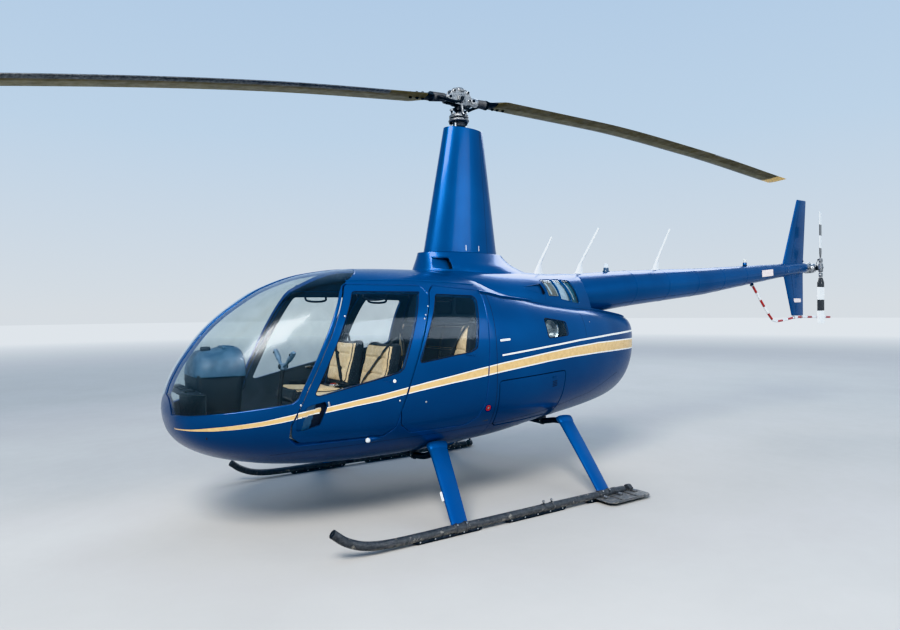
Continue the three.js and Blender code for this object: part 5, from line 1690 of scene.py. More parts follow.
for a, b in ((UP_A, UP_B), (LO_A, LO_B)):
    for side in (1, -1):
        for u in (0.16, 0.52, 0.86):
            pts = [on_fin(a, b, k, u, side) for k in np.linspace(0.10, 0.96, 22)]
            fin.join(heads(pts, [[0, side, 0]] * len(pts), r=2.6, h=0.7, mat=B_, segs=8))
        for k in (0.14, 0.5, 0.9):
            pts = [on_fin(a, b, k, u, side) for u in np.linspace(0.08, 0.94, 9)]
            fin.join(heads(pts, [[0, side, 0]] * len(pts), r=2.6, h=0.7, mat=B_, segs=8))
        # skin joint a third of the way back
        line = [on_fin(a, b, k, 0.34, side) + arr([0, side * 0.15, 0]) for k in np.linspace(0.06, 0.985, 30)]
        fin.join(sweep(line, 1.1, 6, S_))
# blank plate on the lower fin, fairings where the fins meet the casting
for side in (1, -1):
    out = arr([0, side * 1.0, 0])
    rings = []
    for u in np.linspace(0.30, 0.82, 12):
        d = 0.006 if u in (0.30, 0.82) else 0.0
        a_, b_ = on_fin(LO_A, LO_B, 0.62 + d, u, side), on_fin(LO_A, LO_B, 0.705 - d, u, side)
        rings.append(np.stack([a_ - out, a_ + out * 1.2, b_ + out * 1.2, b_ - out]))
    fin.join(loft(rings, mat=9))
for a, sgn in ((UP_A, 1), (LO_A, -1)):
    z0 = 2060 if sgn > 0 else 2005
    for side in (1, -1):
        pts = []
        for u in np.linspace(0.02, 0.98, 20):
            x = a[0][0] - abs(a[1][0]) * u
            c = arr(CASTING)[::-1]
            zc, r = np.interp(max(x, -5720), c[:, 0], c[:, 1]), np.interp(max(x, -5720), c[:, 0], c[:, 2])
            h = float(foil_half(np.array([u]))[0]) * 17 + 5
            pts.append([x, side * h, zc + sgn * math.sqrt(max(r * r - h * h, 1)) + sgn * 1.0])
        fin.join(sweep(pts, 5.0, 10, B_))
# position light on the fin's trailing edge
fin.join(lathe([(9, -10), (9, 4), (8, 6)], (-5716, 0, 2140), (-1, 0, 0), 24, mat=S_))
fin.join(lathe([(7.6, 0), (7.6, 8), (6, 13), (2.5, 15)], (-5722, 0, 2140), (-1, 0, 0), 24, mat=10))
make("tail_fins", fin, MATS_SKIN + [PLACARD, CLEAR_LENS], nodes=("tail_fin",))

stab = Part()
SA, SB = ([-5300, -46, 2030], [-330, 0, 0], [0, 0, 38]), ([-5330, -900, 2030], [-290, 0, 0], [0, 0, 30])
stab.join(wing(SA, SB, 26, 14))
for side in (1, -1):
    for k in (0.05, 0.3, 0.56, 0.8, 0.97):
        pts = [on_fin(SA, SB, k, u, side) for u in np.linspace(0.08, 0.94, 9)]
        stab.join(heads(pts, [[0, 0, side]] * len(pts), r=2.6, h=0.7, mat=B_, segs=8))
    for u in (0.18, 0.6):
        pts = [on_fin(SA, SB, k, u, side) for k in np.linspace(0.05, 0.97, 24)]
        stab.join(heads(pts, [[0, 0, side]] * len(pts), r=2.6, h=0.7, mat=B_, segs=8))
# bare strip along the trailing edge
stab.join(sweep([arr([-5626, -110, 2030]), arr([-5620, -880, 2030])], 3.2, 8, M_))
make("stabilizer", stab, MATS_SKIN, nodes=("horizontal_stabilizer",))

# ---- tail gearbox with its fins, sight glass and bolts
gb = Part()
gb.join(lathe([(50, -74), (58, -70), (62, -10), (62, 2)], (-5800, 0, 2046), (-1, 0, 0), 48, mat=0))
gb.join(lathe([(57, 0), (60, 6), (60, 14), (56, 18), (50, 20), (50, 70)], (-5724, 0, 2046), (-1, 0, 0), 48, mat=0))
prof = [(30, -75), (44, -73), (58, -62), (66, -52), (68, -44), (68, -20)]
for k in range(5):
    y = -16 + k * 13
    prof += [(62, y), (62, y + 3), (68, y + 3.6), (68, y + 8), (62, y + 8.6)]
prof += [(62, 62), (60, 70), (50, 82), (44, 90), (40, 95)]
gb.join(lathe(prof, (-5870, 0, 2045), (0, 1, 0), 48, mat=0))
gb.join(lathe([(22, 0), (22, 6), (17, 9), (16, 6), (0.05, 6)], (-5938, 18, 2045), (-1, 0, 0), 28, mat=1))
gb.join(lathe([(14, 0), (14, 14), (9, 18), (6, 22)], (-5860, 10, 2109), (0, 0, 1), 24, mat=1))
for k in range(8):
    a = k / 8 * 2 * math.pi + 0.2
    p = arr([-5870 + math.cos(a) * 52, 74, 2045 + math.sin(a) * 52])
    gb.join(lathe([(6.4, 0), (6.4, 5), (5.4, 6.4), (2, 6.6)], p, (0, 1, 0), 6, mat=1))
    gb.join(lathe([(6.4, 0), (6.4, 5), (5.4, 6.4), (2, 6.6)], p * arr([1, 0, 1]) + arr([0, -66, 0]), (0, -1, 0), 6, mat=1))
gb.join(sweep([[-5870, -66, 2036], [-5860, -82, 2010], [-5830, -60, 1990], [-5760, -40, 1996]], 5, 12, 2))
make("tail_gear_case", gb, [BARE, CHROME, RUBBER], nodes=("tail_gearbox",))

# ---- tail guard: a bent tube in red and white bands, carried by a strut under the lower fin
path = smooth_path([[-4500, 0, 1790], [-4700, 0, 1585], [-4905, 0, 1386], [-5010, 0, 1330], [-5150, 0, 1330], [-5400, 0, 1358], [-5560, 0, 1372], [-5900, 0, 1370], [-6430, 0, 1361]], 24)
seg = np.concatenate([[0], np.cumsum(np.linalg.norm(np.diff(path, axis=0), axis=1))])
total = seg[-1]
guard = Part()
nb = 17
for k in range(nb):
    a, b = total * k / nb, total * (k + 1) / nb
    q = np.linspace(a, b, 12)
    pts = np.stack([np.interp(q, seg, path[:, i]) for i in range(3)], 1)
    guard.join(sweep(pts, 15.2, 20, k % 2, caps=(k == 0, k == nb - 1), up=(0, 1, 0)))
guard.join(lathe([(15.2, 0), (13, 4), (7, 7)], path[-1] - arr([2, 0, 0]), (-1, 0, 0), 20, mat=0))
# clamp at the cone and the bracket under the fin
guard.join(lathe([(24, -8), (24, 2), (20, 6), (13, 22)], (-4490, 0, 1796), (-0.69, 0, -0.72), 28, mat=2))
for x in (-5470, -5660):
    zz = float(np.interp(-x, -path[:, 0], path[:, 2]))
    guard.join(lathe([(18.0, -11), (18.8, -9), (18.8, 9), (18.0, 11)], (x, 0, zz), (1, 0, 0), 28, mat=2))
    guard.join(block((16, 9, 34), (x, 0, zz + 24), r=2.5, segs=2, mat=2))
    guard.join(lathe([(5, -9), (5, 9)], (x, 0, zz + 22), (0, 1, 0), 12, mat=2))
make("guard_tube", guard, [RED, WHITE, BARE], nodes=("tail_guard",))

# ---- tail rotor: hub, pitch horns and the two banded blades
TX, TY, TZ = -5862, 165, 2045
hub = Part()
hub.join(lathe([(18, 100), (22, 102), (22, 138), (26, 140), (26, 146), (22, 148), (22, 186), (15, 192), (15, 197)], (TX, 0, TZ), (0, 1, 0), 36, mat=0))
hub.join(block((60, 42, 120), (TX, TY, TZ), r=10, segs=4, mat=0))
for s in (1, -1):
    hub.join(block((50, 36, 60), (TX, TY, TZ + s * 98), r=9, segs=3, mat=0))
    hub.join(lathe([(9, -31), (11, -29), (11, 29), (9, 31)], (TX, TY, TZ + s * 100), (1, 0, 0), 20, mat=1))
    hub.join(lathe([(13, -34), (13, -27), (11, -26)], (TX, TY, TZ + s * 100), (1, 0, 0), 6, mat=1))
    hub.join(lathe([(13, 27), (13, 33), (10, 35)], (TX, TY, TZ + s * 100), (1, 0, 0), 6, mat=1))
hub.join(lathe([(15, -33), (17, -31), (17, 31), (15, 33)], (TX, TY, TZ), (1, 0, 0), 28, mat=1))
# pitch slider with its links
hub.join(lathe([(24, -4), (34, -2), (34, 8), (26, 12), (24, 26)], (TX, 112, TZ), (0, 1, 0), 36, mat=2))
for s in (1, -1):
    hub.join(sweep([[TX + 26 * s, 118, TZ + 20 * s], [TX + 46 * s, 134, TZ + 66 * s], [TX + 40 * s, 150, TZ + 108 * s]], 5.2, 12, 1))
    hub.join(lathe([(9, -7), (10, -5), (10, 5), (9, 7)], (TX + 40 * s, 152, TZ + 108 * s), (0, 1, 0), 18, mat=2))
make("tail_hub_parts", hub, [CAST, BARE, DARK_METAL], body="tail_rotor", nodes=("tail_rotor_hub",))


def tail_blade(dirn):
    """Bands from the tip: white, black, white, then black to the root."""
    c, s = math.cos(math.radians(14)), -math.sin(math.radians(14)) * dirn
    stops = [(762, 588), (588, 437), (437, 267), (267, 134)]
    part = Part()
    for k, (a, b) in enumerate(stops):
        rr = np.linspace(a, b, 12 if k < 3 else 22)
        rings = []
        for r in rr:
            kk = 1.0 if r > 205 else 0.55 + 0.45 * max(0.0, (r - 134) / 71)
            tip = max(0.0, (r - 750) / 12)
            f = math.sqrt(max(1 - tip * tip, 0.04))
            ch = 128 * kk
            chord = arr([-ch * c, ch * s, 0])
            lead = arr([TX + ch * c / 2, TY - ch * s / 2, TZ + dirn * r])
            rings.append(foil_ring(lead, chord, arr([14 * s, 14 * c, 0]) * f, 20, 0.02))
        part.join(loft(rings, (k == 0, k == 3), mat=(0, 1, 0, 1)[k]))
    # root cuff with its rivets
    for r in (160, 185, 214):
        for sg in (1, -1):
            p = arr([TX, TY + sg * 7.2, TZ + dirn * r])
            part.join(heads([p], [[0, sg, 0]], r=5.0, h=2.0, mat=2, segs=12))
    return part


make("tail_blade_high", tail_blade(1), [WHITE, BLACK, BARE], body="tail_rotor", nodes=("tail_blade_upper",), angle=50)
make("tail_blade_low", tail_blade(-1), [WHITE, BLACK, BARE], body="tail_rotor", nodes=("tail_blade_lower",), angle=50)

# ---- three slim aerials and the beacon
ANT = [("front", -879, 1854, -1077, 2221), ("middle", -1426, 1871, -1732, 2350), ("rear", -2612, 1946, -2875, 2409)]
for nm, bx, bz, tx, tz in ANT:
    a = Part()
    rows = [([bx + 55, 0, bz - 30], [-120, 0, 0], [0, 34, 0]), ([bx + 42, 0, bz], [-106, 0, 0], [0, 30, 0]), ([bx + 24, 0, bz + 30], [-88, 0, 0], [0, 25, 0]),
            ([bx + 2, 0, bz + 68], [-62, 0, 0], [0, 21, 0]), ([bx - 10, 0, bz + 92], [-44, 0, 0], [0, 20, 0])]
    k0 = 92.0
    for k in np.linspace(0.12, 1, 22):
        z = bz + k0 + (tz - bz - k0) * k
        x = bx - 10 + (tx + 14 - (bx - 10)) * k
        rows.append(([x, 0, z], [-(38 - 13 * k), 0, 0], [0, 20 - 6.0 * k, 0]))
    rows.append(([tx + 9, 0, tz + 0.0], [-14, 0, 0], [0, 8, 0]))
    a.join(loft([foil_ring(*r, 16, 0.02) for r in rows], mat=0))
    zb = 1853 if nm == "front" else cone_at(bx)[0] + cone_at(bx)[1]
    foot = np.stack([np.cos(t) * 66 - 4, np.sin(t) * 24], 1)
    a.join(slab(foot[::2], (bx - 2, 0, zb - 3.0), (1, 0, -0.03 if nm != "rear" else -0.08), (0, 1, 0), 8.5, 2.5, mat=0))
    for dx in (-52, 44):
        for sy in (1, -1):
            a.join(heads([[bx + dx, sy * 9, zb + 5.4]], [[0, 0, 1]], r=4.5, h=1.6, mat=1, segs=12))
    make("aerial_" + nm, a, [WHITE, BARE], nodes=("antenna_" + nm,), angle=45)
bc = Part()
bx = -1832
zb = cone_at(bx)[0] + cone_at(bx)[1]
bc.join(lathe([(36, -6), (36, 7), (33, 11), (28, 14), (27, 38), (25, 42)], (bx, 0, zb), (0, 0, 1), 44, mat=0))
bc.join(lathe([(24, 0), (25, 10), (24, 24), (20, 34), (12, 41), (4, 43)], (bx, 0, zb + 41), (0, 0, 1), 44, mat=1))
for a in np.arange(4) / 4 * 2 * math.pi + 0.5:
    bc.join(heads([[bx + math.cos(a) * 32, math.sin(a) * 32, zb + 11.5]], [[math.cos(a), math.sin(a), 1.0]], r=3.0, h=1.6, mat=2, segs=10))
make("strobe", bc, [BLUE_IN, CLEAR_LENS, BARE])


# ------------------------------------------------------------------ main rotor
HZ = 3367.0
RX = (20.0, 0, 0)
SAGS = {1: [(330, 18), (1600, 159), (3200, 407), (5010, 767)], -1: [(330, -4), (1600, -7), (3200, 59), (5010, 204)]}


def sag(r, dirn):
    t = arr(SAGS[dirn])
    return mono(t[:, 0], t[:, 1:2])(np.clip(r, 330, 5010))[:, 0]


mast_p = Part()
# mast with its splines, then the teetering hub: two cheek plates, a core and the crossed bolts
mast_p.join(lathe([(30, 3085), (30, 3120), (34, 3122), (34, 3166), (30, 3168), (30, 3284), (36, 3288), (36, 3306), (31, 3312), (31, 3334)], (0, 0, 0), (0, 0, 1), 48, mat=0))
for k in range(18):
    a = k / 18 * 2 * math.pi
    mast_p.join(block((3.2, 3.2, 30), (math.cos(a) * 30.5, math.sin(a) * 30.5, 3285), r=0.8, segs=1, mat=0))
side_out = [[-150, -10], [-156, -26], [-142, -40], [-104, -42], [-78, -34], [-52, -50], [52, -50], [78, -34], [104, -42], [142, -40], [156, -26], [150, 6],
            [138, 22], [112, 30], [100, 60], [84, 84], [56, 92], [-40, 92], [-70, 84], [-92, 60], [-112, 30], [-138, 20]]
side_out = dense(rounded(side_out, 13, 5), 8)
for s in (1, -1):
    mast_p.join(slab(side_out, (0, 42 if s > 0 else -29, HZ), (1, 0, 0), (0, 0, 1), 13, 3.0, mat=1))
mast_p.join(block((150, 58, 96), (0, 0, HZ + 14), r=9, segs=3, mat=1))
for s in (1, -1):
    mast_p.join(block((70, 46, 44), (s * 104, 0, HZ - 3), r=10, segs=3, mat=2))
    for y in (1, -1):
        mast_p.join(lathe([(24, 0), (25, 3), (25, 9), (20, 12), (15, 12), (15, 15)], (s * 124, y * 42, HZ), (0, y, 0), 32, mat=2))
        mast_p.join(lathe([(14, 0), (14, 8), (12, 10), (5, 10), (4.6, 7), (0.05, 7)], (s * 124, y * 56, HZ), (0, y, 0), 6, mat=3))
# teeter bolt across, with pale bearing caps, and the lifting cap on top
for y in (1, -1):
    # two dark bolts high on each cheek, and one lower down
    for x, z in ((74, 62), (-72, 66), (-88, -2)):
        mast_p.join(lathe([(15, 0), (15, 3), (13, 5), (13, 7)], (x, y * 42, HZ + z), (0, y, 0), 24, mat=2))
        mast_p.join(lathe([(11, 4), (11, 11), (9, 13), (4, 13), (3.6, 11), (0.05, 11)], (x, y * 42, HZ + z), (0, y, 0), 6, mat=3))
for y in (1, -1):
    mast_p.join(lathe([(38, 0), (39, 4), (39, 10), (33, 14), (26, 14), (26, 18)], (0, y * 41, HZ + 6), (0, y, 0), 40, mat=1))
    mast_p.join(lathe([(18, 0), (18, 9), (15.5, 11), (6, 11), (5.5, 8), (0.05, 8)], (0, y * 57, HZ + 6), (0, y, 0), 6, mat=3))
    for k in range(6):
        a = k / 6 * 2 * math.pi + 0.3
        mast_p.join(lathe([(4, 0), (4, 3), (3, 4)], (math.cos(a) * 32, y * 53, HZ + 6 + math.sin(a) * 32), (0, y, 0), 8, mat=3))
mast_p.join(lathe([(52, 70), (54, 74), (54, 90), (49, 97), (40, 100), (38, 104), (22, 108), (20, 110), (8, 111)], (0, 0, HZ), (0, 0, 1), 44, mat=1))
for k in range(8):
    a = k / 8 * 2 * math.pi
    mast_p.join(lathe([(4.6, 0), (4.6, 4), (3.6, 5)], (math.cos(a) * 46, math.sin(a) * 46, HZ + 93), (0, 0, 1), 6, mat=3))
# droop stops under the hub
for s in (1, -1):
    mast_p.join(slab(dense(rounded([[-46, -12], [40, -18], [46, 10], [-40, 14]], 8, 4), 8), (s * 78, -16, HZ - 46), (s * 1.0, 0, 0), (0, 1, 0), 16, 3, mat=3))
make("rotor_mast_and_hub", mast_p.moved(at=RX), [DARK_METAL, CAST, BARE, DARK_METAL], body="main_rotor", nodes=("main_rotor_hub",))


def main_blade(dirn):
    """Grip, boot and pitch horn at the root, then the blade with its steel edge, doubler and painted tip."""
    part = Part()
    d = float(dirn)

    def at(r):
        return arr([d * r, 0, HZ - float(sag(np.array([r]), dirn)[0])])

    # slope of the blade's axis at the root, for the turned pieces
    ax = unit(at(520) - at(330))
    a0 = at(232)
    a0[2] = HZ - float(sag(np.array([330.0]), dirn)[0])
    a0 = a0 - ax * 88.0 + arr([0, 0, -ax[2] * 98])
    ribs = []
    if dirn > 0:
        # bellows nearly all the way to the blade's root
        part.join(lathe([(22, -4), (34, -2), (34, 8), (30, 10)], a0, ax, 40, mat=2))
        for k in range(12):
            h = 10 + k * 11.5
            ribs += [(31 + k * 0.5, h), (36 + k * 0.5, h + 3.6), (36 + k * 0.5, h + 6.2), (31 + k * 0.5, h + 10.0)]
        part.join(lathe([(28, 8)] + ribs + [(38, 149)], a0, ax, 44, mat=3))
    else:
        # pale cap, then a short dark bellows
        part.join(lathe([(22, -6), (34, -4), (38, 0), (38, 44), (34, 50), (30, 52)], a0, ax, 44, mat=2))
        for k in range(7):
            h = 52 + k * 12.5
            ribs += [(31 + k * 0.6, h), (36 + k * 0.6, h + 4.0), (36 + k * 0.6, h + 6.8), (31 + k * 0.6, h + 11.0)]
        part.join(lathe([(28, 50)] + ribs + [(38, 141)], a0, ax, 44, mat=3))
    part.join(lathe([(34, 140), (41, 144), (42, 150), (42, 158), (38, 164), (30, 176), (12, 180)], a0, ax, 44, mat=5))
    for k in range(10):
        a = k / 10 * 2 * math.pi
        u, v, _ = basis(ax)
        p = a0 + ax * 143 + (u * math.cos(a) + v * math.sin(a)) * 37
        part.join(lathe([(4, -6), (4, -1), (3.2, 0)], p, ax, 6, mat=4))
    # pitch horn and its link end, reaching to the leading side
    g = a0 + ax * 92
    tip = arr([d * 34, d * 91, HZ - 40])
    path = smooth_path([g + arr([0, d * 30, -14]), g + arr([-d * 26, d * 70, -24]), arr([d * 140, d * 102, HZ - 54]), arr([d * 84, d * 100, HZ - 50]), tip], 6)
    part.join(sweep(path, np.linspace(24, 12, len(path)), 14, 5, squash=(1.0, 0.66), up=(0, 1, 0)))
    part.join(lathe([(13, -13), (15, -11), (15, 11), (13, 13)], tip, (0, 0, 1), 24, mat=4))
    # blade: root fitting blends from an oval to the section
    u = (1 - np.cos(np.linspace(0, math.pi, 26))) / 2
    rr = np.concatenate([np.linspace(292, 760, 22), np.linspace(820, 4820, 56), np.linspace(4830, 4990, 6), [5002, 5008, 5010]])
    rings, mats = [], []
    for r in rr:
        k = np.clip((r - 300) / 130, 0, 1)
        k = k * k * (3 - 2 * k)
        chord, lead = 132 + (254 - 132) * k, 62 + (76 - 62) * k
        k = np.clip((r - 300) / 330, 0, 1)
        th = 58 + (29.4 - 58) * k * (2 - k)
        f = 1.0 if r < 4995 else max(0.25, math.sqrt(max(0.06, 1 - ((r - 4995) / 15.2) ** 2)))
        h = foil_half(u) * 0.5
        box = 0.5 * np.sin(np.pi * np.clip(u, 0.0005, 0.9995)) ** 0.55
        h = (box * (1 - k) + (h + 0.012 * u) * k) * th * f
        yy = lead - chord * u
        base_z = HZ - float(sag(np.array([max(r, 330)]), dirn)[0])
        top = np.stack([np.full(26, d * r), d * yy, base_z + h], 1)
        low = np.stack([np.full(24, d * r), d * yy[::-1][1:-1], base_z - h[::-1][1:-1]], 1)
        rings.append(np.vstack([top, low]))
    rings = arr(rings)
    n, m = rings.shape[:2]
    q = loft(rings, mat=0)
    f0 = q.faces[0]
    i = np.repeat(np.arange(n - 1), m)
    j = np.tile(np.arange(m), n - 1)
    # underside in two tones of painted light: the paler olive is a painted reflection of the floor, and the darker one,
    # along the forward edge of the fore blade and the after edge of the other, is painted shade
    fwd = (1 - np.cos(np.linspace(0, math.pi, 26))) / 2
    uj = np.where(j < 26, fwd[np.clip(j, 0, 25)], fwd[np.clip(50 - j, 0, 25)])
    mat = np.where(j < 25, 0, np.where((uj < 0.4) if dirn > 0 else (uj > 0.58), 8, 1))
    edge_top, edge_low = (j < 7), (j > m - 8)
    mat = np.where((edge_top | edge_low) & (rr[i] > 700), 6, mat)
    mat = np.where(rr[i] < 345, 5, mat)
    mat = np.where(rr[i] >= 4790, 7, mat)
    part.verts += q.verts
    for f, mt, c in q.faces:
        if len(f) == (n - 1) * m:
            part.faces.append((f + part.count, mat, c))
        else:
            part.faces.append((f + part.count, np.full(len(f), 7 if f[0, 0] > m else 5), c))
    part.count += q.count
    # root bolts, trim tab and tip cover screws
    for r, yy in ((372, 0), (430, 0), (492, -4)):
        z = HZ - float(sag(np.array([float(r)]), dirn)[0])
        for s in (1, -1):
            part.join(lathe([(12, 0), (12, 9), (9, 11), (4, 11)], (d * r, d * yy, z + s * (24 - (r - 372) * 0.05)), (0, 0, s), 6, mat=4))
            part.join(lathe([(16, -5), (16, 1.6), (13, 2.4)], (d * r, d * yy, z + s * (23 - (r - 372) * 0.05)), (0, 0, s), 24, mat=5))
    for r0 in (3500,):
        z = [HZ - float(sag(np.array([float(r)]), dirn)[0]) for r in (r0, r0 + 260)]
        p = [arr([d * r0, d * -170, z[0]]), arr([d * (r0 + 260), d * -170, z[1]])]
        rg = []
        for c in p:
            rg.append(np.stack([c + arr([0, d * 4, 2.2]), c + arr([0, d * -7.5, 0.7]), c + arr([0, d * -7.5, -0.7]), c + arr([0, d * 4, -2.2])]))
        part.join(loft(rg, mat=2))
    for r in (4836, 4970):
        z = HZ - float(sag(np.array([float(r)]), dirn)[0])
        for yy in (20, -40, -100):
            uu = (76 - yy) / 254
            h = float(foil_half(np.array([uu]))[0]) * 0.5 * 29.4 + 0.35 * uu
            part.join(heads([[d * r, d * yy, z + h], [d * r, d * yy, z - h]], [[0, 0, 1], [0, 0, -1]], r=4.5, h=1.0, mat=2, segs=10))
    return part


STEEL = alloy("edge_steel", srgb(84, 86, 88), srgb(126, 128, 130), rough=0.38, stain=srgb(60, 60, 58))
BM = [BLADE_UP, BLADE_UNDER_REFLECTED, BARE, SEALANT, DARK_METAL, DARK_METAL, STEEL, YELLOW, BLADE_UNDER_SHADED]
for dirn, name in ((1, "fore"), (-1, "aft")):
    make("blade_" + name, main_blade(dirn).moved(at=RX), BM, body="main_rotor", nodes=("main_blade_" + name,), angle=42)

# ---- swashplate: the turning part with its scissors and links
rot = Part()
rot.join(lathe([(34, 3210), (52, 3206), (80, 3206), (85, 3210), (86, 3214), (86, 3224), (83, 3229), (76, 3232), (62, 3236), (50, 3236), (47, 3232), (47, 3244), (42, 3250), (34, 3250)],
               (0, 0, 0), (0, 0, 1), 64, mat=0))
for k in range(12):
    a = k / 12 * 2 * math.pi
    rot.join(lathe([(5, 0), (5, 4), (4, 5)], (math.cos(a) * 70, math.sin(a) * 70, 3233), (0, 0, 1), 6, mat=1))
for s in (1, -1):
    lo, hi = arr([s * 8, s * 76, 3228]), arr([s * 32, s * 91, HZ - 44])
    rot.join(block((34, 30, 22), (s * 6, s * 74, 3222), r=6, segs=3, mat=2))
    w = unit(hi - lo)
    rot.join(sweep([lo, hi], 6.6, 14, 3))
    for p in (lo, hi):
        rot.join(lathe([(12, -8), (14, -6), (14, 6), (12, 8)], p, (1, 0, 0), 24, mat=1))
    rot.join(lathe([(10, -16), (10, 16)], (lo * 0.78 + hi * 0.22), w, 6, mat=1))
    rot.join(lathe([(10, -16), (10, 16)], (lo * 0.22 + hi * 0.78), w, 6, mat=1))
# scissors: two hinged arms to the mast
for s in (1, -1):
    a, b, c = arr([s * 38, 0, 3284]), arr([s * 80, 0, 3270]), arr([s * 68, 0, 3240])
    rot.join(sweep([a, b], [13, 9], 12, 2, squash=(1.0, 0.6), up=(0, 0, 1)))
    rot.join(sweep([b, c], [9, 12], 12, 2, squash=(1.0, 0.6), up=(1, 0, 0)))
    for p in (b, c):
        rot.join(lathe([(9, -14), (10, -12), (10, 12), (9, 14)], p, (0, 1, 0), 20, mat=1))
rot.join(lathe([(34, 3268), (41, 3272), (41, 3292), (34, 3296)], (0, 0, 0), (0, 0, 1), 48, mat=2))
make("swash_turning", rot.moved(at=RX), [CAST, BARE, DARK_METAL, CHROME], body="main_rotor", nodes=("swashplate_rotating",))

fixd = Part()
fixd.join(lathe([(44, 3176), (56, 3172), (80, 3172), (88, 3176), (90, 3180), (90, 3190), (86, 3195), (76, 3198), (58, 3198), (44, 3194)], (0, 0, 0), (0, 0, 1), 64, mat=0))
fixd.join(lathe([(44, 3128), (52, 3130), (58, 3140), (50, 3150), (58, 3160), (52, 3172), (44, 3172)], (0, 0, 0), (0, 0, 1), 56, mat=3))
for x, y in ((62, 36), (62, -36), (-74, 0)):
    fixd.join(sweep([[x, y, 3110], [x, y, 3172]], 7.6, 16, 1))
    fixd.join(lathe([(12, -9), (14, -6), (14, 6), (12, 9)], (x, y, 3164), (0, 1, 0), 22, mat=2))
    fixd.join(block((30, 26, 18), (x * 1.06, y * 1.06, 3180), r=6, segs=3, mat=0))
    fixd.join(lathe([(11, 0), (11, 8), (8, 10)], (x, y, 3111), (0, 0, 1), 6, mat=2))
for s in (1, -1):
    fixd.join(lathe([(7, 0), (7, 8), (5, 10)], (0, s * 84, 3186), (0, s, 0), 16, mat=2))
make("swash_fixed", fixd.moved(at=RX), [CAST, CHROME, DARK_METAL, SEALANT], nodes=("swashplate_fixed",))


# ------------------------------------------------------------------ landing gear
LEG = alloy("leg_steel", srgb(70, 74, 80), srgb(96, 100, 106), rough=0.4)
LEGS = [("front", 640, 470, 560, 812, 352), ("rear", -760, 520, 480, -580, 478)]
for name, tx, tz, ty, fx, zc in LEGS:
    g = Part()
    for side in (1, -1):
        a = ([tx + 78, side * ty, tz + 26], [-160, 0, 0], [0, side * 38, 29])
        b = ([fx + 66, side * 1112, 66], [-132, 0, 0], [0, side * 32, 24])
        rings = []
        for k in np.linspace(0, 1, 22):
            bow = arr([0, 0, 1.0]) * 6 * math.sin(math.pi * k)
            l = arr(a[0]) + (arr(b[0]) - arr(a[0])) * k + bow
            c = arr(a[1]) + (arr(b[1]) - arr(a[1])) * k
            t = arr(a[2]) + (arr(b[2]) - arr(a[2])) * k
            rings.append(foil_ring(l, c, t, 26, 0.03))
        g.join(loft(rings, mat=0))
        # cuff where the leg meets the belly
        cuff = []
        for k, grow in ((-0.02, 1.16), (0.0, 1.3), (0.02, 1.34), (0.05, 1.16), (0.07, 1.06)):
            l = arr(a[0]) + (arr(b[0]) - arr(a[0])) * k
            c, t = arr(a[1]) * (1 + (grow - 1) * 0.35), arr(a[2]) * grow
            cuff.append(foil_ring(l + arr([160 * (grow - 1) * 0.175, 0, 0]), c, t, 26, 0.05))
        g.join(loft(cuff, mat=0))
        # shoe that grips the skid tube, with its bolts
        x0 = fx
        g.join(lathe([(31, -58), (33.5, -54), (33.5, 54), (31, 58)], (x0, side * 1120, 45), (1, 0, 0), 36, mat=1))
        for dx in (-38, 38):
            g.join(lathe([(36.5, -7), (36.5, 7)], (x0 + dx, side * 1120, 45), (1, 0, 0), 36, mat=1))
            g.join(lathe([(6, 0), (6, 5), (4.5, 6.5)], (x0 + dx, side * 1094, 74), (0, -side * 0.5, 0.86), 6, mat=2))
            g.join(lathe([(6, 0), (6, 5), (4.5, 6.5)], (x0 + dx, side * 1146, 74), (0, side * 0.5, 0.86), 6, mat=2))
        if name == "front":
            # blank tag on the leading edge
            l = arr(a[0]) + (arr(b[0]) - arr(a[0])) * (0.34 if b[0][2] > a[0][2] else 0.66)
            dn = unit(arr(b[0]) - arr(a[0]))
            out = unit(np.cross(dn, arr([1.0, 0, 0])) * side)
            if out[2] < 0:
                out = -out
            n_ = unit(arr([0.8, 0, 0]) + out * 0.6)
            n_ = unit(n_ - dn * float(n_ @ dn))
            g.join(slab(dense(rounded([[-38, -15], [38, -15], [38, 15], [-38, 15]], 4, 3), 8), l + n_ * 1.5 + arr([-1.5, 0, 0]), dn, np.cross(n_, dn), 3.0, 0.8, mat=3))
    path = [[tx, ty + 20, tz - 10], [tx, ty * 0.75, zc + 30], [tx, ty * 0.4, zc], [tx, 0, zc - 2], [tx, -ty * 0.4, zc], [tx, -ty * 0.75, zc + 30], [tx, -ty - 20, tz - 10]]
    g.join(sweep(smooth_path(path, 8), 25.4, 28, 4))
    for y in (-ty * 0.4, ty * 0.4):
        g.join(lathe([(31, -17), (33, -15), (33, 15), (31, 17)], (tx, y, zc + 1), (0, 1, 0), 32, mat=1))
        g.join(block((76, 26, 60), (tx, y, zc + 38), r=5, segs=2, mat=1))
        for dx in (-30, 30):
            g.join(lathe([(6, 0), (6, 6), (4.5, 7.5)], (tx + dx, y, zc + 6), (0, 0, -1), 6, mat=2))
    make(name + "_gear_legs", g, [BLUE_LEG, SKID, BARE, WHITE, DARK_METAL], nodes=(name + "_cross_tube",))

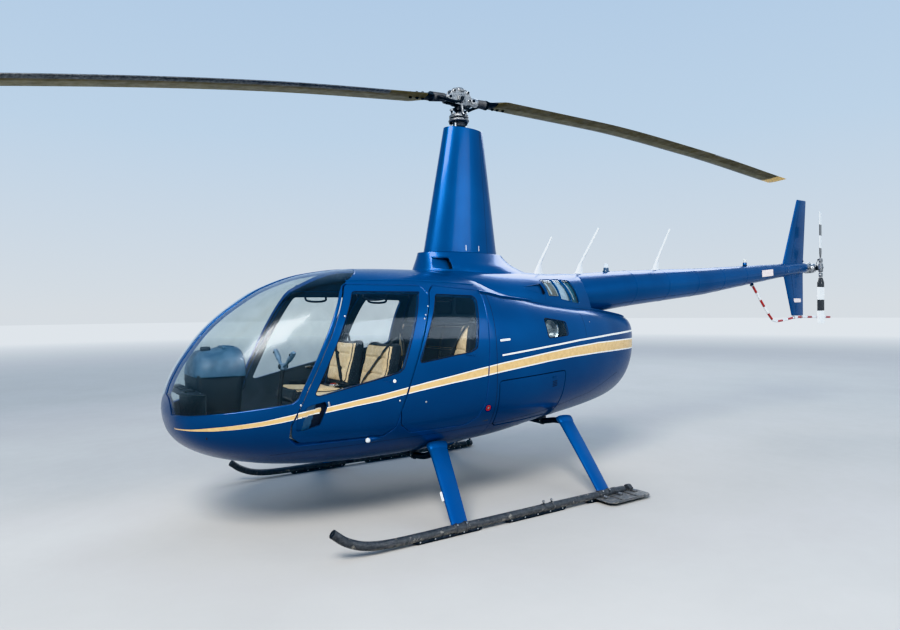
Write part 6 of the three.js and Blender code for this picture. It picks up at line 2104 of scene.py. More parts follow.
for side, name in ((1, "left"), (-1, "right")):
    y = side * 1120
    s = Part()
    pts = smooth_path([[-800, y, 45], [-500, y, 45], [-100, y, 45], [300, y, 45], [900, y, 45], [1300, y, 45], [1500, y - side * 2, 62], [1640, y - side * 4, 112], [1735, y - side * 10, 182]], 10)
    s.join(sweep(pts, 28.2, 32, 0, up=(0, 1, 0)))
    tan = unit(pts[-1] - pts[-3])
    s.join(lathe([(24, -3), (24, 1.4), (9, 1.5), (8.5, -2)], pts[-1], tan, 32, mat=1))
    s.join(lathe([(27, -2), (28, 1), (24, 3.4), (6, 4.6)], pts[0], (-1, 0, 0), 32, mat=2))
    # wear shoes with chamfered ends and screws
    for a, b in ((-760, -380), (-150, 420), (640, 1180)):
        ring = [np.stack([np.full(8, x), y + arr([-1, -1, -0.72, 0.72, 1, 1, 0.5, -0.5]) * w, arr([z0 + 12, z0 + 4, z0, z0, z0 + 4, z0 + 12, 27.5, 27.5])], 1)
                for x, w, z0 in ((a, 16, 9), (a + 26, 22, 0.4), (b - 26, 22, 0.4), (b, 16, 9))]
        s.join(loft(ring, mat=1))
        for x in np.linspace(a + 40, b - 40, 5):
            s.join(lathe([(6, -1), (6, 2), (4, 3.5)], (x, y + 22, 17), (0, 1, 0), 14, mat=3))
            s.join(lathe([(6, -1), (6, 2), (4, 3.5)], (x, y - 22, 17), (0, -1, 0), 14, mat=3))
    # flat bearing pad beside the tube, its saddles and wing bolts
    out = dense(rounded([[-925, 0], [-460, 0], [-460, 150], [-500, 188], [-885, 188], [-925, 150]], 26, 5), 22)
    s.join(slab(out, (0, side * 1131, 32 if side < 0 else 24), (1, 0, 0), (0, side, 0), 8.0, 2.0, mat=2))
    for x in (-860, -690, -525):
        s.join(lathe([(30.5, -20), (32.5, -17), (32.5, 17), (30.5, 20)], (x, y, 45), (1, 0, 0), 34, mat=4))
        s.join(block((40, 62, 8), (x, y + side * 52, 36), r=2.5, segs=2, mat=4))
        s.join(block((36, 12, 26), (x, y + side * 34, 46), r=3.5, segs=2, mat=4))
        for dy in (58, 74):
            s.join(lathe([(8, 0), (8, 6), (6, 8), (3, 12)], (x, y + side * dy, 40), (0, 0, 1), 6, mat=3))
    # raised rim and a handle bar on the pad
    s.join(sweep([[-880, y + side * 190, 33], [-505, y + side * 190, 33]], 5.0, 10, 4))
    s.join(block((26, 150, 6), (-775, y + side * 110, 34.5), r=2, segs=2, mat=4))
    s.join(block((26, 150, 6), (-605, y + side * 110, 34.5), r=2, segs=2, mat=4))
    # ground-handling lugs
    for x in (-20, 60):
        s.join(block((14, 10, 30), (x, y, 84), r=3, segs=2, mat=4))
        s.join(lathe([(8, -8), (9, -6), (9, 6), (8, 8)], (x, y, 92), (0, 1, 0), 20, mat=3))
        s.join(lathe([(30.4, -12), (31.6, -10), (31.6, 10), (30.4, 12)], (x, y, 45), (1, 0, 0), 34, mat=4))
    make("skid_tube_" + name, s, [SKID, DARK_METAL, PAD, BARE, SKID], nodes=("skid_" + name,))

# ---- small fittings on the hull: side lights, belly lamps, drains, steps
fitt = Part()
for side in (1, -1):
    # teardrop housing with a lens at its fore end
    tear = []
    for k, x in enumerate(np.linspace(0, 1, 14)):
        w = 24 * math.sqrt(max(0.0, 1 - ((x - 0.25) / 0.25) ** 2)) if x < 0.25 else 24 * (1 - ((x - 0.25) / 0.75) ** 1.7)
        w = max(w, 1.0)
        t = np.linspace(0, 2 * math.pi, 24, endpoint=False)
        tear.append(np.stack([np.full(24, 30 - x * 118), np.cos(t) * w, 5 + np.sin(t) * w * 0.95], 1))
    fitt.join(placed(body, loft(tear, mat=0), 1245, 622, side))
    lens = Part()
    lens.join(lathe([(17, 0), (17, 6), (15, 15), (10, 21), (4, 24)], (18, 0, 10), (0.86, 0, 0.5), 30, mat=5))
    lens.join(lathe([(19, -3), (19, 2), (17, 3)], (18, 0, 10), (0.86, 0, 0.5), 30, mat=1))
    fitt.join(placed(body, lens, 1245, 622, side))
    # grab step below the rear door
    p, n = body.on(600, 500, side)
    fitt.join(heads([p], [n], r=8, h=3, mat=1, segs=18))
# belly: landing lamps behind a ring, drains, vents, a small blade aerial and a transponder stub
for x, y, r, h in ((1640, 60, 56, 7), (1640, -60, 56, 7)):
    s_ = float(body.s_of(x))
    v = float(body.find_y(s_, y, top=False)[0])
    p, n = body.at(s_, v), body.normal(s_, v)
    fitt.join(lathe([(r, -3), (r, 3), (r - 6, 5), (r - 9, 2), (r - 9, -2)], p, n, 44, mat=1))
    fitt.join(lathe([(r - 9, -1), (r - 14, 2.2), (r * 0.4, 4.4), (0.05, 5)], p, n, 44, mat=5))
for x, y, r, h in ((900, 150, 9, 26), (850, -90, 9, 22), (420, 40, 14, 14), (60, 180, 8, 30), (-180, -120, 10, 24), (-420, 60, 12, 34), (-520, 20, 8, 40)):
    s_ = float(body.s_of(x))
    v = float(body.find_y(s_, y, top=False)[0])
    p, n = body.at(s_, v), body.normal(s_, v)
    fitt.join(lathe([(r * 1.5, -2), (r * 1.5, 2), (r, 4), (r, h), (r * 0.8, h + 1)], p, arr([0, 0, -1.0]), 20, mat=2))
for x in (1120, -560):
    s_ = float(body.s_of(x))
    v = float(body.find_y(s_, 0.01, top=False)[0])
    p = body.at(s_, v)
    rows = []
    for k in np.linspace(0, 1, 8):
        ch = 92 - 30 * k
        rows.append(foil_ring(p + arr([ch / 2 - 18 * k, 0, 8 - 78 * k]), [-ch, 0, 0], [0, 9 - 3 * k, 0], 14, 0.02))
    fitt.join(loft(rows, mat=2 if x > 0 else 3))
for x, w in ((1290, 420), (330, 460), (-330, 380)):
    pts = []
    s_ = float(body.s_of(x))
    vs = [float(body.find_y(s_, yy, top=False)[0]) for yy in np.linspace(-w, w, 25)]
    P = np.array([body.at(s_, v) + body.normal(s_, v) * 0.15 for v in vs])
    fitt.join(sweep(P, 1.5, 6, 6))
make("hull_fittings", fitt, [BLUE, BARE, SEAM_AND_SHADE, WHITE, WHITE, CLEAR_LENS, SEAM_AND_SHADE])

# ---- exhaust: a rolled pipe with a lip, clamp and soot inside
ex = Part()
ea, eb = arr([-1500, 0, 1130.0]), arr([-2060, 0, 1085.0])
ed = unit(eb - ea)
L = float(np.linalg.norm(eb - ea))
ex.join(lathe([(93, 0), (93, L - 60), (94.5, L - 46), (94.5, L - 8), (92, L - 1), (88, L - 0.5), (87, L - 8), (87.2, L - 60), (87.2, 6)], ea, ed, 64, mat=0))
ex.faces = ex.faces[:1]
ex.join(lathe([(86.8, 4), (86.8, L - 14), (86.3, L - 14), (86.3, 5), (1, 5), (1, 4)], ea, ed, 64, mat=1))
ex.join(lathe([(94.5, L - 300), (98, L - 298), (98, L - 278), (94.5, L - 276)], ea, ed, 64, mat=2))
for a in (0.4, 2.5, 4.6):
    u_, v_, _ = basis(ed)
    p = ea + ed * (L - 288) + (u_ * math.cos(a) + v_ * math.sin(a)) * 99
    ex.join(block((22, 12, 12), p, r=3, segs=2, mat=2))
make("tail_pipe", ex, [HOT, SOOT, BARE], nodes=("exhaust_pipe",), angle=50)


# ------------------------------------------------------------------ cabin inside
def half_width(x, z, inset=30.0):
    """How far out the skin stands at (x, z), less the inset."""
    lo, hi = 0.0, 760.0
    for _ in range(30):
        m = (lo + hi) / 2
        if body_depth(arr([[x, m, z]]))[0] > inset:
            lo = m
        else:
            hi = m
    return lo


fl = Part()
xs = np.linspace(201, 2198, 60)
w = arr([min(half_width(x, 622, 34), 660) for x in xs])
out = np.vstack([np.column_stack([xs, w]), np.column_stack([xs[::-1], -w[::-1]])])
fl.join(slab(out, (0, 0, 615.5), (1, 0, 0), (0, 1, 0), 24.0, 4.0, mat=0))


def prism(outline, y0, y1, bevel=6.0, mat=0, step=24, r=14):
    o = dense(rounded(outline, r, 4), step)
    return slab(o, (0, y1, 0), (1, 0, 0), (0, 0, 1), y1 - y0, bevel, mat)


for s in (1, -1):
    y0, y1 = sorted((s * 70, s * 560))
    fl.join(prism([[1010, 639], [1500, 639], [1500, 788], [1010, 770]], y0, y1, 5, mat=1))
    # kick strip and vent slots on the seat box
    fl.join(block((5, 440, 22), (1502, (y0 + y1) / 2, 664), r=2, segs=2, mat=3))
    for k in range(9):
        fl.join(block((5, 26, 5), (1501.5, y0 + 70 + k * 44, 716), r=1.5, segs=1, mat=3))
    # heel plates before the pedals
    fl.join(slab(dense(rounded([[1720, -120], [1990, -120], [1990, 120], [1720, 120]], 18, 4), 30), (0, s * 300, 638.8), (1, 0, 0), (0, 1, 0), 2.4, 0.8, mat=2))
    for k in range(7):
        fl.join(sweep([[1742 + k * 38, s * 300 - 100, 641.4], [1742 + k * 38, s * 300 + 100, 641.4]], 1.6, 6, 2))
    # seat rails
    for yy in (110, 520):
        fl.join(block((470, 16, 10), (1256, s * yy, 645), r=2, segs=1, mat=3))
# centre tunnel between the front seats and the long box under the bench
fl.join(prism([[960, 639], [1530, 639], [1530, 700], [1400, 726], [960, 726]], -62, 62, 6, mat=1))
wr = min(half_width(500, 700, 40), 640)
fl.join(prism([[203, 639], [790, 639], [790, 798], [203, 778]], -wr, wr, 5, mat=1))
for s in (-1, 0, 1):
    fl.join(block((5, 330, 20), (792, s * 400, 660), r=2, segs=2, mat=3))
# sill trims along both sides
for s in (1, -1):
    pts = [[x, s * (half_width(x, 648, 36) - 4), 648] for x in np.linspace(260, 2150, 40)]
    fl.join(sweep(pts, 9, 10, 3))
make("cabin_floor_trim", fl, [CARPET, TRIM, BARE, TRIM_DARK], nodes=("cabin_floor",))

# ---- bulkhead, baggage shelf and the wall before the engine
bh = Part()


def section(x, z0, z1, inset, n=60):
    zs = np.linspace(z0, z1, n)
    w = arr([half_width(x, z, inset) for z in zs])
    ok = w > 4
    return np.vstack([np.column_stack([w[ok], zs[ok]]), np.column_stack([-w[ok][::-1], zs[ok][::-1]])])


sec = section(190, 425, 1812, 32)
bh.join(slab(sec, (180.5, 0, 0), (0, 1, 0), (0, 0, 1), 18.0, 4.0, mat=0))
for yy in (-330, 0, 330):
    o = dense(rounded([[yy - 140, 1480], [yy + 140, 1480], [yy + 128, 1660], [yy - 128, 1660]], 40, 6), 20)
    bh.join(slab(o, (198, 0, 0), (0, 1, 0), (0, 0, 1), 9.0, 4.0, mat=1))
bh.join(slab(section(-697, 520, 1590, 20), (-704, 0, 0), (0, 1, 0), (0, 0, 1), 13.0, 1.5, mat=2))
xs = np.linspace(-688, 179, 30)
w = arr([half_width(x, 1037, 22) for x in xs])
bh.join(slab(np.vstack([np.column_stack([xs, w]), np.column_stack([xs[::-1], -w[::-1]])]), (0, 0, 1030.5), (1, 0, 0), (0, 1, 0), 14.0, 1.5, mat=2))
for k in range(9):
    y = -440 + k * 110
    bh.join(sweep([[-686, y, 1046], [176, y, 1046]], 2.4, 6, 2))
# floor mat in the baggage bay
xs = np.linspace(-670, 160, 24)
w = arr([half_width(x, 640, 26) for x in xs])
bh.join(slab(np.vstack([np.column_stack([xs, w]), np.column_stack([xs[::-1], -w[::-1]])]), (0, 0, 640), (1, 0, 0), (0, 1, 0), 6.0, 1.5, mat=3))
make("bulkhead_trim", bh, [HEADLINER, TRIM, TRIM_DARK, CARPET], nodes=("rear_bulkhead",))

# ---- instrument console: pedestal, hooded panel, plain round dials, radios and knobs
co = Part()
HOOD = plastic("hood_vinyl", srgb(58, 84, 108), srgb(78, 106, 130), rough=0.5, grain=520.0, depth=0.5)
FACE = plastic("panel_face", srgb(28, 30, 33), srgb(40, 42, 46), rough=0.55)
SCREEN = plastic("blank_screen", srgb(10, 18, 26), srgb(18, 30, 40), rough=0.12, depth=0.02, Coat_Weight=1.0, Coat_Roughness=0.04)


def hood_ring(x, w, z0, z1, e=2.8, n=72, lip=0.0):
    t = np.linspace(-math.pi / 2, 1.5 * math.pi, n, endpoint=False)
    c, s = np.cos(t), np.sin(t)
    zc = (z0 + z1) / 2
    y = (w + lip) * np.sign(c) * np.abs(c) ** (2 / e)
    k = np.where(s > 0, 2.1, 5.0)
    z = zc + ((z1 - z0) / 2 + lip) * np.sign(s) * np.abs(s) ** (2 / k)
    return np.stack([np.full(n, x), y, z], 1)


def cowl_ring(x, w, z1, z0=1084.0, n=88):
    """Hood section: an arch over a flat bottom, kept inside the windscreen."""
    t = np.linspace(-math.pi / 2, 1.5 * math.pi, n, endpoint=False)
    c, s = np.cos(t), np.sin(t)
    y = w * np.sign(c) * np.abs(c) ** (2 / 2.9)
    z = np.where(s > 0, z0 + (z1 - z0) * np.abs(s) ** (2 / 2.3), z0 - 9 * np.abs(s) ** 0.3)
    lim = arr([half_width(x, q, 40.0) for q in z])
    return np.stack([np.full(n, x), np.minimum(np.sign(y) * np.minimum(np.abs(y), lim) - 26, 242.0), z], 1)


rings = [cowl_ring(*a) for a in ((1994, 240, 1228, 1100), (1991, 256, 1252), (1987, 266, 1264), (1992, 270, 1270), (2030, 270, 1278), (2050, 268, 1280), (2080, 262, 1272), (2130, 256, 1258), (2180, 250, 1254),
                                 (2230, 240, 1250), (2262, 226, 1238), (2284, 206, 1206), (2296, 176, 1150), (2299, 120, 1118))]
co.join(loft(rings, (False, True), mat=0))
face = hood_ring(1993, 244, 982, 1234) + arr([0, -24, 0])
co.join(loft([face, face + arr([6, 0, 0])], (True, True), mat=1))
ped = []
LEVELS = ((641, 2024, 2184, 228), (662, 2021, 2188, 232), (800, 2013, 2232, 250), (930, 2005, 2282, 264), (1040, 1998, 2294, 268), (1092, 1996, 2290, 268))
for z, xa, xb, w in LEVELS:
    ped.append(dense(rounded([[xa, -w], [xb, -w * 0.8], [xb, w * 0.8], [xa, w]], 34, 6), 14))
rs = []
for o, (z, *_) in zip(ped, LEVELS):
    q = np.vstack([o, o[:1]])
    a = np.concatenate([[0], np.cumsum(np.linalg.norm(np.diff(q, axis=0), axis=1))])
    g = np.linspace(0, a[-1], 96, endpoint=False)
    x, y = np.interp(g, a, q[:, 0]), np.interp(g, a, q[:, 1])
    lim = arr([half_width(k, z, 40.0) for k in x])
    rs.append(np.stack([x, np.minimum(np.sign(y) * np.minimum(np.abs(y), lim) - 26, 242.0), np.full(96, z)], 1))
co.join(loft(rs, mat=2))


def dial(x, y, z, r, hand=40.0, ticks=10, axis=(-1, 0, 0)):
    p = Part()
    c = arr([x, y, z])
    a, b, n = basis(axis)
    p.join(lathe([(r + 7, 0), (r + 7, 3), (r + 3.5, 5.5), (r, 5.0), (r - 0.5, 1.6), (0.05, 1.6)], c, n, 40, mat=3))
    p.join(lathe([(r - 0.6, 1.0), (r - 0.6, 2.0), (0.05, 2.05)], c, n, 40, mat=4))
    for k in range(ticks):
        t = math.radians(225 - k * 270 / (ticks - 1))
        d = a * math.cos(t) + b * math.sin(t)
        p.join(sweep([c + d * (r * 0.72) + n * 2.3, c + d * (r * 0.9) + n * 2.3], 0.7 if k % 2 else 1.1, 5, 5))
    t = math.radians(hand)
    d = a * math.cos(t) + b * math.sin(t)
    p.join(sweep([c - d * r * 0.18 + n * 3.0, c + d * r * 0.7 + n * 3.0], [1.5, 0.6], 6, 5))
    p.join(lathe([(3.4, 2), (3.4, 4.2), (2, 4.8)], c, n, 16, mat=3))
    return p


for (y, z, r, hnd) in ((-212, 1120, 36, 70), (-122, 1130, 38, 130), (-38, 1132, 38, 20), (-212, 1032, 36, 160), (-122, 1036, 38, 95), (-38, 1038, 38, 45), (46, 1166, 27, 80), (46, 1104, 27, 110)):
    co.join(dial(1993, y, z, r, hnd))
for k, (y, z) in enumerate([(110, 1180), (110, 1136), (110, 1092), (110, 1048), (156, 1160), (156, 1116), (156, 1072)]):
    co.join(dial(1993, y, z, 17, 30 + k * 25, 7))
# two radios and a blank screen, with knobs
for z, h in ((1020, 34), (1062, 34)):
    co.join(block((8, 72, h), (1991, 48, z), r=2, segs=1, mat=3))
co.join(block((9, 50, 92), (1990, 204, 1110), r=4, segs=2, mat=3))
co.join(block((4, 38, 74), (1985.5, 204, 1112), r=2, segs=1, mat=6))
for z in (930, 888, 846, 804):
    co.join(block((10, 166, 36), (2004 + (930 - z) * 0.03, 0, z), r=2.5, segs=1, mat=3))
    co.join(block((3, 84, 18), (1998.5 + (930 - z) * 0.03, 4, z), r=1, segs=1, mat=6))
    for y in (-68, 68):
        co.join(lathe([(9, 0), (9, 9), (7.5, 11), (3, 11.5)], (1999 + (930 - z) * 0.03, y, z), (-1, 0, 0), 20, mat=4))
for k in range(12):
    co.join(lathe([(4.5, 0), (4.5, 7), (3.4, 9)], (2010, -62 + (k % 6) * 25, 768 - (k // 6) * 26), (-1, 0, 0), 14, mat=4))
for k in range(7):
    co.join(block((6, 26, 11), (1991, -210 + k * 34, 1186), r=1.5, segs=1, mat=4))
# compass on the hood, and glare shield piping
co.join(block((58, 56, 34), (2204, 24, 1260), r=10, segs=3, mat=2))
co.join(lathe([(15, 0), (15, 3), (11, 5), (4, 5.4)], (2174, 24, 1262), (-1, 0, 0), 28, mat=6))
co.join(block((84, 150, 26), (2060, 20, 1266), r=11, segs=3, mat=0))
lip = hood_ring(1987, 262, 962, 1262) + arr([0, -26, 0])
co.join(sweep(lip[::2], 3.2, 8, 2, close=True))
make("console", co, [HOOD, FACE, TRIM_DARK, TRIM_DARK, DIAL, MARK, SCREEN], nodes=("instrument_console",))

# ---- nose shelf over the avionics bay, forward of the console
ns = Part()
xs = np.linspace(2288, 2418, 18)
w = arr([max(half_width(x, 985, 34), 40) for x in xs])
ns.join(slab(np.vstack([np.column_stack([xs, w]), np.column_stack([xs[::-1], -w[::-1]])]), (0, 0, 978), (1, 0, 0), (0, 1, 0), 9.0, 2.5, mat=0))
w = half_width(2292, 985, 36)
ns.join(prism([[2284, 700], [2292, 700], [2292, 984], [2284, 984]], -w, w, 2.0, mat=0, r=2))
for y in (-150, 0, 150):
    ns.join(block((60, 90, 22), (2340, y, 990), r=6, segs=3, mat=1))
for x, y in ((2300, -300), (2300, 300), (2380, -150), (2380, 150), (2310, 0)):
    ns.join(lathe([(7, 0), (7, 4), (5, 6)], (x, y, 982), (0, 0, 1), 14, mat=2))
make("nose_shelf", ns, [TRIM_DARK, RUBBER, BARE])

# ---- flying controls
cy = Part()
cy.join(lathe([(58, 0), (58, 4), (50, 8), (44, 16), (50, 20), (38, 28), (42, 33), (30, 42), (33, 47), (22, 58), (17, 70)], (1666, 0, 641), (0, 0, 1), 36, mat=0))
post = smooth_path([[1665, 0, 660], [1670, 0, 780], [1662, 0, 930], [1646, 0, 1050], [1639, 0, 1096]], 8)
cy.join(sweep(post, 15.5, 24, 2))
cy.join(block((50, 52, 50), (1638, 0, 1104), r=12, segs=4, mat=4))
cy.join(lathe([(16, -34), (18, -31), (18, 31), (16, 34)], (1638, 0, 1106), (1, 0, 0), 26, mat=2))
for s in (1, -1):
    arm = smooth_path([[1638, s * 8, 1104], [1637, s * 54, 1122], [1634, s * 96, 1146], [1632, s * 122, 1164]], 8)
    cy.join(sweep(arm, 13.0, 20, 4))
    grip = smooth_path([[1633, s * 106, 1152], [1631, s * 130, 1170], [1629, s * 160, 1190], [1628, s * 192, 1212], [1628, s * 204, 1221]], 6)
    rad = np.interp(np.arange(len(grip)), [0, 4, 9, 14, 19, len(grip) - 1], [17, 20, 18, 20, 18, 14])
    cy.join(sweep(grip, rad, 24, 4, squash=(1.0, 0.88), up=(1, 0, 0)))
    for k in range(5):
        p = arr([1630, s * (132 + k * 12), 1171.5 + k * 8.1])
        cy.join(lathe([(18.6, -2.4), (20.2, -1), (20.2, 1), (18.6, 2.4)], p, (0, s * 0.83, 0.56), 22, mat=4))
    cy.join(lathe([(6, 0), (6, 4), (4.5, 6)], (1619, s * 196, 1222), (-0.6, 0, 0.8), 18, mat=3))
    cy.join(block((12, 16, 14), (1648, s * 176, 1202), r=3, segs=2, mat=2))
# collective between the seats, pedals for both places
col = smooth_path([[1120, -22, 716], [1240, -22, 742], [1400, -24, 800], [1520, -26, 862]], 8)
cy.join(sweep(col, 12, 18, 1))
cy.join(sweep(col[-9:] + arr([4, 0, 2]), 18, 20, 0))
cy.join(lathe([(34, 0), (34, 3), (28, 6), (26, 14), (18, 22)], (1118, -22, 724), (0.3, 0, 1), 28, mat=0))
for base_y in (300, -300):
    for s in (1, -1):
        y = base_y + s * 92
        cy.join(sweep([[2120, y, 645], [2128, y, 700], [2116, y, 760]], 8, 14, 1))
        cy.join(sweep([[2114, y - 46, 762], [2114, y + 46, 762]], 7.5, 14, 1))
        cy.join(block((12, 92, 62), (2104, y, 762), r=4, segs=2, mat=2, rot=rot_about((0, 1, 0), 18)))
        for k in range(4):
            cy.join(sweep([[2096 - k * 0.6, y - 40, 742 + k * 13], [2096 - k * 0.6, y + 40, 742 + k * 13]], 2.0, 6, 2))
        cy.join(lathe([(16, 0), (16, 4), (10, 8)], (2120, y, 640), (0, 0, 1), 20, mat=2))
    cy.join(sweep([[2122, base_y - 130, 652], [2122, base_y + 130, 652]], 9, 16, 2))
GRIP = plastic("grip_grey", srgb(96, 118, 142), srgb(126, 148, 170), rough=0.55, grain=420.0, depth=0.4)
make("controls", cy, [RUBBER, BARE, TRIM_DARK, RED, GRIP], nodes=("cyclic_stick",))

# overhead panel, dome lamp and grab handles under the roof
oh = Part()


def roof_at(x, y=0.0, inset=30.0):
    lo, hi = 1200.0, 1860.0
    for _ in range(30):
        m = (lo + hi) / 2
        if body_depth(arr([[x, y, m]]))[0] > inset:
            lo = m
        else:
            hi = m
    return lo


for x0, L, w, h in ((1010, 300, 200, 46),):
    z = roof_at(x0 - L / 2) - h / 2 + 2
    oh.join(block((L, w, h), (x0, 0, z), r=14, segs=4, mat=0))
    for k in (-1, 1):
        oh.join(lathe([(27, 0), (27, 5), (21, 8), (17, 5), (0.05, 5)], (x0 + 70, k * 48, z - h / 2), (0, 0, -1), 28, mat=1))
    oh.join(lathe([(22, 0), (21, 6), (12, 10)], (x0 - 80, 0, z - h / 2), (0, 0, -1), 28, mat=2))
# the rib that runs along the roof
rib = [[x, 0, roof_at(x) - 10] for x in np.linspace(230, 1120, 26)]
oh.join(sweep(rib, 26, 14, 0, squash=(0.5, 1.4), up=(0, 0, 1)))
for s in (1, -1):
    for x in (1150, 560):
        y = s * 560
        z = roof_at(x, y, 40) - 4
        oh.join(sweep(smooth_path([[x + 95, y, z], [x + 82, y - s * 14, z - 34], [x, y - s * 18, z - 44], [x - 82, y - s * 14, z - 34], [x - 95, y, z]], 5), 9, 14, 1))
make("roof_fittings", oh, [TRIM_DARK, TRIM_DARK, CLEAR_LENS])

# ---- machinery behind the windows: gearbox, duct, engine
en = Part()
c0 = arr([-1090, 0, 1095.0])
en.join(lathe([(60, -290), (120, -284), (150, -262), (150, -200), (120, -180), (112, -120), (150, -96), (158, -70), (158, 20), (140, 40), (118, 56), (118, 130), (92, 150), (92, 210), (70, 230), (70, 286), (30, 290)],
               c0, (1, 0, 0), 56, mat=0))
for h in (-262, -200, -96, 20, 130):
    r = {-262: 152, -200: 152, -96: 156, 20: 159, 130: 118}[h]
    en.join(lathe([(r, -5), (r + 8, -4), (r + 8, 4), (r, 5)], c0 + arr([h, 0, 0]), (1, 0, 0), 56, mat=1))
    for k in range(18):
        a = k / 18 * 2 * math.pi
        en.join(lathe([(4.5, -8), (4.5, 8)], c0 + arr([h, math.cos(a) * (r + 3), math.sin(a) * (r + 3)]), (1, 0, 0), 6, mat=1))
en.join(block((200, 210, 170), (-920, 0, 1185), r=22, segs=4, mat=2))
en.join(block((130, 120, 120), (-1010, 0, 965), r=18, segs=4, mat=2))
for s in (1, -1):
    en.join(sweep(smooth_path([[-860, s * 40, 1000], [-900, s * 130, 990], [-1040, s * 172, 1040], [-1220, s * 160, 1060], [-1330, s * 110, 1110]], 8), 20, 18, 3))
    en.join(sweep(smooth_path([[-850, s * 60, 1250], [-960, s * 150, 1240], [-1120, s * 176, 1200], [-1290, s * 120, 1170]], 8), 8, 12, 4))
    en.join(lathe([(36, -70), (40, -66), (40, 66), (36, 70)], (-960, s * 130, 1100), (1, 0, 0), 30, mat=1))
en.join(sweep(smooth_path([[-1330, 0, 1130], [-1420, 0, 1140], [-1480, 0, 1132]], 6), 84, 40, 3))
make("engine", en, [HOT, BARE, CAST, DARK_METAL, SEALANT], nodes=("engine_block",))
mc = Part()
mc.join(lathe([(150, 1500), (190, 1506), (196, 1530), (196, 1640), (180, 1660), (160, 1700), (128, 1760), (96, 1820), (84, 1880), (60, 1900), (44, 1980)], (0, 0, 0), (0, 0, 1), 56, mat=0))
for k in range(16):
    a = k / 16 * 2 * math.pi
    mc.join(lathe([(6, 0), (6, 8), (4, 10)], (math.cos(a) * 186, math.sin(a) * 186, 1648), (0, 0, 1), 6, mat=1))
mc.join(sweep([[-180, 0, 1585], [-860, 0, 1330]], 30, 24, 1))
mc.join(lathe([(56, -14), (62, -10), (62, 10), (56, 14)], (-520, 0, 1458), (-0.936, 0, -0.351), 36, mat=1))
for s in (1, -1):
    # round cooling ducts with their clamps, and the inlet boxes over them
    mc.join(lathe([(86, 170), (112, 178), (116, 190), (116, 498), (110, 512), (96, 519), (87, 510), (85, 430), (0.05, 430)], (-570, 0, 1330), (0, s, 0), 64, mat=3))
    for h in (220, 470):
        mc.join(lathe([(116, -7), (121, -5), (121, 5), (116, 7)], (-570, s * h, 1330), (0, s, 0), 56, mat=2))
    mc.join(block((30, 20, 16), (-556, s * 470, 1450), r=4, segs=2, mat=2))
    mc.join(block((300, 170, 130), (-880, s * 250, 1560), r=22, segs=4, mat=4))
    mc.join(sweep(smooth_path([[-760, s * 180, 1560], [-650, s * 230, 1520], [-600, s * 290, 1450]], 6), 38, 24, 4))
    mc.join(sweep(smooth_path([[-300, s * 120, 1600], [-420, s * 260, 1520], [-520, s * 320, 1440]], 6), 12, 14, 1))
# deck that closes the bay above the baggage space
xs = np.linspace(-1390, 160, 40)
w = arr([max(half_width(x, 1500, 26), 30) for x in xs])
mc.join(slab(np.vstack([np.column_stack([xs, w]), np.column_stack([xs[::-1], -w[::-1]])]), (0, 0, 1492), (1, 0, 0), (0, 1, 0), 6.0, 1.5, mat=5))
make("gearbox_and_ducts", mc, [CAST, BARE, BARE, CHROME, TRIM_DARK, TRIM_DARK])


# ---- padded seats: each starts from a smaller closed form that cloth pressure swells
def closed_form(outline, y0, y1, voxel, name):
    """The starting form, remeshed evenly."""
    c = arr(outline).mean(0)
    rings = []
    ny = max(8, int((y1 - y0) / 40))
    for k, y in enumerate(np.linspace(y0, y1, ny)):
        e = min(k, ny - 1 - k)
        o = dense(rounded(grown(arr(outline), -(9.0 + (12.0 if e == 0 else 0.0))), 22, 6), 14)
        rings.append((o, y))
    m = 96
    rs = []
    for o, y in rings:
        q = np.vstack([o, o[:1]])
        a = np.concatenate([[0], np.cumsum(np.linalg.norm(np.diff(q, axis=0), axis=1))])
        g = np.linspace(0, a[-1], m, endpoint=False)
        rs.append(np.stack([np.interp(g, a, q[:, 0]), np.full(m, y), np.interp(g, a, q[:, 1])], 1))
    p = loft(rs, mat=0)
    v = np.concatenate(p.verts) * 0.001
    v[:, 0] += SHIFT
    me = bpy.data.meshes.new(name)
    me.from_pydata(v.tolist(), [], [list(map(int, x)) for f, _, _ in p.faces for x in f])
    ob = bpy.data.objects.new(name, me)
    bpy.context.scene.collection.objects.link(ob)
    r = ob.modifiers.new("r", "REMESH")
    r.mode, r.voxel_size = "VOXEL", voxel * 0.001
    dg = bpy.context.evaluated_depsgraph_get()
    me2 = bpy.data.meshes.new_from_object(ob.evaluated_get(dg))
    ob.modifiers.clear()
    ob.data = me2
    bpy.data.meshes.remove(me)
    return ob


PADS = [
    ("front_seat_cushion_left", [[1012, 776], [1520, 794], [1556, 830], [1530, 905], [1105, 880], [1012, 866]], 82, 548, 11.5, "cushion", (0.5,)),
    ("front_seat_cushion_right", [[1012, 776], [1520, 794], [1556, 830], [1530, 905], [1105, 880], [1012, 866]], -548, -82, 11.5, "cushion", (0.5,)),
    ("front_seat_back_left", [[958, 880], [1092, 884], [988, 1290], [892, 1290]], 82, 548, 11.5, "back", (0.36, 0.68)),
    ("front_seat_back_right", [[958, 880], [1092, 884], [988, 1290], [892, 1290]], -548, -82, 11.5, "back", (0.36, 0.68)),
    ("rear_seat_cushion", [[330, 790], [800, 804], [838, 840], [812, 905], [340, 885]], -600, 600, 14.5, "cushion", (0.5,)),
    ("rear_seat_back", [[212, 796], [322, 796], [330, 893], [398, 915], [322, 1440], [216, 1440]], -588, 588, 14.5, "back", (0.30, 0.62)),
]
forms = {}
for nm, outline, y0, y1, voxel, kind, _ in PADS:
    if nm == "rear_seat_cushion":
        lim = min(half_width(x, 850, 46) for x in (340, 820))
        y0, y1 = -min(600, lim), min(600, lim)
    forms[nm] = closed_form(outline, y0, y1, voxel, nm + "_form")
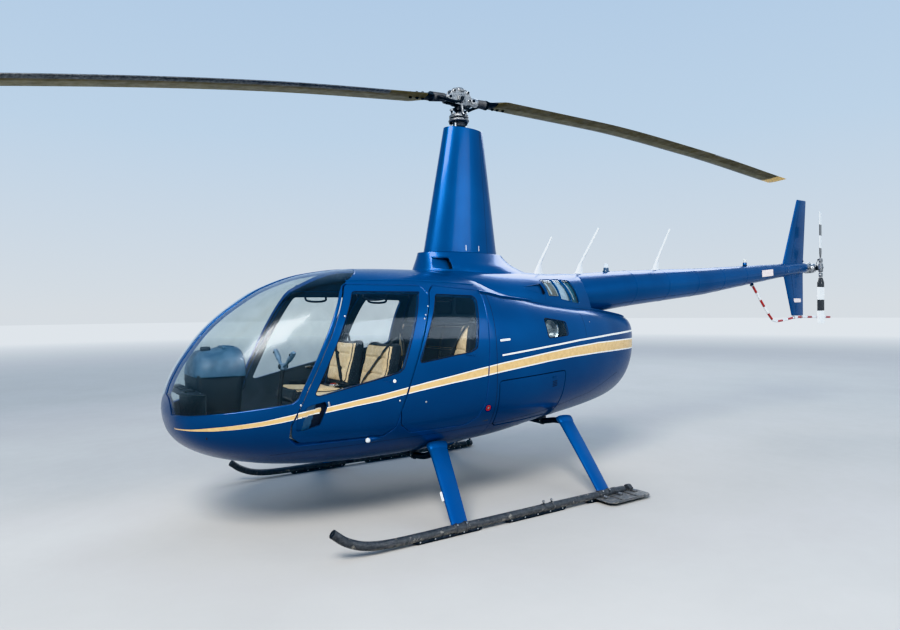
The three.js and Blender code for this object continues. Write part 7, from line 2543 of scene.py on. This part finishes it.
start = {nm: arr([v.co[:] for v in ob.data.vertices]) for nm, ob in forms.items()}
CAP = {"cushion": 0.022, "back": 0.020}
swollen = {}
for nm, ob in forms.items():
    md = ob.modifiers.new("cloth", "CLOTH")
    st = md.settings
    st.quality = 5
    st.mass = 0.3
    st.tension_stiffness = st.compression_stiffness = 18
    st.shear_stiffness = 8
    st.bending_stiffness = 0.6
    st.use_pressure = True
    st.uniform_pressure_force = 4.0
    st.effector_weights.gravity = 0.0
    md.point_cache.frame_start, md.point_cache.frame_end = 1, 20
sc = bpy.context.scene
for k in range(1, 21):
    sc.frame_set(k)
dg = bpy.context.evaluated_depsgraph_get()
for nm, ob in forms.items():
    ev = ob.evaluated_get(dg).data
    p = np.zeros(len(ev.vertices) * 3)
    ev.vertices.foreach_get("co", p)
    p = p.reshape(-1, 3)
    kind = next(x[5] for x in PADS if x[0] == nm)
    d = p - start[nm]
    L = np.linalg.norm(d, axis=1, keepdims=True)
    swollen[nm] = start[nm] + d * np.minimum(1.0, CAP[kind] / np.maximum(L, 1e-9))
for ob in forms.values():
    ob.modifiers.clear()
sc.frame_set(1)

from mathutils.bvhtree import BVHTree

ON_PAD = {}


def finish_pad(nm, outline, kind, channels):
    ob = forms[nm]
    me = ob.data
    me.vertices.foreach_set("co", swollen[nm].astype(np.float32).ravel())
    me.update()
    ss = ob.modifiers.new("s", "SUBSURF")
    ss.levels = ss.render_levels = 1
    dg = bpy.context.evaluated_depsgraph_get()
    m2 = bpy.data.meshes.new_from_object(ob.evaluated_get(dg))
    v = np.zeros(len(m2.vertices) * 3)
    m2.vertices.foreach_get("co", v)
    v = v.reshape(-1, 3)
    v[:, 0] -= SHIFT
    v *= 1000.0
    quads = np.array([list(p.vertices) for p in m2.polygons if len(p.vertices) == 4], int)
    tris = np.array([list(p.vertices) for p in m2.polygons if len(p.vertices) == 3], int).reshape(-1, 3)
    nr = np.zeros(len(m2.vertices) * 3)
    m2.vertices.foreach_get("normal", nr)
    nr = nr.reshape(-1, 3)
    bpy.data.objects.remove(ob)
    y0, y1 = v[:, 1].min(), v[:, 1].max()
    yc, hw = (y0 + y1) / 2, (y1 - y0) / 2
    if kind == "cushion":
        t_dir, n_dir = unit(arr([1, 0, 0.045])), unit(arr([-0.045, 0, 1]))
    else:
        t_dir, n_dir = unit(arr([-0.24, 0, 0.97])) if "front" in nm else unit(arr([-0.143, 0, 0.99])), None
        n_dir = arr([t_dir[2], 0, -t_dir[0]])
    tt, nn = v @ t_dir, v @ n_dir
    front = nr @ n_dir > 0.25
    t0, t1 = tt[front].min(), tt[front].max()
    # sewn channels: the panel is pulled in along them, and along the joints between the places on the bench
    lines_t = [t0 + (t1 - t0) * c for c in channels]
    ymarks = [] if "front" in nm else [yc - hw / 3, yc + hw / 3]
    pull = np.zeros(len(v))
    for a in lines_t:
        edge = np.clip((hw - 44 - np.abs(v[:, 1] - yc)) / 16, 0, 1)
        pull = np.maximum(pull, 8.5 * np.exp(-(((tt - a) / 9.5) ** 2)) * edge)
    for b in ymarks:
        edge = np.clip((tt - t0 - 12) / 16, 0, 1) * np.clip((t1 - 6 - tt) / 16, 0, 1)
        pull = np.maximum(pull, 12.0 * np.exp(-(((v[:, 1] - b) / 10.0) ** 2)) * edge)
    loop_pull = np.zeros(len(v))
    dt = np.minimum(tt - t0, t1 - tt)
    dy = hw - np.abs(v[:, 1] - yc)
    dist = np.abs(np.minimum(dt - 30, dy - 34))
    loop_pull = 3.6 * np.exp(-((dist / 8.0) ** 2))
    v = v - nr * (np.maximum(pull, loop_pull) * (nr @ n_dir > 0.05))[:, None]
    part = Part()
    part.verts, part.count = [v], len(v)

    def mats_of(f):
        c = v[f].mean(1)
        n = unit(np.cross(v[f[:, 1]] - v[f[:, 0]], v[f[:, 2]] - v[f[:, 0]]))
        t, y = c @ t_dir, np.abs(c[:, 1] - yc)
        side = 34 if "front" not in nm else 18
        on = (n @ n_dir > 0.08) & (t > t0 + 30) & (t < t1 - 30) & (y < hw - side)
        # partly painted shade: over the middle of the rear back the slate stands for shade across the bench, so only a
        # slanted tan bar near each end stays tan, taken as a bolster
        if nm == "rear_seat_back":
            k = np.clip((t - t0) / (t1 - t0), 0, 1)
            on &= (y > hw - 236 + 150 * k) & (y < hw - 36 + 26 * k)
        return np.where(on, 0, 1)

    if len(quads):
        part.faces.append((quads, mats_of(quads), None))
    if len(tris):
        part.faces.append((tris, mats_of(tris), None))
    polys = [list(map(int, q)) for q in quads] + [list(map(int, q)) for q in tris]
    tree = BVHTree.FromPolygons([Vector(p) for p in v], polys)

    def snap(t, y, lift=0.0):
        mid = arr(outline).mean(0)
        o = t_dir * t + arr([0, y, 0]) + n_dir * (nn.max() + 60)
        hit = tree.ray_cast(Vector(o), Vector(-n_dir))
        if hit[0] is None:
            return None
        return arr(hit[0]) + arr(hit[1]) * lift

    ON_PAD[nm] = (snap, t0, t1, yc, hw, t_dir, n_dir)
    # piping round the panel
    w_, h_ = hw - 34, (t1 - t0) / 2 - 30
    rr = dense(rounded([[-w_, -h_], [w_, -h_], [w_, h_], [-w_, h_]], 34, 8), 12)
    tc_ = (t0 + t1) / 2
    pts = [snap(tc_ + q[1], yc + q[0], 1.0) for q in rr]
    pts = arr([p for p in pts if p is not None])
    part.join(sweep(pts, 4.2, 8, 2, close=True))

    def stitches(line):
        out = Part()
        L = arr([p for p in line if p is not None])
        if len(L) < 3:
            return out
        a = np.concatenate([[0], np.cumsum(np.linalg.norm(np.diff(L, axis=0), axis=1))])
        for s0 in np.arange(4, a[-1] - 8, 11.0):
            e = [arr([np.interp(s_, a, L[:, i]) for i in range(3)]) for s_ in (s0, s0 + 6.5)]
            out.join(sweep(e, 1.0, 3, 3))
        return out

    inner_loop = dense(rounded([[-w_ + 12, -h_ + 12], [w_ - 12, -h_ + 12], [w_ - 12, h_ - 12], [-w_ + 12, h_ - 12]], 26, 8), 8)
    q_ = [snap(tc_ + q[1], yc + q[0], 0.5) for q in inner_loop]
    part.join(stitches(q_ + q_[:1]))
    for a in lines_t:
        for off in (-7, 7):
            part.join(stitches([snap(a + off, y, 0.5) for y in np.arange(yc - hw + 48, yc + hw - 48, 7)]))
    for b in ymarks:
        for off in (-9, 9):
            part.join(stitches([snap(t, b + off, 0.5) for t in np.arange(t0 + 36, t1 - 36, 7)]))
    pad = make(nm + "_pad", part, [TAN, SLATE, PIPING, THREAD], nodes=(nm,), angle=180)
    return pad


for nm, outline, y0, y1, voxel, kind, ch in PADS:
    finish_pad(nm, outline, kind, ch)


# ---- belts: flat webbing laid on the seats, buckles, and the cross tube behind the backs
def strap(points, across, width=46, thick=2.6, mat=0):
    p = smooth_path(points, 5)
    return sweep(p, width / 2, 12, mat, squash=(1.0, thick / width), up=across)


def buckle(at, n, along):
    p = Part()
    r = frame_rot(along, n)
    q = block((70, 52, 20), (0, 0, 0), r=6, segs=3, mat=1)
    p.join(q.moved(rot=r, at=at))
    p.join(block((34, 40, 6), (14, 0, 11), r=2.5, segs=2, mat=2).moved(rot=r, at=at))
    p.join(block((30, 44, 4), (-46, 0, 0), r=1.5, segs=2, mat=1).moved(rot=r, at=at))
    return p


bl = Part()
for side, nm in ((1, "left"), (-1, "right")):
    snap, t0, t1, yc, hw, td, nd = ON_PAD["front_seat_back_" + nm]
    pts, nrm = [], nd
    for k in np.linspace(0, 1, 9):
        p = snap(t1 - 34 - (t1 - t0 - 70) * k, yc + side * (150 - 300 * k), 3.0)
        if p is not None:
            pts.append(p)
    top = arr([902, pts[0][1] + side * 8, 1312.0])
    low = arr([1098, yc - side * 186, 880.0])
    ac = np.cross(unit(pts[3] - pts[1]), nd)
    bl.join(strap([[868, pts[0][1] + side * 10, 1180], top - arr([18, 0, 12]), top + arr([30, 0, 2])] + [list(p) for p in pts[:]], arr([0, 1.0, 0])))
    snap2, a0, a1, yc2, hw2, td2, nd2 = ON_PAD["front_seat_cushion_" + nm]
    lap = [snap2(a0 + 86 + 26 * math.sin(math.pi * k), yc2 + side * (-hw2 + 34 + (2 * hw2 - 68) * k), 3.0) for k in np.linspace(0, 1, 11)]
    lap = [p for p in lap if p is not None]
    bl.join(strap([list(lap[0] + arr([-8, -side * 34, -46]))] + [list(p) for p in lap] + [list(lap[-1] + arr([-8, side * 34, -46]))], arr([1.0, 0, 0])))
    bl.join(buckle(lap[2] + arr([6, 0, 13]), arr([0.1, 0, 1.0]), arr([0.1, side, 0])))
snap, t0, t1, yc, hw, td, nd = ON_PAD["rear_seat_cushion"]
for yy in (-385, 0, 385):
    for s in (1, -1):
        lap = [snap(t0 + 80 + 40 * k, yy + s * (165 - 150 * k), 3.0) for k in np.linspace(0, 1, 6)]
        lap = [p for p in lap if p is not None]
        bl.join(strap([list(lap[0] + arr([-34, s * 6, -12]))] + [list(p) for p in lap], arr([1.0, 0, 0]), 44))
    c = snap(t0 + 122, yy, 12.0)
    bl.join(buckle(c, nd, arr([0, 1.0, 0])))
snap, t0, t1, yc, hw, td, nd = ON_PAD["rear_seat_back"]
for yy, s in ((-400, 1), (400, -1)):
    pts = [snap(t1 - 30 - (t1 - t0 - 190) * k, yy - s * (120 - 250 * k), 3.0) for k in np.linspace(0, 1, 8)]
    pts = [list(p) for p in pts if p is not None]
    bl.join(strap([[250, pts[0][1], 1452]] + pts, arr([0, 1.0, 0]), 44))
# shells and hinges under the front backs
for side in (1, -1):
    for y in (120, 510):
        bl.join(sweep([[1010, side * y, 868], [960, side * y, 884], [905, side * y, 1180]], 9, 14, 3))
    bl.join(sweep([[908, side * 120, 1168], [908, side * 510, 1168]], 9, 14, 3))
make("belts", bl, [WEBBING, CHROME, RED, DARK_METAL])


# ------------------------------------------------------------------ floor, sky, lights, camera
SKY_LOW = (0.80, 0.85, 0.90, 1.0)


def stage():
    m = Mat("floor_pale", Specular_IOR_Level=0.25)
    x, y = m.axis(0), m.axis(1)
    r = m.math("SQRT", m.math("ADD", m.math("MULTIPLY", x, x), m.math("MULTIPLY", y, y)))
    far = m.remap(r, 9.0, 34.0, 0.0, 1.0)
    base = m.mix(m.noise(0.9, 5, 0.6), srgb(182, 179, 174), srgb(186, 183, 178))
    m.colour(base)
    m.rough(m.noise(7.0, 4, 0.6, lo=0.72, hi=0.86))
    m.bump(m.noise(90.0, 4, 0.6), 0.05, 0.002)
    em = m.node("ShaderNodeEmission")
    em.inputs["Color"].default_value = SKY_LOW
    em.inputs["Strength"].default_value = 1.0
    mx = m.node("ShaderNodeMixShader")
    m.link(far, mx.inputs[0])
    m.link(m.p.outputs[0], mx.inputs[1])
    m.link(em.outputs[0], mx.inputs[2])
    m.link(mx.outputs[0], m.out.inputs[0])
    me = bpy.data.meshes.new("floor")
    n, R = 96, 90.0
    v = [(0, 0, 0)] + [(R * math.cos(i / n * 2 * math.pi), R * math.sin(i / n * 2 * math.pi), 0) for i in range(n)]
    me.from_pydata(v, [], [(0, i + 1, (i + 1) % n + 1) for i in range(n)])
    me.materials.append(m.m)
    ob = bpy.data.objects.new("floor", me)
    bpy.context.scene.collection.objects.link(ob)
    ob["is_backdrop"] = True

    w = bpy.data.worlds.new("sky")
    w.use_nodes = True
    t = w.node_tree
    t.nodes.clear()
    out = t.nodes.new("ShaderNodeOutputWorld")
    bg = t.nodes.new("ShaderNodeBackground")
    tc = t.nodes.new("ShaderNodeTexCoord")
    sep = t.nodes.new("ShaderNodeSeparateXYZ")
    ramp = t.nodes.new("ShaderNodeValToRGB")
    t.links.new(tc.outputs["Generated"], sep.inputs[0])
    t.links.new(sep.outputs["Z"], ramp.inputs[0])
    t.links.new(ramp.outputs[0], bg.inputs["Color"])
    t.links.new(bg.outputs[0], out.inputs[0])
    e = ramp.color_ramp.elements
    e[0].position, e[0].color = 0.0, SKY_LOW
    e[1].position, e[1].color = 1.0, (0.30, 0.52, 0.86, 1.0)
    k = e.new(0.25)
    k.color = (0.62, 0.78, 0.95, 1.0)
    bg.inputs["Strength"].default_value = 0.9
    bpy.context.scene.world = w


def area(name, at, to, size, power, colour=(1, 1, 1)):
    d = bpy.data.lights.new(name, "AREA")
    d.shape, d.size, d.size_y = "RECTANGLE", size[0], size[1]
    d.energy, d.color = power, colour
    o = bpy.data.objects.new(name, d)
    o.location = at
    o.rotation_euler = (Vector(to) - Vector(at)).to_track_quat("-Z", "Y").to_euler()
    bpy.context.scene.collection.objects.link(o)
    return o


def camera():
    yaw, pitch, roll = math.radians(236.282), math.radians(-0.524), math.radians(-0.51)
    f = Vector((math.cos(yaw) * math.cos(pitch), math.sin(yaw) * math.cos(pitch), math.sin(pitch)))
    r = f.cross(Vector((0, 0, 1))).normalized()
    u = r.cross(f)
    c, s = math.cos(roll), math.sin(roll)
    r2, u2 = r * c + u * s, u * c - r * s
    m = Matrix((r2, u2, -f)).transposed().to_4x4()
    m.translation = Vector((3.287 + SHIFT, 4.727, 1.524))
    cam = bpy.data.cameras.new("camera")
    cam.sensor_width, cam.sensor_fit, cam.lens = 36.0, "HORIZONTAL", 36.0 * 648.07 / 900
    cam.clip_start, cam.clip_end = 0.05, 400
    o = bpy.data.objects.new("camera", cam)
    o.matrix_world = m
    bpy.context.scene.collection.objects.link(o)
    bpy.context.scene.camera = o


bpy.context.scene.view_settings.view_transform = "Khronos PBR Neutral"
stage()
area("key", (9.0, 7.0, 11.0), (0.5, 0, 1.2), (7.0, 5.0), 2600, (1.0, 0.965, 0.92))
area("fill", (-6.0, 13.0, 6.0), (-1.0, 0, 1.2), (9.0, 5.0), 500, (0.90, 0.95, 1.0))
area("rim", (-11.0, -7.0, 10.0), (-0.5, 0, 1.5), (9.0, 5.0), 900, (0.95, 0.97, 1.0))
camera()

bpy.context.view_layer.update()
lo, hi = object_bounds()
